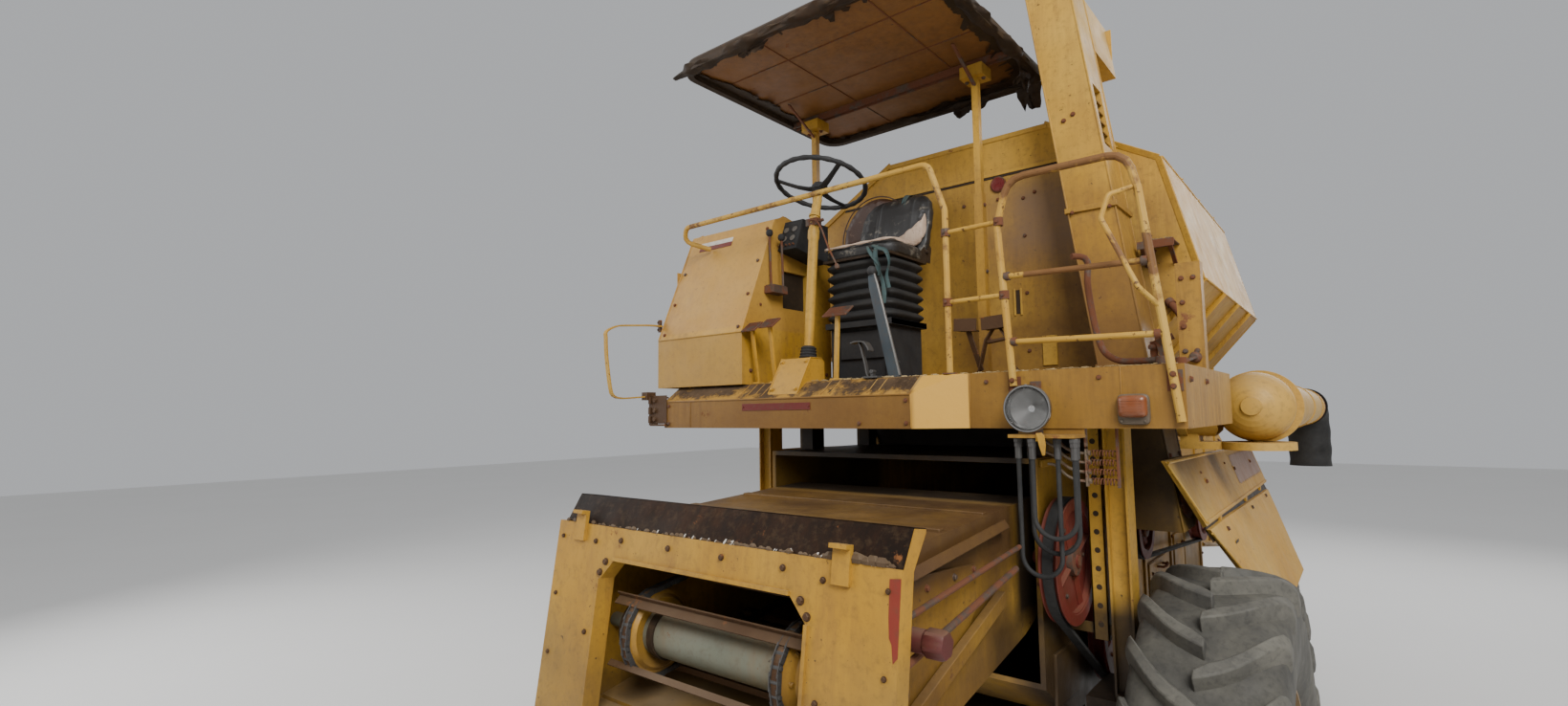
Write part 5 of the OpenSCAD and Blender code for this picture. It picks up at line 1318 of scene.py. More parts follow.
def make_pedals():
    """Pedals and the two hand levers, with their pads and knobs, and the foot latch."""
    steel, pads, dark = Shape(), Shape(), Shape()
    for fx, fy, tx, ty, tz, width in ((-0.655, -0.44, -0.655, -0.48, 2.57, 0.09),
            (-0.55, -0.43, -0.55, -0.47, 2.58, 0.09), (-0.2, -0.42, -0.17, -0.44, 2.6, 0.13)):
        steel.box((fx - 0.0215, fy - 0.0215, 2.2905), (fx + 0.0215, fy + 0.0215, 2.2995))
        steel.strut((fx, fy, 2.295), (tx, ty, tz - 0.004), 0.026, 0.012)
        turn = Matrix.Rotation(math.radians(35), 3, "X")
        pads.box((tx - width / 2, ty - 0.0395, tz - 0.004), (tx + width / 2, ty + 0.0395, tz + 0.003),
                turn=turn)
        for k in range(7):
            off = turn @ Vector((0, -0.033 + 0.011 * k, 0.0045))
            pads.box(Vector((tx - width / 2 + 0.006, ty - 0.002, tz - 0.0015)) + off,
                     Vector((tx + width / 2 - 0.006, ty + 0.002, tz + 0.0015)) + off, turn=turn)
    steel.piece("pedal_stems", "chassis", "yellow", bevel=0.0015)
    worn = pads.piece("pedal_pads", "chassis", "rusty_steel", bevel=0.001)
    dark.box((0.079, -0.421, 2.2905), (0.121, -0.379, 2.2995))
    lean = Vector((0.972, 0, 0.234))
    for left, right, front, mark in ((-0.03, 0.021, -0.4, 0), (0.0205, 0.029, -0.402, 1)):
        dark.rows([[Vector(end) + lean * (side * size) + Vector((0, front + push, 0))
                for side, push in ((left, -0.006), (right, -0.006), (right, 0.006), (left, 0.006))]
                for end, size in (((0.096, 0, 2.295), 1.0), ((0.0, 0, 2.7), 0.84),
                ((-0.01, 0, 2.752), 0.6))], mark=mark)
    dark.bar((-0.008, -0.4, 2.745), (-0.011, -0.4, 2.76), 0.01, 12)
    dark.bar((0.07, -0.4, 2.4), (0.075, -0.33, 2.36), 0.006, 8)
    dark.piece("hand_lever", "chassis", "blue_grey", "steel", bevel=0.0015)
    latch = Shape()
    pad = [(-0.083, 2.446), (-0.06, 2.452), (-0.028, 2.451), (-0.01, 2.444), (0.006, 2.42), (0.01, 2.408)]
    stem = [(-0.046, 2.449), (-0.036, 2.425), (-0.028, 2.395), (-0.016, 2.35), (-0.01, 2.315),
            (0.0, 2.2915)]
    for path, half in ((pad, 0.022), (stem, 0.011)):
        rows = []
        for k, (x, z) in enumerate(path):
            a, b = path[max(0, k - 1)], path[min(len(path) - 1, k + 1)]
            across = Vector((-(b[1] - a[1]), 0, b[0] - a[0])).normalized() * 0.003
            middle = Vector((x, -0.455, z))
            side = Vector((0, half, 0))
            rows.append([middle - across - side, middle - across + side, middle + across + side,
                    middle + across - side])
        latch.rows(rows)
    latch.box((-0.02, -0.478, 2.2905), (0.052, -0.43, 2.2985))
    latch.bar((0.018, -0.47, 2.318), (0.018, -0.44, 2.318), 0.009, 12)
    latch.box((0.012, -0.466, 2.296), (0.024, -0.444, 2.322))
    latch.piece("foot_latch", "chassis", "iron", bevel=0.001)
    knobs = Shape()
    knobs.turned([(0.0001, -0.022), (0.01, -0.021), (0.019, -0.012), (0.0215, 0.0), (0.018, 0.013),
            (0.009, 0.02), (0.0001, 0.0215)], (-0.01, -0.4, 2.77), UP, 24)
    rods = Shape()
    for x, y, z in ((-0.69, -0.3, 3.08), (-0.655, -0.245, 3.06)):
        rods.bar((x, y + 0.01, 2.79), (x, y, z), 0.0065, 10)
        knobs.turned([(0.0001, -0.019), (0.008, -0.019), (0.0165, -0.012), (0.0195, 0.0), (0.0165, 0.012),
                (0.009, 0.018), (0.0001, 0.0195)], (x, y, z), UP, 24)
    rods.box((-0.7045, -0.3295, 2.7605), (-0.641, -0.2155, 2.7995))
    rods.box((-0.7, -0.325, 2.7995), (-0.645, -0.22, 2.804))
    rods.piece("console_levers", "chassis", "rusty_steel", bevel=0.0015)
    knobs.piece("lever_knobs", "chassis", "plastic", smooth=60)
    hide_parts("controls")


def make_console():
    plate = Shape()
    # Slope direction of the console's front: from (-0.500, 2.550) up to (-0.235, 3.170)
    along = Vector((0, 0.265, 0.62)).normalized()
    out = Vector((0, -0.62, 0.265)).normalized()

    def slope(x, up, lift):
        return Vector((x, -0.5, 2.55)) + up * along + lift * out

    # A bare badge: a red and a pale band
    for low, high, mark in ((0.56, 0.588, 0), (0.588, 0.616, 1)):
        plate.rows([[slope(x, low, 0.0006), slope(x, high, 0.0006), slope(x, high, 0.0024),
                slope(x, low, 0.0024)] for x in (-1.235, -0.985)], mark=mark)
    plate.piece("console_badge", "chassis", "red", "pale")
    trim = Shape()
    for x in (-1.326, -0.709):
        trim.tube([slope(x, 0.0, 0.0), slope(x, 0.33, 0.0), slope(x, 0.655, 0.0),
                Vector((x, -0.165, 3.1975)), Vector((x, 0.235, 3.1245))], 0.0045, 8)
    trim.bar((-1.326, -0.5005, 2.55), (-0.709, -0.5005, 2.55), 0.0045, 8)
    # Side door with its frame on the outer side
    trim.box((-1.3335, -0.36, 2.4), (-1.33, 0.16, 2.95))
    for y in (-0.34, 0.14):
        trim.bolts((-1.334, y, 2.43), (-1.334, y, 2.92), 3, RIGHT, 0.008)
    trim.piece("console_trim", "chassis", "yellow", bevel=0.0015)
    bolts = Shape()
    for x in (-1.29, -0.74):
        for up in (0.03, 0.22, 0.42, 0.62):
            bolts.bolt(slope(x, up, 0.0), out, 0.008)
    bolts.bolts((-0.7045, -0.44, 2.36), (-0.7045, 0.2, 2.36), 4, LEFT, 0.008)
    bolts.bolts((-0.7045, -0.36, 2.7), (-0.7045, -0.2, 3.02), 3, LEFT, 0.006)
    bolts.piece("console_bolts", "chassis", "rusty_steel")
    # Black instrument panel with round dials; its face follows the wedge in part.scad
    panel = Shape()
    face_up = Vector((0, 0.065, 0.165)).normalized()
    face_out = Vector((0, -0.165, 0.065)).normalized()
    origin = Vector((0, -0.215, 3.0))
    panel.rows([[(x, -0.2165, 2.9995), (x, -0.151, 3.1665), (x, 0.0715, 3.1665), (x, 0.0715, 2.959)]
            for x in (-0.711, -0.5835)])
    r = 0.022
    for up in (0.125, 0.07):
        for x in (-0.68, -0.625):
            dial = origin + Vector((x, 0, 0)) + up * face_up
            panel.turned([(r * 0.8, 0.002), (r * 0.84, 0.005), (r, 0.005), (r * 1.05, 0.0), (r * 0.8, 0.0)],
                    dial, face_out, 24)
            panel.disc(dial, face_out, r * 0.81, 0.0022, 24, mark=1)
    for k in range(5):
        panel.disc(origin + Vector((-0.7 + 0.024 * k, 0, 0)) + 0.025 * face_up, face_out, 0.005, 0.012, 10,
                mark=2)
    panel.piece("instrument_panel", "chassis", "plastic", "dial", "rusty_steel", bevel=0.001)
    # Frame and dark inside of the opening in the console's inner side; the dark inside is a sheet of painted
    # shade
    hole = Shape()
    hole.box((-0.7265, -0.182, 2.698), (-0.7225, 0.022, 2.902))
    hole.piece("console_opening", "chassis", "soot")
    column = Shape()
    face = Vector((0, -0.168, 0.105)).normalized()
    for x in (-0.485, -0.345):
        for y, z in ((-0.534, 2.256), (-0.452, 2.386)):
            column.bolt((x, y - 0.0005, z), face, 0.008)
    for x in (-0.5005, -0.3295):
        column.tube([(x, -0.545, 2.235), (x, -0.44, 2.4025), (x, -0.35, 2.4025)], 0.003, 6)
    column.piece("steering_box_cover", "chassis", "yellow", bevel=0.001)


# Canopy


def canopy_outline(inset, step=0.03):
    """Points round the canopy with round corners."""
    r = max(0.02, 0.11 - inset * 0.5)
    x0, x1, y0, y1 = -1.01 + inset, 0.43 - inset, -0.65 + inset, 0.72 - inset
    points = []
    for cx, cy, start in ((x0 + r, y0 + r, 180), (x1 - r, y0 + r, 270), (x1 - r, y1 - r, 0),
            (x0 + r, y1 - r, 90)):
        for k in range(7):
            a = math.radians(start + 15 * k)
            points.append(Vector((cx + r * math.cos(a), cy + r * math.sin(a), 0)))
    path = []
    for a, b in zip(points, points[1:] + points[:1]):
        count = max(1, int((b - a).length / step))
        path += [a.lerp(b, k / count) for k in range(count)]
    return path


def make_canopy():
    top = Shape()
    rows = []
    for inset, z in ((0.03, 3.9085), (0.004, 3.903), (0.0, 3.915), (0.0, 3.945), (0.012, 3.965),
            (0.05, 3.9735), (0.3, 3.9748)):
        rows.append(raised(canopy_outline(inset), z))
    # Each row is sampled again to the same number of points
    count = 200
    even = [even_row(row, count) for row in rows]
    top.rows(even, caps=False)
    top.faces.append([(len(even) - 1) * count + k for k in range(count)])
    top.marks.append(0)
    top.rows([raised(even_row(canopy_outline(0.03), count), 3.909),
              raised(even_row(canopy_outline(0.034), count), 3.96)], caps=False)
    roof = top.piece("canopy_shell", "chassis", "canopy_edge", smooth=50)
    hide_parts("canopy")
    # Underside boards between the battens
    boards = Shape()
    xs = (-0.975, -0.52, 0.075, 0.395)
    ys = (-0.615, -0.335, 0.02, 0.36, 0.685)
    for x0, x1 in zip(xs, xs[1:]):
        for y0, y1 in zip(ys, ys[1:]):
            gap = 0.003
            sag = random.uniform(0.0, 0.006)
            n = 8
            grid = []
            for j in range(n + 1):
                v = j / n
                grid.append([Vector((x0 + gap + (x1 - x0 - 2 * gap) * i / n,
                        y0 + gap + (y1 - y0 - 2 * gap) * v, 3.942 - sag * math.sin(math.pi * i / n)
                        * math.sin(math.pi * v))) for i in range(n + 1)])
            boards.rows(grid, round_rows=False, caps=False)
            boards.rows([raised(row, 0.008) for row in grid], round_rows=False, caps=False)
            rim = grid[0] + [row[-1] for row in grid[1:]] + grid[-1][-2::-1] + [row[0]
                    for row in grid[-2:0:-1]]
            boards.rows([rim, raised(rim, 0.008)], caps=False)
    boards.piece("canopy_boards", "chassis", "canopy", smooth=50)
    # Remains of the lining: a ragged dark border under the boards
    ragged = Shape()
    outer = even_row(canopy_outline(0.028, 0.012), 400)
    middle = Vector((-0.29, 0.035, 0))
    inner = []
    reach = 0.05
    for k, p in enumerate(outer):
        reach += random.uniform(-0.012, 0.012)
        corner = 1.6 if abs(p.x + 0.29) > 0.5 and abs(p.y - 0.035) > 0.5 else 1.0
        reach = min(0.085 * corner, max(0.012, reach))
        inner.append(p + (middle - p).normalized() * reach)
    z = 3.9345
    ragged.rows([raised(outer, z), raised(inner, z - 0.004), raised(inner, z - 0.0015),
            raised(outer, z + 0.003)], caps=False, closed=True)
    for _ in range(46):
        k = random.randrange(len(outer))
        p = inner[k]
        q = p + (middle - p).normalized() * random.uniform(0.01, 0.05)
        side = random.uniform(0.01, 0.03)
        drop = random.uniform(0.002, 0.022)
        across = Vector((-(q - p).y, (q - p).x, 0)).normalized() * side
        a, b, c, d = p + across, p - across, q - across * 0.5, q + across * 0.4
        ragged.rows([raised((a, b), z - 0.003), raised((d, c), z - 0.003 - drop),
                raised((d, c), z - 0.0015 - drop), raised((a, b), z - 0.0015)], round_rows=False,
                caps=False, closed=True)
    ragged.piece("canopy_lining_rags", "chassis", "soot", smooth=30)
    frame_bars = Shape()
    for y in ys[1:-1]:
        frame_bars.box((-0.98, y - 0.003, 3.9385), (0.4, y + 0.003, 3.9445))
    for x in xs[1:-1]:
        frame_bars.box((x - 0.003, -0.62, 3.9385), (x + 0.003, 0.69, 3.9445))
    for y in (0.285, 0.319):
        frame_bars.box((-0.985, y - 0.004, 3.9005), (0.405, y + 0.004, 3.9385))
    for x in (-0.83, 0.2):
        frame_bars.box((x - 0.05, -0.6, 3.9255), (x + 0.05, -0.57, 3.941))
        frame_bars.strut((x, 0.302, 3.8), (x, 0.05, 3.93), 0.02, 0.008)
    frame_bars.piece("canopy_battens", "chassis", "rusty_steel", bevel=0.001)
    bolts = Shape()
    for x in (-0.83, 0.2):
        for dx in (-0.045, 0.045):
            bolts.bolt((x + dx, 0.3, 3.839), DOWN, 0.009)
        bolts.bolts((x - 0.023, 0.302, 2.5), (x - 0.023, 0.302, 3.18), 3, RIGHT, 0.008)
        bolts.bolts((x + 0.023, 0.302, 2.5), (x + 0.023, 0.302, 3.18), 3, LEFT, 0.008)
    bolts.piece("canopy_bolts", "chassis", "rusty_steel")
    return roof


def even_row(path, count):
    """The same closed line with a given number of points."""
    path = path + [path[0]]
    lengths = [0.0]
    for a, b in zip(path, path[1:]):
        lengths.append(lengths[-1] + (b - a).length)
    row = []
    i = 0
    for k in range(count):
        want = lengths[-1] * k / count
        while lengths[i + 1] < want:
            i += 1
        t = (want - lengths[i]) / max(1e-9, lengths[i + 1] - lengths[i])
        row.append(path[i].lerp(path[i + 1], t))
    return row


# Grain tank and elevator


def elevator_x(z):
    """Inner edge of the elevator's case at a height."""
    return 0.675 + 0.1374 * (2.82 - z)


TANK = [(0.6, 1.9603), (0.77, 2.3), (1.13, 2.715), (0.985, 3.31), (0.47, 3.615)]
TANK_FRONT = 0.55
TANK_REAR = 2.4


def make_tank():
    seams = Shape()
    # Folded joints along each edge of the sides, and flanges round the front and rear walls
    for x, z in TANK[1:]:
        for s in (-1, 1):
            seams.bar((s * x, TANK_FRONT + 0.004, z), (s * x, TANK_REAR - 0.004, z), 0.006, 8)
    for y, out in ((TANK_FRONT, -1), (TANK_REAR, 1)):
        for (xa, za), (xb, zb) in zip(TANK, TANK[1:]):
            for s in (-1, 1):
                seams.strut((s * (xa - 0.014), y + out * 0.003, za),
                        (s * (xb - 0.014), y + out * 0.003, zb), 0.028, 0.01)
        seams.strut((-0.47, y + out * 0.003, 3.603), (0.47, y + out * 0.003, 3.603), 0.024, 0.01)
        if out > 0:
            seams.box((-0.93, y - 0.005, 3.3), (0.93, y + 0.005, 3.312))
        seams.box((-0.8, y + out * 0.003 - 0.004, 2.292), (0.8, y + out * 0.003 + 0.004, 2.312))
    for s in (-1, 1):
        for y in (1.02, 1.5, 1.98):
            for (xa, za), (xb, zb), width, thick in ((*TANK[1:3], 0.045, 0.012), (*TANK[3:5], 0.03, 0.01)):
                seams.strut((s * xa, y, za), (s * xb, y, zb), width, thick)
    for s in (-1, 1):
        seams.box((s * 0.475 - 0.008, 0.565, 3.588), (s * 0.475 + 0.008, 2.385, 3.622))
    seams.piece("tank_seams", "chassis", "plain_yellow", bevel=0.0015)
    bolts = Shape()
    for s in (-1, 1):
        for y in [0.64 + 0.22 * k for k in range(8)]:
            bolts.bolt((s * 0.89, y, 3.368), (s * 0.5, 0, 0.86), 0.008)
            bolts.bolt((s * 0.84, y, 2.382), (s * 0.75, 0, -0.65), 0.008)
    for x in [-0.78 + 0.195 * k for k in range(9)]:
        bolts.bolt((x, TANK_FRONT - 0.001, 3.27), FORWARD, 0.008)
        bolts.bolt((x, TANK_REAR + 0.001, 3.27), BACKWARD, 0.008)
    for z in (2.45, 2.75, 3.05, 3.25):
        for x in (-0.36, 0.33):
            bolts.bolt((x, TANK_FRONT - 0.001, z), FORWARD, 0.008)
    bolts.piece("tank_bolts", "chassis", "rusty_steel")
    # Lapped joint of the front wall's two sheets, two small slots in it, and the reflector beside the post;
    # the slots are dark sheets, painted shade for the holes
    front = Shape()
    front.box((-0.8, TANK_FRONT - 0.0065, 3.401), (0.8, TANK_FRONT - 0.0003, 3.418))
    front.box((-0.79, TANK_FRONT - 0.003, 3.388), (0.79, TANK_FRONT - 0.0003, 3.4015), mark=1)
    for x, z0, z1 in ((0.1, 2.6, 2.722), (0.281, 2.645, 2.77)):
        front.box((x - 0.011, TANK_FRONT - 0.0022, z0), (x + 0.011, TANK_FRONT - 0.0003, z1), mark=1)
        for side in (-1, 1):
            front.box((x + side * 0.017 - 0.005, TANK_FRONT - 0.006, z0 - 0.008),
                    (x + side * 0.017 + 0.005, TANK_FRONT - 0.0003, z1 + 0.008))
    for x0, x1, z0, z1 in ((-0.62, -0.56, 2.36, 2.5), (0.4, 0.47, 2.37, 2.52)):
        front.box((x0, TANK_FRONT - 0.01, z0), (x1, TANK_FRONT - 0.0003, z1))
    front.piece("tank_front_joint", "chassis", "plain_yellow", "soot", bevel=0.001)
    reflector = Shape()
    reflector.disc((0.2, TANK_FRONT - 0.0005, 3.35), FORWARD, 0.043, 0.01, 32, chamfer=0.003)
    reflector.disc((0.2, TANK_FRONT - 0.01, 3.35), FORWARD, 0.036, 0.004, 32, mark=1)
    reflector.piece("tank_reflector", "chassis", "rusty_steel", "tail")
    # Ladder rungs and a handle on the rear wall
    ladder = Shape()
    for x in (-0.35, -0.05):
        ladder.bar((x, TANK_REAR + 0.045, 2.86), (x, TANK_REAR + 0.045, 3.5), 0.011, 10)
        for z in (2.88, 3.48):
            ladder.bar((x, TANK_REAR, z), (x, TANK_REAR + 0.045, z), 0.01, 10)
    for k in range(3):
        ladder.bar((-0.35, TANK_REAR + 0.045, 2.98 + 0.2 * k), (-0.05, TANK_REAR + 0.045, 2.98 + 0.2 * k),
                0.01, 10)
    ladder.piece("tank_ladder", "chassis", "rusty_steel")


def make_elevator():
    w = 0.2
    seams = Shape()
    for x_off in (0.0, w):
        for y in (0.25, 0.5):
            seams.strut((elevator_x(1.645) + x_off, y, 1.645), (elevator_x(4.175) + x_off, y, 4.175), 0.007,
                    0.007)
    # Flange where the leg's two halves join, and the foot's cover
    for z in (2.33, 3.05):
        x = elevator_x(z)
        seams.box((x - 0.012, 0.238, z - 0.012), (x + w + 0.012, 0.512, z + 0.012))
    seams.piece("elevator_seams", "chassis", "yellow", bevel=0.0015)
    bolts = Shape()
    for x, z in ((0.06, 3.48), (0.105, 3.5)):
        bolts.bolt((elevator_x(z) + x, 0.249, z), FORWARD, 0.009)
    for z in (2.318, 3.038):
        for x in (0.02, 0.18):
            bolts.bolt((elevator_x(z) + x, 0.2375, z), FORWARD, 0.007)
    for z in (1.75, 1.95, 2.15):
        for y in (0.28, 0.47):
            bolts.bolt((elevator_x(z) + w + 0.001, y, z), (1, 0, 0.14), 0.008)
    bolts.piece("elevator_bolts", "chassis", "rusty_steel")
    foot = Shape()
    foot.turned([(0.026, 0.0), (0.075, 0.0), (0.075, 0.01), (0.045, 0.022), (0.026, 0.024)],
            (elevator_x(1.76) + w, 0.375, 1.76), (1, 0, 0.13), 28)
    foot.bar((elevator_x(1.76) + w - 0.01, 0.375, 1.76), (elevator_x(1.76) + w + 0.045, 0.375, 1.766),
            0.018, 16)
    foot.piece("elevator_bearing", "chassis", "rusty_steel")
    # A dark sheet inside the elevator's case: painted shade
    inside = Shape()
    inside.rows([[(elevator_x(z) + w - 0.0385, y, z) for y in (0.3115, 0.4385)] for z in (3.351, 3.649)],
            round_rows=False, caps=False)
    inside.piece("elevator_inside", "chassis", "soot", smooth=0)
    head = Shape()
    x = elevator_x(4.0)
    head.box((x - 0.006, 0.895, 3.93), (x + w, 0.9035, 4.176))
    head.bolts((x + 0.02, 0.9035, 3.96), (x + 0.02, 0.9035, 4.14), 3, BACKWARD, 0.008)
    head.piece("elevator_head_cover", "chassis", "yellow", bevel=0.0015)


def make_rail_fittings():
    """Clamps, feet and bolts of the guard rails."""
    y = -0.4543
    clamps = Shape()
    for p in ((0.37, -0.44, 2.865), (0.598, y, 2.865), (0.37, -0.44, 2.58), (0.61, y, 2.58)):
        clamps.sleeve(0.0131, 0.0185, -0.016, 0.016, p, UP, 20)
        clamps.bolt((p[0], p[1] - 0.018, p[2]), FORWARD, 0.007)
    for x, z in ((0.604, 2.65), (1.118, 2.64), (0.621, 2.4), (1.146, 2.39)):
        clamps.sleeve(0.0112, 0.0165, -0.01, 0.01, (x + (0.02 if x < 0.8 else -0.02), y, z), LEFT, 16)
    for x, z in ((0.632, 2.235), (1.165, 2.235)):
        clamps.box((x - 0.024, -0.4425, z - 0.035), (x + 0.024, -0.4405, z + 0.035))
        clamps.bolts((x, -0.469, z - 0.02), (x, -0.469, z + 0.02), 2, FORWARD, 0.008)
    clamps.disc((0.37, -0.44, 2.2905), UP, 0.03, 0.006, 20)
    clamps.piece("rail_clamps", "chassis", "rusty_steel", bevel=0.001)


# Lamps


def make_lamps():
    at = Vector((0.71, -0.4403, 2.15))
    out = Vector(FORWARD)
    shell = Shape()
    shell.turned([(0.0001, 0.0), (0.029, 0.0), (0.0295, 0.033), (0.045, 0.04), (0.068, 0.056),
            (0.08, 0.078), (0.0845, 0.09), (0.0855, 0.098), (0.084, 0.1045), (0.078, 0.1045),
            (0.077, 0.098), (0.074, 0.088), (0.0001, 0.046)], at, out, 48)
    lamp = shell.piece("headlight_shell", "chassis", "iron", smooth=40)
    rim = Shape()
    rim.turned([(0.0765, 0.09), (0.0858, 0.09), (0.086, 0.1), (0.083, 0.1048), (0.0785, 0.1048),
            (0.0765, 0.101)], at, out, 48)
    rim.box((0.706, -0.5435, 2.232), (0.714, -0.532, 2.2365))
    rim.piece("headlight_rim", "chassis", "chrome", smooth=40)
    bowl = Shape()
    profile = [(0.0001, 0.05), (0.02, 0.052), (0.045, 0.06), (0.062, 0.072), (0.072, 0.086),
            (0.0765, 0.096)]
    bowl.turned(profile, at, out, 48, closed=False)
    bowl.turned([(r * 0.96 + 0.00005, h + 0.0015) for r, h in profile], at, out, 48, closed=False)
    bowl.turned([(0.0001, 0.056), (0.008, 0.056), (0.01, 0.064), (0.01, 0.074), (0.006, 0.08),
            (0.0001, 0.081)], at, out, 20, mark=1)
    bowl.piece("headlight_bowl", "chassis", "mirror", "glass", smooth=60)
    lens = Shape()
    steps, rings_n = 48, 9
    rows = []
    for j in range(rings_n):
        r = 0.077 * (j + 0.02) / (rings_n - 1 + 0.02)
        row = []
        for a in turns(steps):
            x, z = r * math.cos(a), r * math.sin(a)
            flute = 0.0012 * math.cos(x * 2 * math.pi / 0.011)
            bulge = 0.0985 + 0.0045 * math.cos(r / 0.077 * math.pi / 2) + flute * 0.5
            row.append(at + Vector((x, -bulge, z)))
        rows.append(row)
    lens.rows(rows, caps=False)
    lens.rows([[p + Vector((0, 0.003, 0)) for p in row] for row in rows], caps=False)
    lens.piece("headlight_lens", "chassis", "glass", smooth=60)
    amber = Shape()
    # Turn lamp: base, domed lens with round corners and shallow flutes
    middle = Vector((1.0375, -0.4403, 2.1425))
    for sections, mark in (
        (((0.0, 0.05, 0.052), (0.012, 0.05, 0.052), (0.017, 0.046, 0.048)), 0),
        (((0.0165, 0.045, 0.037), (0.03, 0.044, 0.036), (0.038, 0.04, 0.032), (0.0425, 0.031, 0.024),
            (0.044, 0.015, 0.011)), 1),
    ):
        lift = 0.01 if mark else 0.0
        amber.rows(rounded_rows([(middle + Vector((0, -d, lift)), a, b) for d, a, b in sections], 48, 6.0,
                UP), mark=mark)
    for k in range(5):
        z = middle.z - 0.008 + 0.009 * k
        amber.tube([(middle.x - 0.034, -0.4828, z), (middle.x, -0.4838, z), (middle.x + 0.034, -0.4828, z)],
                0.0014, 6, mark=1)
    amber.bolts(middle + Vector((-0.036, -0.017, -0.04)), middle + Vector((0.036, -0.017, -0.04)), 2,
            FORWARD, 0.004)
    amber.piece("turn_lamp", "chassis", "lamp_base", "amber", smooth=50)
    rear = Shape()
    for s in (-1, 1):
        rear.box((s * 0.54 - 0.06, 4.6803, 1.25), (s * 0.54 + 0.06, 4.694, 1.35))
        rear.box((s * 0.54 - 0.053, 4.693, 1.257), (s * 0.54 + 0.01, 4.7135, 1.343), mark=1)
        rear.box((s * 0.54 + 0.014, 4.693, 1.257), (s * 0.54 + 0.053, 4.7135, 1.343), mark=2)
    rear.piece("rear_lamps", "chassis", "iron", "tail", "amber", bevel=0.003)
    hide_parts("lamps")
    bracket = Shape()
    bracket.box((0.69, -0.444, 2.05), (0.73, -0.4403, 2.25))
    bracket.bolts((0.71, -0.4445, 2.225), (0.71, -0.4445, 2.238), 1, FORWARD, 0.008)
    bracket.piece("headlight_bracket", "chassis", "rusty_steel", bevel=0.001)


# Drives on the left side

PULLEYS = [(-0.2, 1.57, 0.225), (0.35, 1.23, 0.25), (0.9, 1.56, 0.15), (2.45, 1.48, 0.2)]


def make_pulley_fittings():
    hubs = Shape()
    for y, z, r in PULLEYS:
        for s in (-1, 1):
            x = s * 0.661
            hubs.turned([(0.0255, 0.0), (0.085, 0.0), (0.085, 0.007), (0.062, 0.012), (0.052, 0.024),
                    (0.0255, 0.026)], (x, y, z), (s, 0, 0), 28)
            for k in range(4):
                a = math.pi / 4 + k * math.pi / 2
                hubs.bolt((x + s * 0.008, y + 0.07 * math.cos(a), z + 0.07 * math.sin(a)), (s, 0, 0), 0.008)
        hubs.turned([(0.0255, 0.712), (0.058, 0.712), (0.055, 0.752), (0.0255, 0.754)], (0, y, z), LEFT, 28)
        hubs.disc((0.7595, y, z), LEFT, 0.021, 0.004, 6)
        for k in range(6):
            a = k * math.pi / 3
            hubs.bolt((0.7285, y + 0.62 * r * math.cos(a), z + 0.62 * r * math.sin(a)), LEFT, 0.008)
    hubs.piece("pulley_hubs", "chassis", "rusty_steel", bevel=0.001)
    rims = Shape()
    for y, z, r in PULLEYS:
        rims.turned([(r - 0.03, 0.686), (r + 0.011, 0.686), (r + 0.012, 0.69), (r + 0.001, 0.7015),
                (r - 0.03, 0.7015)], (0, y, z), LEFT, 64)
        rims.turned([(r - 0.03, 0.7385), (r + 0.001, 0.7385), (r + 0.012, 0.75), (r + 0.011, 0.754),
                (r - 0.03, 0.754)], (0, y, z), LEFT, 64)
        for k in range(4):
            a = 0.4 + k * math.pi / 2
            rims.strut((0.7305, y + 0.06 * math.cos(a), z + 0.06 * math.sin(a)),
                       (0.7305, y + (r - 0.036) * math.cos(a), z + (r - 0.036) * math.sin(a)), 0.012, 0.03)
    rims.piece("pulley_flanges", "chassis", "red", bevel=0.001)


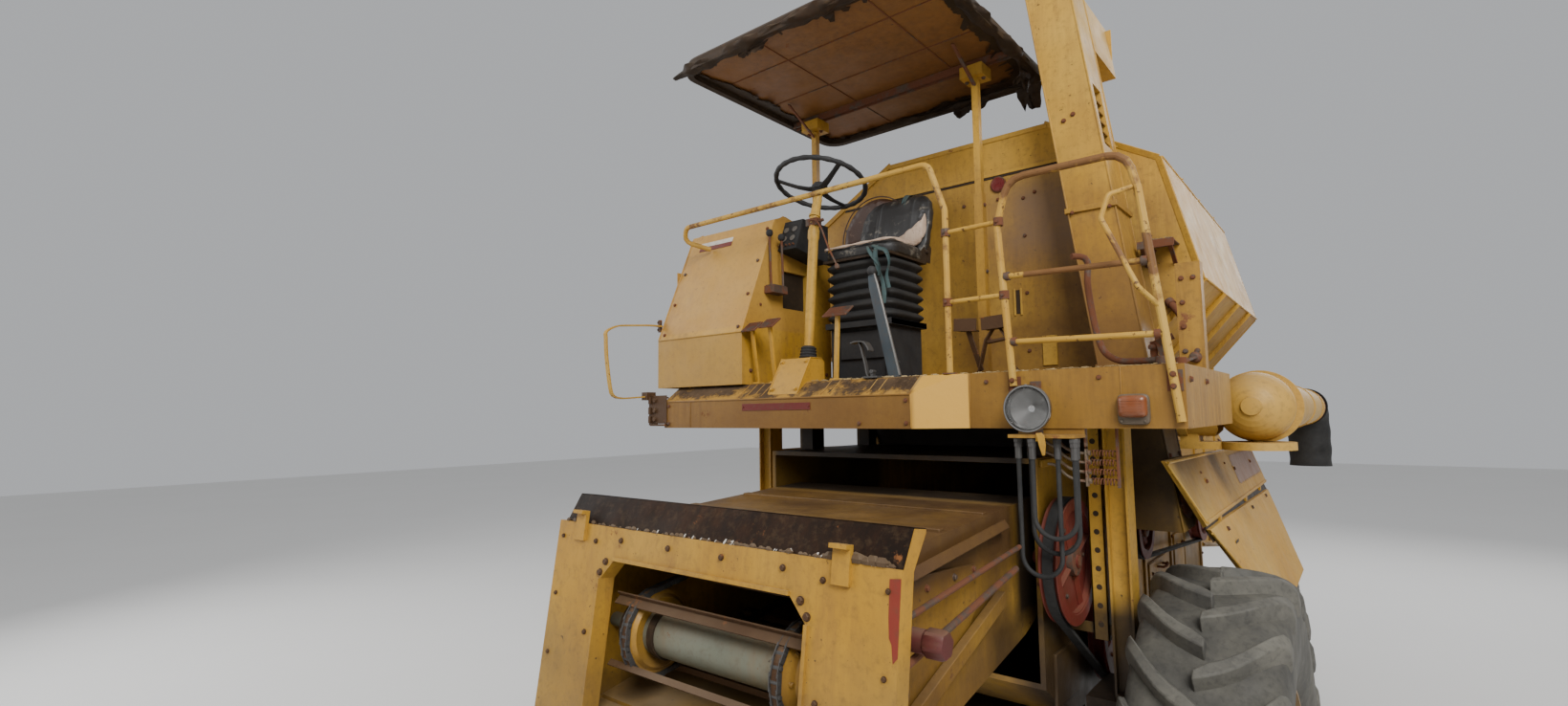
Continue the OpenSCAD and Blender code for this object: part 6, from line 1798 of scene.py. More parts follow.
def make_side_details():
    # Channel with a row of holes beside the left upright; the holes are dark discs, painted shade
    channel = Shape()
    x0, x1, y = 0.77, 0.828, -0.1
    channel.box((x0, y, 1.262), (x0 + 0.006, y + 0.045, 2.148))
    channel.box((x1 - 0.006, y, 1.262), (x1, y + 0.045, 2.148))
    channel.box((x0, y, 1.262), (x1, y + 0.006, 2.148))
    for k in range(12):
        channel.disc((0.799, y + 0.0005, 1.32 + 0.07 * k), FORWARD, 0.011, 0.0012, 16, mark=1)
    for z in (1.3, 2.1):
        channel.box((0.655, y + 0.012, z - 0.02), (0.775, y + 0.02, z + 0.02))
    channel.box((0.82, y + 0.012, 1.28), (0.85, y + 0.02, 1.32))
    channel.piece("drilled_channel", "chassis", "yellow_low", "soot", bevel=0.001)
    # Four nested rods under the landing, each held by a coil spring behind its plate
    rods = Shape()
    springs = Shape()
    for k in range(4):
        z = 1.99 - 0.033 * k
        rods.tube(smooth_path([(0.7 + 0.006 * k, -0.372, z + 0.085 - 0.01 * k), (0.748, -0.376, z + 0.05),
                (0.79, -0.38, z + 0.014), (0.83, -0.38, z), (0.872, -0.38, z)], 0.008), 0.0055, 10)
        rods.disc((0.864, -0.38, z), LEFT, 0.01, 0.008, 6)
        path = []
        for i in range(85):
            a = 2 * math.pi * i / 12
            path.append((0.876 + 0.075 * i / 84, -0.38 + 0.0105 * math.sin(a), z + 0.0105 * math.cos(a)))
        springs.tube(path, 0.0024, 6)
        springs.tube([(0.951, -0.38, z + 0.0105), (0.958, -0.38, z + 0.006), (0.962, -0.38, z - 0.004),
                (0.956, -0.38, z - 0.01)], 0.0024, 6)
    for low, high in ((1.872, 2.012), (2.004, 2.079)):
        rods.box((0.855, -0.392, low), (0.861, -0.368, high))
    springs.box((0.96, -0.39, 1.872), (0.966, -0.37, 2.079))
    rods.piece("landing_rods", "chassis", "worn_pipe", smooth=50, bevel=0.0006)
    springs.piece("landing_springs", "chassis", "rusty_steel", smooth=60)
    # Bent guard pipe behind the ladder, worn to bare brown metal
    guard = Shape()
    guard.tube(smooth_path([(0.848, -0.405, 2.7), (0.872, -0.38, 2.7), (0.89, -0.362, 2.68),
            (0.886, -0.36, 2.6), (0.898, -0.36, 2.485), (0.914, -0.36, 2.396), (0.936, -0.36, 2.343),
            (0.98, -0.36, 2.314), (1.04, -0.36, 2.309), (1.112, -0.37, 2.309)], 0.012), 0.0115, 14)
    guard.bar((1.112, -0.372, 2.2905), (1.112, -0.372, 2.322), 0.015, 12)
    guard.piece("guard_pipe", "chassis", "rusty_steel", smooth=60)
    # Crop-side linkage and bent pipe against the tank's left front
    pipe = Shape()
    pipe.tube(smooth_path([(0.985, 0.545, 2.62), (1.03, 0.48, 2.56), (1.06, 0.4, 2.5), (1.065, 0.34, 2.4),
            (1.06, 0.3, 2.32), (1.055, 0.29, 2.295)], 0.02), 0.016, 12)
    pipe.bar((0.975, 0.552, 2.635), (0.99, 0.54, 2.615), 0.021, 12)
    pipe.piece("bent_pipe", "chassis", "rusty_steel", smooth=50)
    link = Shape()
    link.strut((0.985, 0.16, 2.2925), (0.985, 0.16, 2.42), 0.03, 0.008)
    link.strut((1.04, 0.1, 2.2925), (1.0, 0.14, 2.45), 0.022, 0.008)
    link.strut((0.975, 0.17, 2.405), (1.075, 0.05, 2.425), 0.026, 0.01)
    link.bar((0.975, 0.13, 2.395), (1.025, 0.19, 2.395), 0.011, 10)
    link.piece("lift_linkage", "chassis", "rusty_steel", bevel=0.0015)
    # Bent bracket on the floor that carried a valve: a folded strap with its two feet
    strap = Shape()
    fold = [(0.165, 2.2905), (0.23, 2.2905), (0.262, 2.33), (0.302, 2.47), (0.345, 2.545), (0.392, 2.47),
            (0.412, 2.355), (0.47, 2.2905), (0.52, 2.2905)]
    rows = []
    for k, (x, z) in enumerate(fold):
        a = Vector((*fold[max(0, k - 1)], 0))
        b = Vector((*fold[min(len(fold) - 1, k + 1)], 0))
        along = (b - a).normalized()
        nx, nz = -along.y, along.x
        sway = 0.012 * math.sin(1.7 * k)
        far_x, far_z = x + 0.006 * nx, z + 0.006 * nz
        rows.append([(x, 0.075 + sway, z), (x, 0.112 + sway, z), (far_x, 0.112 + sway, far_z),
                (far_x, 0.075 + sway, far_z)])
    strap.rows(rows)
    strap.bar((0.302, 0.094, 2.462), (0.392, 0.094, 2.474), 0.009, 12)
    for x0, x1, tilt in ((0.15, 0.262, 4), (0.286, 0.4, -3)):
        strap.box((x0, 0.06, 2.52), (x1, 0.068, 2.58), turn=Matrix.Rotation(math.radians(tilt), 3, "Y"))
        strap.box((x0 + 0.01, 0.068, 2.5215), (x1 - 0.01, 0.12, 2.5275),
                turn=Matrix.Rotation(math.radians(tilt), 3, "Y"))
    strap.strut((0.21, 0.09, 2.522), (0.268, 0.094, 2.33), 0.03, 0.006)
    strap.bolts((0.185, 0.094, 2.2965), (0.5, 0.094, 2.2965), 2, UP, 0.009)
    strap.piece("bent_bracket", "chassis", "dark_rust", bevel=0.001)


def make_shield_details():
    trim = Shape()
    normal_up = Vector((0.947, 0, 0.32))
    normal_low = Vector((0.927, 0, 0.375))

    def upper(y, t, lift):
        return Vector((1.0205, y, 1.9395)).lerp(Vector((1.1125, y, 1.6675)), t) + lift * normal_up

    def lower(y, t, lift):
        return Vector((1.1195, y, 1.6495)).lerp(Vector((1.299, y, 1.205)), t) + lift * normal_low

    for a, b in (((0.09, 0.03), (2.48, 0.13)), ((0.33, 0.96), (2.48, 0.96))):
        trim.tube([upper(*a, 0.001), upper(*b, 0.001)], 0.006, 8)
    trim.tube([upper(0.07, 0.05, 0.001), upper(0.31, 0.95, 0.001)], 0.005, 8)
    trim.tube([lower(0.33, 0.03, 0.001), lower(0.82, 0.96, 0.001)], 0.006, 8)
    both(trim, "shield_trim", "chassis", "plain_yellow", smooth=40)
    # Faded field on the upper shield where a coloured stripe was, with a worn outline
    field = Shape()
    count = 60
    edge = [(1.52 + 0.93 * k / count, 0.2 + 0.02 * math.sin(3.1 * k) + 0.012 * math.sin(7.7 * k))
            for k in range(count + 1)]
    foot = [(1.5 + 0.96 * k / count, 0.74 + 0.018 * math.sin(2.3 * k) + 0.014 * math.sin(5.1 * k))
            for k in range(count + 1)]
    field.rows([[upper(y, t, 0.0004) for y, t in edge], [upper(y, t, 0.0004) for y, t in foot],
            [upper(y, t, 0.0011) for y, t in foot], [upper(y, t, 0.0011) for y, t in edge]],
            round_rows=False, caps=False, closed=True)
    both(field, "shield_faded_field", "chassis", "mauve")
    bolts = Shape()
    for y in (0.66, 1.52, 2.17):
        bolts.bolt(upper(y, 0.45, 0.0), normal_up, 0.009)
        bolts.bolt(lower(y, 0.08, 0.0), normal_low, 0.009)
    # Two small rivets in the faded field
    for y in (0.62, 1.3):
        bolts.bolt(upper(y, 0.3, 0.0), normal_up, 0.005)
    both(bolts, "shield_bolts", "chassis", "rusty_steel")
    # Dark gap that shows between the two sheets of the shield: a dark sheet, painted shade
    gap = Shape()
    gap.rows([[upper(y, 0.9, -0.012), upper(y, 0.98, -0.016), lower(y, 0.02, -0.016), lower(y, 0.1, -0.012),
            lower(y, 0.1, -0.016), lower(y, 0.02, -0.022), upper(y, 0.98, -0.022), upper(y, 0.9, -0.016)]
            for y in (0.34 + 0.214 * k for k in range(11))])
    both(gap, "shield_gap", "chassis", "soot")
    # Two slots in the lower shield as dark sheets: painted shade for the holes
    slots = Shape()
    for t in (0.22, 0.78):
        half = Vector((0, 0, 0.008))
        slots.rows([[end + 0.0006 * normal_low + half, end + 0.0006 * normal_low - half,
                end + 0.0018 * normal_low - half, end + 0.0018 * normal_low + half]
                for end in (lower(0.62 + 0.25 * t, t, 0.0), lower(0.7 + 0.25 * t, t, 0.0))])
    both(slots, "shield_slots", "chassis", "soot")


# Threshing body, hood and engine


def make_body_details():
    ribs = Shape()
    for s in (-1, 1):
        x0, x1 = (0.6595, 0.672) if s > 0 else (-0.672, -0.6595)
        for y in (0.62, 1.2, 1.85, 2.25, 2.8):
            ribs.box((x0, y - 0.02, 0.8), (x1, y + 0.02, 1.94))
        ribs.box((x0, 0.27, 0.735), (x1, 2.86, 0.775))
        ribs.box((x0, -0.31, 1.925), (x1, 2.86, 1.955))
        # Inspection doors with handles
        for y, z, w, h in ((1.5, 1.1, 0.24, 0.2), (2.05, 1.15, 0.14, 0.22), (-0.12, 1.12, 0.13, 0.1)):
            ribs.box((x0, y - w, z - h), (x1 + 0.002 if s > 0 else x1, y + w, z + h))
        # Straw hood and sieve box
        for y in (3.2, 3.7, 4.2):
            top = 1.94 if y < 3.85 else 1.82
            ribs.box((x0, y - 0.018, 1.15), (x1, y + 0.018, top))
        foot = [(s * 0.664, y, z) for y, z in ((2.92, 1.165), (3.66, 1.055), (4.66, 1.055))]
        for a, b in zip(foot, foot[1:]):
            ribs.strut(a, b, 0.02, 0.02)
    for k in range(4):
        ribs.box((-0.6 + 0.4 * k - 0.015, 4.674, 1.06), (-0.6 + 0.4 * k + 0.015, 4.69, 1.46))
    ribs.piece("body_ribs", "chassis", "yellow_low", bevel=0.003)
    bolts = Shape()
    for s in (-1, 1):
        x = s * 0.6725
        for y in (0.62, 1.2, 1.85, 2.25, 2.8):
            bolts.bolts((x, y, 0.88), (x, y, 1.86), 5, (s, 0, 0), 0.008)
        for y in (3.2, 3.7, 4.2):
            bolts.bolts((x, y, 1.22), (x, y, 1.72), 4, (s, 0, 0), 0.008)
        for y, z in ((1.32, 1.24), (1.68, 1.24), (1.32, 0.96), (1.68, 0.96), (1.97, 1.3), (2.13, 1.3),
                (1.97, 1.0), (2.13, 1.0)):
            bolts.bolt((x, y, z), (s, 0, 0), 0.01)
    bolts.piece("body_bolts", "chassis", "rusty_steel")
    handles = Shape()
    for s in (-1, 1):
        for y, z in ((1.5, 1.26), (2.05, 1.3)):
            handles.tube([(s * 0.672, y - 0.06, z), (s * 0.705, y - 0.055, z), (s * 0.71, y, z),
                    (s * 0.705, y + 0.055, z), (s * 0.672, y + 0.06, z)], 0.007, 8)
    handles.piece("door_handles", "chassis", "rusty_steel", smooth=50)
    curtain = Shape()
    # Rubber flaps that hang in the straw outlet
    for k in range(9):
        x0 = -0.625 + 0.139 * k
        rows = []
        for j in range(8):
            z = 1.075 + 0.36 * (1 - j / 7)
            bow = 0.012 * math.sin(2.2 * j / 7 + k)
            lean = 0.004 * (k % 3)
            y0, y1 = 4.65 + bow - 0.02 * j / 7, 4.656 + bow - 0.02 * j / 7
            rows.append([(x0, y0, z), (x0 + 0.133, y0 + lean, z), (x0 + 0.133, y1 + lean, z), (x0, y1, z)])
        curtain.rows(rows)
    curtain.piece("straw_flaps", "chassis", "rubber", smooth=40)


def make_hood_details():
    screen = Shape()
    # Dark disc, woven mesh, spokes, rim and hub on the air screen's drum; the dark disc behind the mesh is
    # painted shade for the drum's inside
    mesh = Shape()
    at = Vector((0.7302, 2.98, 2.38))
    mesh.disc(at, LEFT, 0.316, 0.0012, 64, mark=1)
    for k in range(-30, 31):
        p = 0.0103 * k
        h = math.sqrt(max(0.0, 0.314**2 - p * p))
        if h > 0.02:
            mesh.box((0.7316, 2.98 + p - 0.0011, 2.38 - h), (0.7332, 2.98 + p + 0.0011, 2.38 + h))
            mesh.box((0.7328, 2.98 - h, 2.38 + p - 0.0011), (0.7344, 2.98 + h, 2.38 + p + 0.0011))
    mesh.piece("screen_mesh", "chassis", "rusty_steel", "soot", smooth=0)
    screen.turned([(0.308, 0.0), (0.334, 0.0), (0.336, 0.01), (0.328, 0.016), (0.312, 0.013)], at, LEFT, 72)
    screen.turned([(0.0001, 0.002), (0.066, 0.002), (0.062, 0.012), (0.034, 0.018), (0.03, 0.026),
            (0.0001, 0.027)], at, LEFT, 36)
    for k in range(6):
        a = 2 * math.pi * k / 6 + 0.3
        y, z = math.sin(a), math.cos(a)
        screen.strut(at + Vector((0.007, 0.05 * y, 0.05 * z)), at + Vector((0.007, 0.312 * y, 0.312 * z)),
                0.014, 0.006)
        screen.bolt(at + Vector((0.012, 0.322 * y, 0.322 * z)), LEFT, 0.007)
    screen.piece("screen_rim", "chassis", "plain_yellow", smooth=40)
    louvres = Shape()
    for s in (-1, 1):
        for k in range(7):
            z = 2.2 + 0.075 * k
            if s < 0:  # the screen's side has none
                louvres.rows([[(-0.6895, y, z), (-0.714, y, z - 0.022), (-0.714, y, z - 0.026),
                        (-0.6895, y, z - 0.045)] for y in (2.66, 3.3)])
        for y in (2.47, 3.46):
            louvres.box((min(s * 0.688, s * 0.7), y, 1.97), (max(s * 0.688, s * 0.7), y + 0.03, 2.71))
    for k in range(9):
        x = -0.44 + 0.11 * k
        for a, b, c, d in ((2.62, 2.6, 2.595, 2.57), (2.5, 2.48, 2.475, 2.45)):
            louvres.rows([[(x + dx, 3.4995, a), (x + dx, 3.516, b), (x + dx, 3.516, c), (x + dx, 3.4995, d)]
                    for dx in (0.0, 0.085)])
    for y0, y1 in ((2.52, 2.56), (3.4, 3.44)):
        louvres.box((-0.58, y0, 2.8195), (0.58, y1, 2.832))
    louvres.piece("hood_louvres", "chassis", "yellow", bevel=0.001)
    bolts = Shape()
    for s in (-1, 1):
        for y in (2.485, 3.475):
            bolts.bolts((s * 0.7005, y, 2.03), (s * 0.7005, y, 2.66), 4, (s, 0, 0), 0.008)
    bolts.piece("hood_bolts", "chassis", "rusty_steel")
    pipe = Shape()
    pipe.turned([(0.0405, 0.0), (0.047, 0.0), (0.05, 0.03), (0.05, 0.24), (0.0465, 0.27), (0.0465, 0.408),
            (0.0405, 0.41)], (-0.42, 3.38, 2.82), UP, 36)
    pipe.turned([(0.046, 0.0), (0.075, 0.0), (0.075, 0.008), (0.046, 0.01)], (-0.42, 3.38, 2.8205), UP, 24)
    pipe.sleeve(0.0505, 0.057, 0.12, 0.14, (-0.42, 3.38, 2.82), UP, 32)
    pipe.piece("exhaust_sleeve", "chassis", "rusty_steel", smooth=40)
    motor = Shape()
    # Cooling fins, head covers and pipes on the plain engine block, seen through the screen
    for k in range(6):
        y = 2.62 + 0.11 * k
        motor.box((0.4295, y, 2.3), (0.455, y + 0.08, 2.54))
        motor.bar((0.44, y + 0.04, 2.54), (0.47, y + 0.04, 2.6), 0.022, 16)
    motor.sleeve(0.02, 0.14, 0.0, 0.03, (0.43, 2.98, 2.22), LEFT, 40)
    motor.bar((0.43, 2.7, 2.12), (0.46, 3.22, 2.12), 0.025, 14)
    motor.piece("engine_fittings", "chassis", "iron", bevel=0.002)


# Unloading auger

AUGER_X, AUGER_Z = 1.24, 2.15


def make_unloader_details():
    collar = Shape()
    c = Vector((AUGER_X, 0.93, AUGER_Z))
    for k in range(10):
        a = 2 * math.pi * (k + 0.5) / 10
        x, z = 0.158 * math.cos(a), 0.158 * math.sin(a)
        collar.bolt(c + Vector((x, 0.19 - 0.0005, z)), FORWARD, 0.01)
        collar.bolt(c + Vector((x, 0.2105, z)), BACKWARD, 0.01)
    for y in (1.6, 3.9):
        collar.bolt((AUGER_X, y, AUGER_Z - 0.1485), DOWN, 0.008)
    collar.piece("auger_bolts", "unloader", "rusty_steel")
    rings = Shape()
    for y in (1.6, 2.75, 3.9):
        rings.sleeve(0.139, 0.147, -0.012, 0.012, (AUGER_X, y, AUGER_Z), BACKWARD, 48)
    rings.strut((AUGER_X, 1.16, 2.296), (AUGER_X, 4.3, 2.296), 0.008, 0.02)
    # Pressed domes of the elbow: seam round its middle, boss in front, and the flange's packing
    rings.sleeve(0.15, 0.1632, -0.004, 0.004, c, BACKWARD, 64)
    rings.turned([(0.0001, 0.159), (0.042, 0.156), (0.04, 0.1655), (0.02, 0.168), (0.0001, 0.168)], c,
            FORWARD, 32)
    rings.turned([(0.1405, 0.178), (0.1745, 0.178), (0.1765, 0.182), (0.1765, 0.188), (0.1405, 0.188)], c,
            BACKWARD, 64)
    rings.turned([(0.1405, 0.2125), (0.1745, 0.2125), (0.1745, 0.22), (0.15, 0.232), (0.1405, 0.245)], c,
            BACKWARD, 64)
    rings.piece("auger_rings", "unloader", "dome", smooth=40)
    clamp = Shape()
    clamp.sleeve(0.1405, 0.1435, -0.01, 0.01, (AUGER_X, 4.3, AUGER_Z), BACKWARD, 40)
    clamp.piece("spout_clamp", "unloader", "rusty_steel", smooth=40)
    fixed = Shape()
    fixed.sleeve(0.1395, 0.15, -0.02, 0.02, (0.945, 0.93, AUGER_Z), LEFT, 48)
    fixed.piece("auger_foot_ring", "chassis", "dome", smooth=40)


def make_spout():
    """The soft rubber end of the auger, with the creases of a hanging sleeve."""
    y0 = 4.38
    # Middle line: back from the tube's end, then down
    line = smooth_path([(AUGER_X, y0 - 0.05, AUGER_Z), (AUGER_X, y0 + 0.05, 2.148),
            (AUGER_X, y0 + 0.14, 2.095), (AUGER_X, y0 + 0.195, 1.99), (AUGER_X, y0 + 0.212, 1.85),
            (AUGER_X, y0 + 0.212, 1.645)], 0.022)
    x_axis = Vector(LEFT)
    rows = []
    count = len(line)
    for i, p in enumerate(line):
        along = heading(line, i)
        side = along.cross(x_axis)
        t = i / (count - 1)
        a = 0.158 - 0.01 * t
        b = 0.156 - 0.05 * min(1.0, t * 1.4)
        row = []
        for q in turns(48):
            fold = 0.018 * math.sin(26 * t + 2.0 * math.sin(q)) * (0.3 + t)
            wave = 1 + fold - 0.012 * math.sin(3 * q + 7 * t)
            row.append(p + a * wave * math.cos(q) * x_axis * 0.99 + b * wave * math.sin(q) * side)
        rows.append(row)
    shape = Shape()
    inner = []
    for i, row in enumerate(rows):
        inner.append([line[i] + (v - line[i]) * 0.955 for v in row])
    shape.rows(rows + inner[::-1], caps=False, closed=True)
    sleeve = shape.piece("spout_sleeve", "unloader", "rubber", smooth=60)
    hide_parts("unload_spout")


# Worn seat: brown pad, split cover and straps


def ribbon(path, width, across, thickness=0.0014, count_across=4, sway=0.0):
    """A strap along a path, as a thin closed skin; across is the direction of its width."""
    path = smooth_path(path, 0.008)
    across = Vector(across).normalized()
    rows = []
    for i, p in enumerate(path):
        along = heading(path, i)
        normal = along.cross(across).normalized()
        side = normal.cross(along)
        twist = sway * math.sin(0.35 * i)
        front, rear = [], []
        for k in range(count_across + 1):
            t = k / count_across - 0.5
            point = p + width * t * side + (0.003 * math.cos(4.5 * t + 0.2 * i) + twist * t) * normal
            front.append(point)
            rear.append(point + thickness * normal)
        rows.append(front + rear[::-1])
    return rows


def make_seat_extras():
    centre = Vector((-0.505, 0.468, 3.155))
    pad = Shape()
    rows = []
    for y, scale in ((-0.027, 0.8), (-0.0275, 0.93), (-0.018, 0.985), (0.0, 1.0), (0.018, 0.985),
            (0.0275, 0.93), (0.027, 0.8)):
        row = []
        for a in turns(56):
            high = 0.25 if math.sin(a) > 0 else 0.15
            row.append(centre + Vector((0.236 * scale * math.cos(a), y, high * scale * math.sin(a))))
        rows.append(row)
    pad.rows(rows)
    brown = pad.piece("seat_brown_pad", "chassis", "brown", smooth=0)
    stuffed(brown, 0.007, 3.0, 0.008)
    # Piping round the pad's edge
    piping = Shape()
    loop = []
    for a in turns(72):
        high = 0.249 if math.sin(a) > 0 else 0.149
        loop.append(centre + Vector((0.235 * math.cos(a), -0.024, high * math.sin(a))))
    piping.tube(loop, 0.0035, 8, closed=True)
    edge = piping.piece("seat_pad_piping", "chassis", "brown", smooth=60)
    # Straps of blue-green cloth over the back's top and hanging in front of the bellows
    straps = (
        ("seat_strap_back", 0.026, [(SEAT_X + 0.045, 0.515, 3.335), (SEAT_X + 0.045, 0.48, 3.371),
            (SEAT_X + 0.043, 0.44, 3.366), (SEAT_X + 0.04, 0.402, 3.325), (SEAT_X + 0.036, 0.388, 3.27)]),
        ("seat_strap_long", 0.022, [(SEAT_X + 0.12, -0.02, 2.992), (SEAT_X + 0.135, -0.066, 2.957),
            (SEAT_X + 0.138, -0.07, 2.905), (SEAT_X + 0.152, -0.07, 2.85), (SEAT_X + 0.172, -0.068, 2.79),
            (SEAT_X + 0.178, -0.066, 2.73), (SEAT_X + 0.176, -0.064, 2.68)]),
        ("seat_strap_loop", 0.018, [(SEAT_X + 0.1, -0.04, 2.984), (SEAT_X + 0.15, -0.067, 2.96),
            (SEAT_X + 0.196, -0.07, 2.938), (SEAT_X + 0.214, -0.069, 2.88), (SEAT_X + 0.198, -0.071, 2.815),
            (SEAT_X + 0.206, -0.066, 2.752)]),
        ("seat_strap_end", 0.016, [(SEAT_X + 0.06, -0.03, 2.988), (SEAT_X + 0.092, -0.068, 2.962),
            (SEAT_X + 0.118, -0.072, 2.925), (SEAT_X + 0.16, -0.074, 2.868),
            (SEAT_X + 0.15, -0.069, 2.82)]),
    )
    for name, width, path in straps:
        shape = Shape()
        across = LEFT if name == "seat_strap_back" else (1, 0, 0.35)
        shape.rows(ribbon(path, width, across, sway=0.006))
        strap = shape.piece(name, "chassis", "rag", smooth=60)


# Rusty ledge between the elevator and the tank's corner


def make_ledge():
    ledge = Shape()
    ledge.box((0.885, 0.425, 2.885), (1.035, 0.547, 2.891))
    ledge.box((0.885, 0.419, 2.862), (1.035, 0.425, 2.897))
    for x in (0.9, 1.015):
        ledge.strut((x, 0.43, 2.884), (x, 0.546, 2.8), 0.02, 0.006)
    ledge.bolts((0.93, 0.5485, 2.872), (1.0, 0.5485, 2.872), 2, FORWARD, 0.008)
    ledge.piece("tank_ledge", "chassis", "rusty_steel", bevel=0.001)
    clumps = Shape()
    for _ in range(46):
        at = Vector((random.uniform(0.9, 1.02), random.uniform(0.436, 0.535), 2.891))
        size = random.uniform(0.006, 0.017)
        rows = []
        for r, h in ((1.0, 0.0), (1.1, 0.35), (0.85, 0.8), (0.35, 1.1)):
            rows.append([at + Vector((size * r * math.cos(t) * random.uniform(0.8, 1.2),
                    size * r * math.sin(t) * random.uniform(0.8, 1.2), size * h)) for t in turns(9)])
        clumps.rows(rows)
    for _ in range(60):
        p = Vector((random.uniform(0.895, 1.025), random.uniform(0.43, 0.538),
                2.896 + random.uniform(0, 0.016)))
        a = random.uniform(0, math.pi)
        clumps.bar(p, p + 0.012 * Vector((math.cos(a), math.sin(a), 0.1)), 0.0011, 4, mark=1)
    clumps.piece("tank_ledge_debris", "chassis", "dirt", "straw", smooth=50)
    # Mounds of chaff and earth on the feeder frame's top ledge
    mounds = Shape()
    for x, wide, high in ((0.585, 0.085, 0.03), (0.668, 0.045, 0.022), (0.2, 0.03, 0.01),
            (0.36, 0.022, 0.008)):
        rows = []
        for i in range(13):
            t = i / 12
            u = x - wide + 2 * wide * t
            tall = high * math.sin(math.pi * t) ** 0.8 * random.uniform(0.75, 1.0) + 0.0005
            deep = 0.006 + 0.004 * math.sin(math.pi * t)
            rows.append([(u, -0.0285, 0.3545), (u, -0.0285 + 0.3 * deep, 0.3545 + 0.7 * tall),
                    (u, -0.0215 + 0.3 * tall, 0.3545 + tall),
                    (u, -0.0205 + 0.45 * tall, 0.355 + 0.8 * tall), (u, -0.0215, 0.3545)])
        mounds.rows(rows)
    for _ in range(26):
        x = random.uniform(-0.3, 0.68)
        size = random.uniform(0.003, 0.008)
        at = Vector((x, -0.029, 0.357))
        mounds.rows([[at + Vector((size * math.cos(t), 0.002 * math.sin(t),
                size * 1.2 * math.sin(t + 0.7) + size * 0.6)) for t in (0.3, 1.5, 2.9, 4.4, 5.4)],
                [at + Vector((0.7 * size * math.cos(t), -0.0008, 0.7 * size * math.sin(t + 0.7)
                + size * 0.6)) for t in (0.3, 1.5, 2.9, 4.4, 5.4)]], mark=1)
    placed_on_frame(mounds).piece("feeder_mounds", "feeder", "dirt", "pale", smooth=40)


# Lift cylinders and steered axle


def make_lower_details():
    foot = Vector((0, -0.04, 0.56))
    along = Vector((0, -0.91, 0.58)).normalized()
    up = Vector((0, 0.58, 0.91)).normalized()
    glands = Shape()
    ports = Shape()
    for s in (-1, 1):
        at = foot + Vector((s * 0.42, 0, 0))
        glands.turned([(0.0258, 0.58), (0.043, 0.58), (0.043, 0.606), (0.04, 0.612), (0.034, 0.616),
                (0.0258, 0.616)], at, along, 40)
        for a in turns(6):
            out = math.cos(a) * up + math.sin(a) * Vector(LEFT)
            glands.strut(at + 0.584 * along + 0.0426 * out, at + 0.6 * along + 0.0426 * out, 0.01, 0.003)
        glands.turned([(0.0425, 0.1), (0.046, 0.104), (0.046, 0.112), (0.0425, 0.116)], at, along, 40)
        port = at + 0.15 * along
        ports.disc(port + 0.04 * up, up, 0.0165, 0.018, 6)
        ports.bar(port + 0.058 * up, port + 0.085 * up, 0.0085, 12)
        ports.tube(smooth_path([port + 0.084 * up, at + 0.135 * along + 0.1 * up,
                at + 0.105 * along + 0.103 * up, at + 0.085 * along + 0.1 * up], 0.01), 0.0075, 10)
    glands.piece("cylinder_glands", "barrels", "iron", smooth=45, bevel=0.0006)
    ports.piece("cylinder_ports", "barrels", "rusty_steel", smooth=45)
    eyes = Shape()
    length = 1.0791
    for s in (-1, 1):
        at = foot + Vector((s * 0.42, 0, 0)) + length * along
        for side in (-1, 1):
            eyes.turned([(0.0001, 0.0285), (0.0215, 0.0285), (0.0215, 0.0315), (0.016, 0.0335),
                    (0.0001, 0.0335)], at, (side, 0, 0), 24)
        eyes.bar(at + 0.029 * up, at + 0.04 * up, 0.004, 8)
    eyes.piece("rod_eyes", "rods", "rusty_steel", smooth=40)
    axle = Shape()
    for s in (-1, 1):
        for y in (3.455, 3.545):
            axle.strut((s * 0.3, y, 0.56), (s * 0.66, y, 0.546), 0.05, 0.012)
        axle.box((s * 0.7 - 0.012, 3.435, 0.424), (s * 0.7 + 0.012, 3.565, 0.546))
        for y, out in ((3.439, -1), (3.561, 1)):
            axle.bolts((s * 0.3, y, 0.5), (s * 0.6, y, 0.5), 3, (0, out, 0), 0.011)
    cap = [(0.0001, 0.0), (0.055, 0.0), (0.055, 0.01), (0.035, 0.022), (0.0001, 0.024)]
    for y, out in ((3.4495, -1), (3.5505, 1)):
        axle.turned(cap, (0, y, 0.64), (0, out, 0), 32)
    axle.piece("rear_axle_fittings", "chassis", "soot", smooth=40, bevel=0.001)
    pins = Shape()
    pins.turned([(0.0001, 0.0), (0.04, 0.0), (0.04, 0.006), (0.022, 0.01), (0.0001, 0.011)],
            (0.79, 3.5, 0.6001), UP, 28)
    pins.bolts((0.766, 3.5, 0.61), (0.814, 3.5, 0.61), 2, UP, 0.006)
    pins.bar((0.79, 3.5, 0.61), (0.79, 3.5, 0.622), 0.004, 8)
    both(pins, "kingpin_caps", ("steer_left", "steer_right"), "rusty_steel", smooth=40)


# Pressings and fittings on the straw hood, sieve box and chassis frame


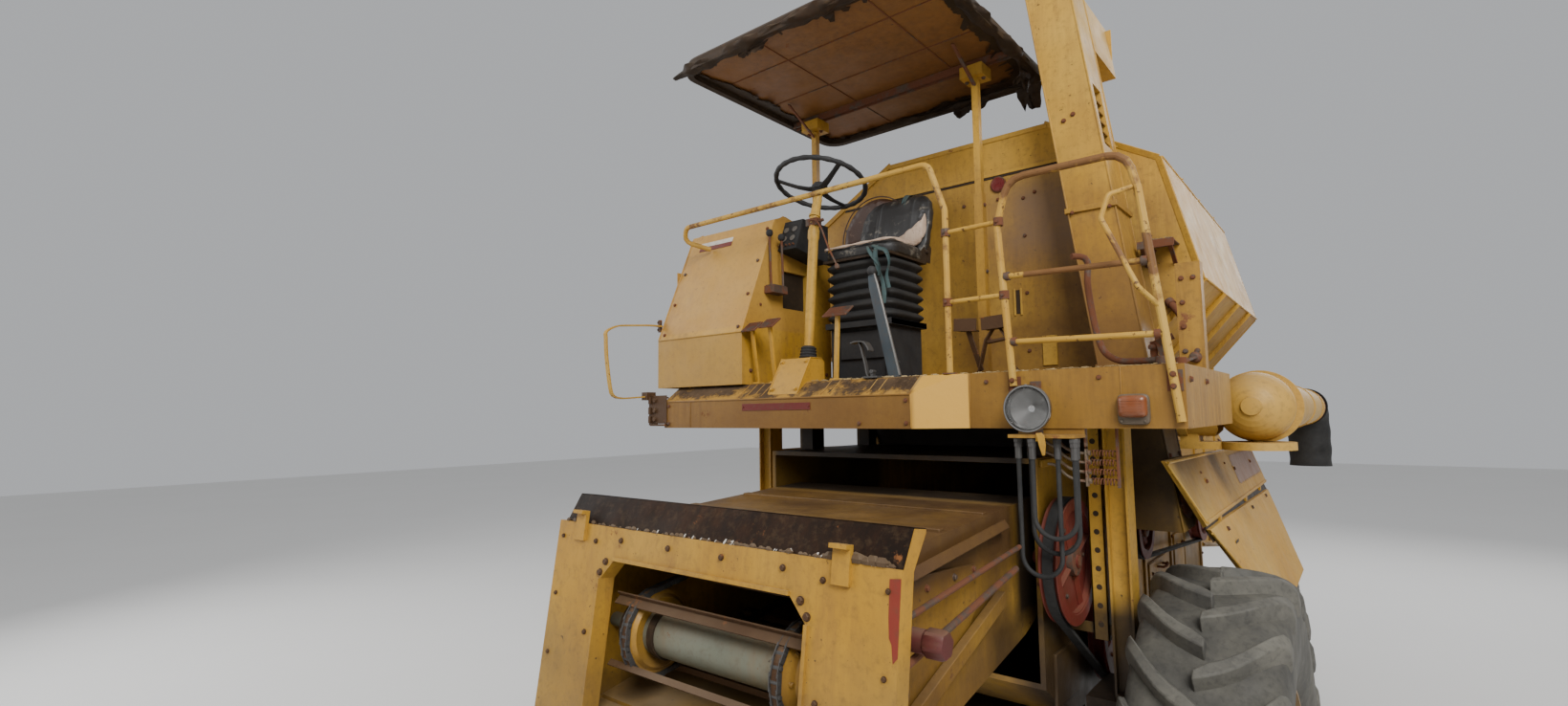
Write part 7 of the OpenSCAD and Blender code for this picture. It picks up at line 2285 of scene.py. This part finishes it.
def make_hood_sides():
    sides = Shape()
    fittings = Shape()
    for s in (-1, 1):
        x = s * 0.66
        # Long pressed beads
        for ya, yb, z in ((3.26, 3.64, 1.72), (3.26, 3.64, 1.52), (3.76, 4.14, 1.6), (3.76, 4.14, 1.4),
                (4.26, 4.58, 1.4)):
            sides.tube([(x, ya, z), (x, yb, z)], 0.009, 10)
        # Bolted doors with their folded rims
        for ya, yb, za, zb in ((3.27, 3.63, 1.2, 1.44), (3.77, 4.13, 1.12, 1.3)):
            sides.box((min(x, x + s * 0.0065), ya, za), (max(x, x + s * 0.0065), yb, zb))
            for z in (za, zb):
                sides.tube([(x + s * 0.006, ya, z), (x + s * 0.006, yb, z)], 0.0045, 8)
            for y in (ya, yb):
                sides.tube([(x + s * 0.006, y, za), (x + s * 0.006, y, zb)], 0.0045, 8)
            for y in (ya + 0.04, yb - 0.04):
                for z in (za + 0.04, zb - 0.04):
                    fittings.bolt((x + s * 0.007, y, z), (s, 0, 0), 0.008)
            y, z = (ya + yb) / 2, (za + zb) / 2
            fittings.tube([(x + s * 0.006, y - 0.05, z), (x + s * 0.034, y - 0.045, z),
                    (x + s * 0.034, y + 0.045, z), (x + s * 0.006, y + 0.05, z)], 0.0055, 8)
        # Hinge rolls under the hood's top edge
        for y in (2.98, 3.45, 3.92):
            fittings.bar((s * 0.6625, y - 0.045, 1.936 if y < 3.8 else 1.885),
                    (s * 0.6625, y + 0.045, 1.936 if y < 3.8 else 1.872), 0.009, 12)
    # Rear edge: folded flange, hinge and grab rail
    sides.tube([(-0.655, 4.676, 1.482), (0.655, 4.676, 1.482)], 0.009, 10)
    for x in (-0.36, 0.36):
        fittings.bar((x - 0.05, 4.5085, 1.736), (x + 0.05, 4.5085, 1.736), 0.01, 12)
    fittings.tube(smooth_path([(-0.2, 4.56, 1.662), (-0.2, 4.595, 1.69), (-0.1, 4.6, 1.694),
            (0.1, 4.6, 1.694), (0.2, 4.595, 1.69), (0.2, 4.56, 1.662)], 0.02), 0.009, 10)
    # Cross ribs on the hood's roof
    for y in (3.02, 3.56, 3.8):
        sides.box((-0.62, y - 0.015, 1.9385), (0.62, y + 0.015, 1.9505))
    for t in (0.25, 0.6, 0.92):
        y, z = 3.85 + 0.65 * t, 1.94 - 0.21 * t
        sides.strut((-0.62, y, z + 0.003), (0.62, y, z + 0.003), 0.012, 0.03)
    sides.piece("straw_hood_pressings", "chassis", "yellow_low", smooth=40, bevel=0.0008)
    fittings.piece("straw_hood_fittings", "chassis", "rusty_steel", smooth=40)


# Torn cover of the canopy


def crumpled(path, radius, wobble, sides=14, flat=0.6):
    """A rolled, crumpled strip along a path."""
    path = smooth_path(path, 0.018)
    phase = [random.uniform(0, 6.28) for _ in range(6)]
    rows = []
    for i, p in enumerate(path):
        along = heading(path, i)
        side = along.cross(Vector(UP)).normalized()
        end = min(1.0, 0.35 + 6.0 * min(i, len(path) - 1 - i) / len(path))
        size = radius * end * (1 + 0.22 * math.sin(0.31 * i + phase[0])
                + 0.15 * math.sin(0.83 * i + phase[1]))
        row = []
        for a in turns(sides):
            r = size * (1 + wobble * math.sin(3 * a + 0.45 * i + phase[2])
                    + 0.6 * wobble * math.sin(5 * a - 0.7 * i + phase[3]))
            row.append(p + r * math.cos(a) * side + flat * r * math.sin(a) * Vector(UP))
        rows.append(row)
    return rows


def flap(corner, edge, fall, rows_n=9, curl=0.03):
    """A torn flap that hangs from an edge, with a ragged foot."""
    corner, edge, fall = Vector(corner), Vector(edge), Vector(fall)
    out = edge.cross(fall).normalized()
    front = []
    tears = [random.uniform(0.55, 1.0) for _ in range(12)]
    for j in range(rows_n):
        t = j / (rows_n - 1)
        row = []
        for i in range(12):
            u = i / 11
            row.append(corner + u * edge * (1 - 0.25 * t) + t * tears[i] * fall
                    + (curl * t * t * math.sin(5 * u + 1) + 0.006 * math.sin(9 * t + 7 * u)) * out)
        front.append(row)
    return front, [[p + 0.0016 * out for p in row] for row in front]


def make_torn_cover():
    rolls = (
        ("canopy_roll_front", [(-1.085, -0.6, 3.925), (-0.99, -0.612, 3.922), (-0.7, -0.622, 3.918),
            (-0.3, -0.628, 3.922), (0.05, -0.625, 3.916), (0.28, -0.618, 3.92), (0.375, -0.59, 3.924)],
            0.034),
        ("canopy_roll_side", [(0.402, -0.56, 3.924), (0.408, -0.35, 3.918), (0.404, -0.1, 3.922),
            (0.41, 0.16, 3.916), (0.404, 0.38, 3.92), (0.39, 0.55, 3.91)], 0.032),
        ("canopy_roll_rear", [(0.3, 0.69, 3.914), (0.05, 0.696, 3.92), (-0.22, 0.69, 3.912),
            (-0.46, 0.694, 3.918)], 0.022),
    )
    for name, path, radius in rolls:
        roll = Shape()
        roll.rows(crumpled(path, radius, 0.16))
        piece = roll.piece(name, "chassis", "torn", smooth=70)
    for number, (corner, edge, fall) in enumerate((
        ((0.26, 0.69, 3.905), (0.15, -0.02, 0.0), (0.02, 0.03, -0.135)),
        ((0.395, 0.43, 3.905), (-0.01, 0.17, 0.0), (-0.03, 0.01, -0.095)),
        ((-0.12, 0.7, 3.905), (0.24, -0.01, 0.0), (0.01, 0.01, -0.055)),
        ((-0.62, -0.612, 3.902), (0.2, 0.0, 0.0), (0.0, 0.02, -0.03)),
    )):
        torn = Shape()
        front, rear = flap(corner, edge, fall)
        torn.rows([near + far[::-1] for near, far in zip(front, rear)])
        piece = torn.piece(f"canopy_flap_{number + 1}", "chassis", "torn", smooth=70)


DECK_END = -1.195


def make_corner_guard():
    """Flat bar bent into a guard in front of the deck's right corner, its plates, and a clip."""
    guard = Shape()
    path = smooth_path([(-1.33, -0.478, 2.632), (-1.33, -0.56, 2.63), (-1.33, -0.7, 2.618),
            (-1.33, -0.779, 2.607), (-1.33, -0.845, 2.575), (-1.33, -0.848, 2.54), (-1.33, -0.835, 2.42),
            (-1.33, -0.82, 2.29), (-1.33, -0.8, 2.246), (-1.33, -0.745, 2.234), (-1.33, -0.64, 2.24),
            (-1.33, -0.56, 2.246)], 0.02)
    rows = []
    for k, p in enumerate(path):
        along = heading(path, k)
        across = Vector((0, -along.z, along.y)) * 0.004
        side = Vector((0.0125, 0, 0))
        wave = Vector((0.004 * math.sin(0.45 * k), 0, 0))
        rows.append([p + wave - side - across, p + wave + side - across, p + wave + side + across,
                p + wave - side + across])
    guard.rows(rows)
    guard.piece("corner_guard", "chassis", "rail", bevel=0.0012)
    plates = Shape()
    plates.box((-1.346, -0.6, 2.225), (-1.3015, -0.54, 2.2675))
    plates.box((-1.316, -0.5752, 2.092), (-1.295, -0.53, 2.25))
    plates.box((-1.3, -0.5706, 2.11), (DECK_END - 0.0005, -0.54, 2.118))
    plates.box((-1.3, -0.5706, 2.232), (DECK_END - 0.0005, -0.54, 2.24))
    plates.box((-1.2995, -0.5755, 2.1), (DECK_END + 0.02, -0.5706, 2.248))
    plates.box((-1.29, -0.59, 2.088), (DECK_END + 0.025, -0.5706, 2.098))
    for z in (2.222, 2.168, 2.122):
        plates.bar((-1.2995, -0.583, z + 0.018), (-1.2995, -0.583, z - 0.018), 0.008, 12)
        plates.bolt((-1.264, -0.5757, z), FORWARD, 0.012)
    plates.box((-1.349, -0.486, 2.6), (-1.3305, -0.472, 2.668))
    plates.bolts((-1.3495, -0.479, 2.615), (-1.3495, -0.479, 2.655), 2, RIGHT, 0.008)
    plates.piece("corner_guard_plates", "chassis", "dark_rust", bevel=0.0015)
    clip = Shape()
    tongue = [(0.742, -0.5385, 2.034), (0.75, -0.546, 2.062), (0.757, -0.548, 2.052), (0.762, -0.548, 2.02),
            (0.764, -0.544, 1.985)]
    rows = []
    for k, (x, y, z) in enumerate(tongue):
        half = (0.006, 0.01, 0.013, 0.012, 0.005)[k]
        rows.append([(x - half, y, z), (x + half, y - 0.002, z + 0.002), (x + half, y + 0.002, z + 0.004),
                (x - half, y + 0.004, z + 0.002)])
    clip.rows(rows)
    clip.piece("hose_clip", "chassis", "yellow", bevel=0.0006)


# Materials of the CAD nodes, by look
NODE_LOOKS = {
    "yellow": (
        "grain_tank grain_elevator engine_hood console steering_column "
        "canopy_posts straw_hood shield_left shield_right"
    ),
    "yellow_low": (
        "body sieve_box frame feeder_house feeder_frame front_rim_left front_rim_right "
        "rear_rim_left rear_rim_right"
    ),
    "deck": "platform",
    "dome": "unload_elbow unload_tube",
    "rail": "guard_rails",
    "canopy": "canopy",
    "soot": "front_axle rear_axle lift_barrels knuckle_left knuckle_right",
    "iron": "engine controls",
    "steel": "feeder_drum lift_rods tie_rod",
    "red": "drive_pulleys",
    "dark_rust": "feeder_chain",
    "plastic": "steering_wheel seat_base",
    "rubber": "seat_bellows unload_spout hoses drive_belts",
    "leather": "seat_cushion",
    "amber": "lamps",
    "tyre": "front_tyre_left front_tyre_right rear_tyre_left rear_tyre_right",
}


def paint_nodes():
    for look, names in NODE_LOOKS.items():
        for name in names.split():
            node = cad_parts[name]
            node.data.materials.clear()
            node.data.materials.append(MATERIALS[look])


def make_stage():
    ground = cad_box[0][2] - 0.001
    bpy.ops.mesh.primitive_plane_add(size=60, location=(0, 0, ground))
    floor = bpy.context.object
    floor.name = "studio_floor"
    n = Nodes("pale_floor")
    n.surface(n.mix(n.noise(0.6, 3), (0.74, 0.73, 0.71), (0.78, 0.77, 0.75)), 0.75)
    floor.data.materials.append(n.material)
    world = bpy.data.worlds.new("studio")
    bpy.context.scene.world = world
    world.use_nodes = True
    world.node_tree.nodes["Background"].inputs[0].default_value = (0.88, 0.9, 0.93, 1)
    world.node_tree.nodes["Background"].inputs[1].default_value = 0.54
    for name, place, power, size in (
        ("key", (5.5, -7.0, 7.5), 1050, 4.5),
        ("fill", (-7.5, -5.0, 5.0), 355, 6.0),
        ("back", (3.0, 8.0, 6.5), 300, 6.0),
    ):
        light = bpy.data.lights.new(name, "AREA")
        light.energy = power
        light.size = size
        lamp = bpy.data.objects.new(name, light)
        lamp.location = place
        lamp.rotation_euler = (Vector((0, 0, 1.8)) - Vector(place)).to_track_quat("-Z", "Y").to_euler()
        bpy.context.scene.collection.objects.link(lamp)


random.seed(7)
make_camera()
make_materials()
make_hoses()
paint_nodes()
make_tyres()
make_wheel_fittings()
seat_pieces = make_seat()
make_bellows()
make_steering_wheel()
make_feeder_frame()
make_feeder_drum()
make_platform()
make_pedals()
make_console()
roof = make_canopy()
make_tank()
make_elevator()
make_rail_fittings()
make_lamps()
make_pulley_fittings()
make_side_details()
make_shield_details()
make_body_details()
make_hood_details()
make_unloader_details()
make_spout()
make_seat_extras()
make_torn_cover()
make_ledge()
make_lower_details()
make_hood_sides()
make_corner_guard()
make_stage()
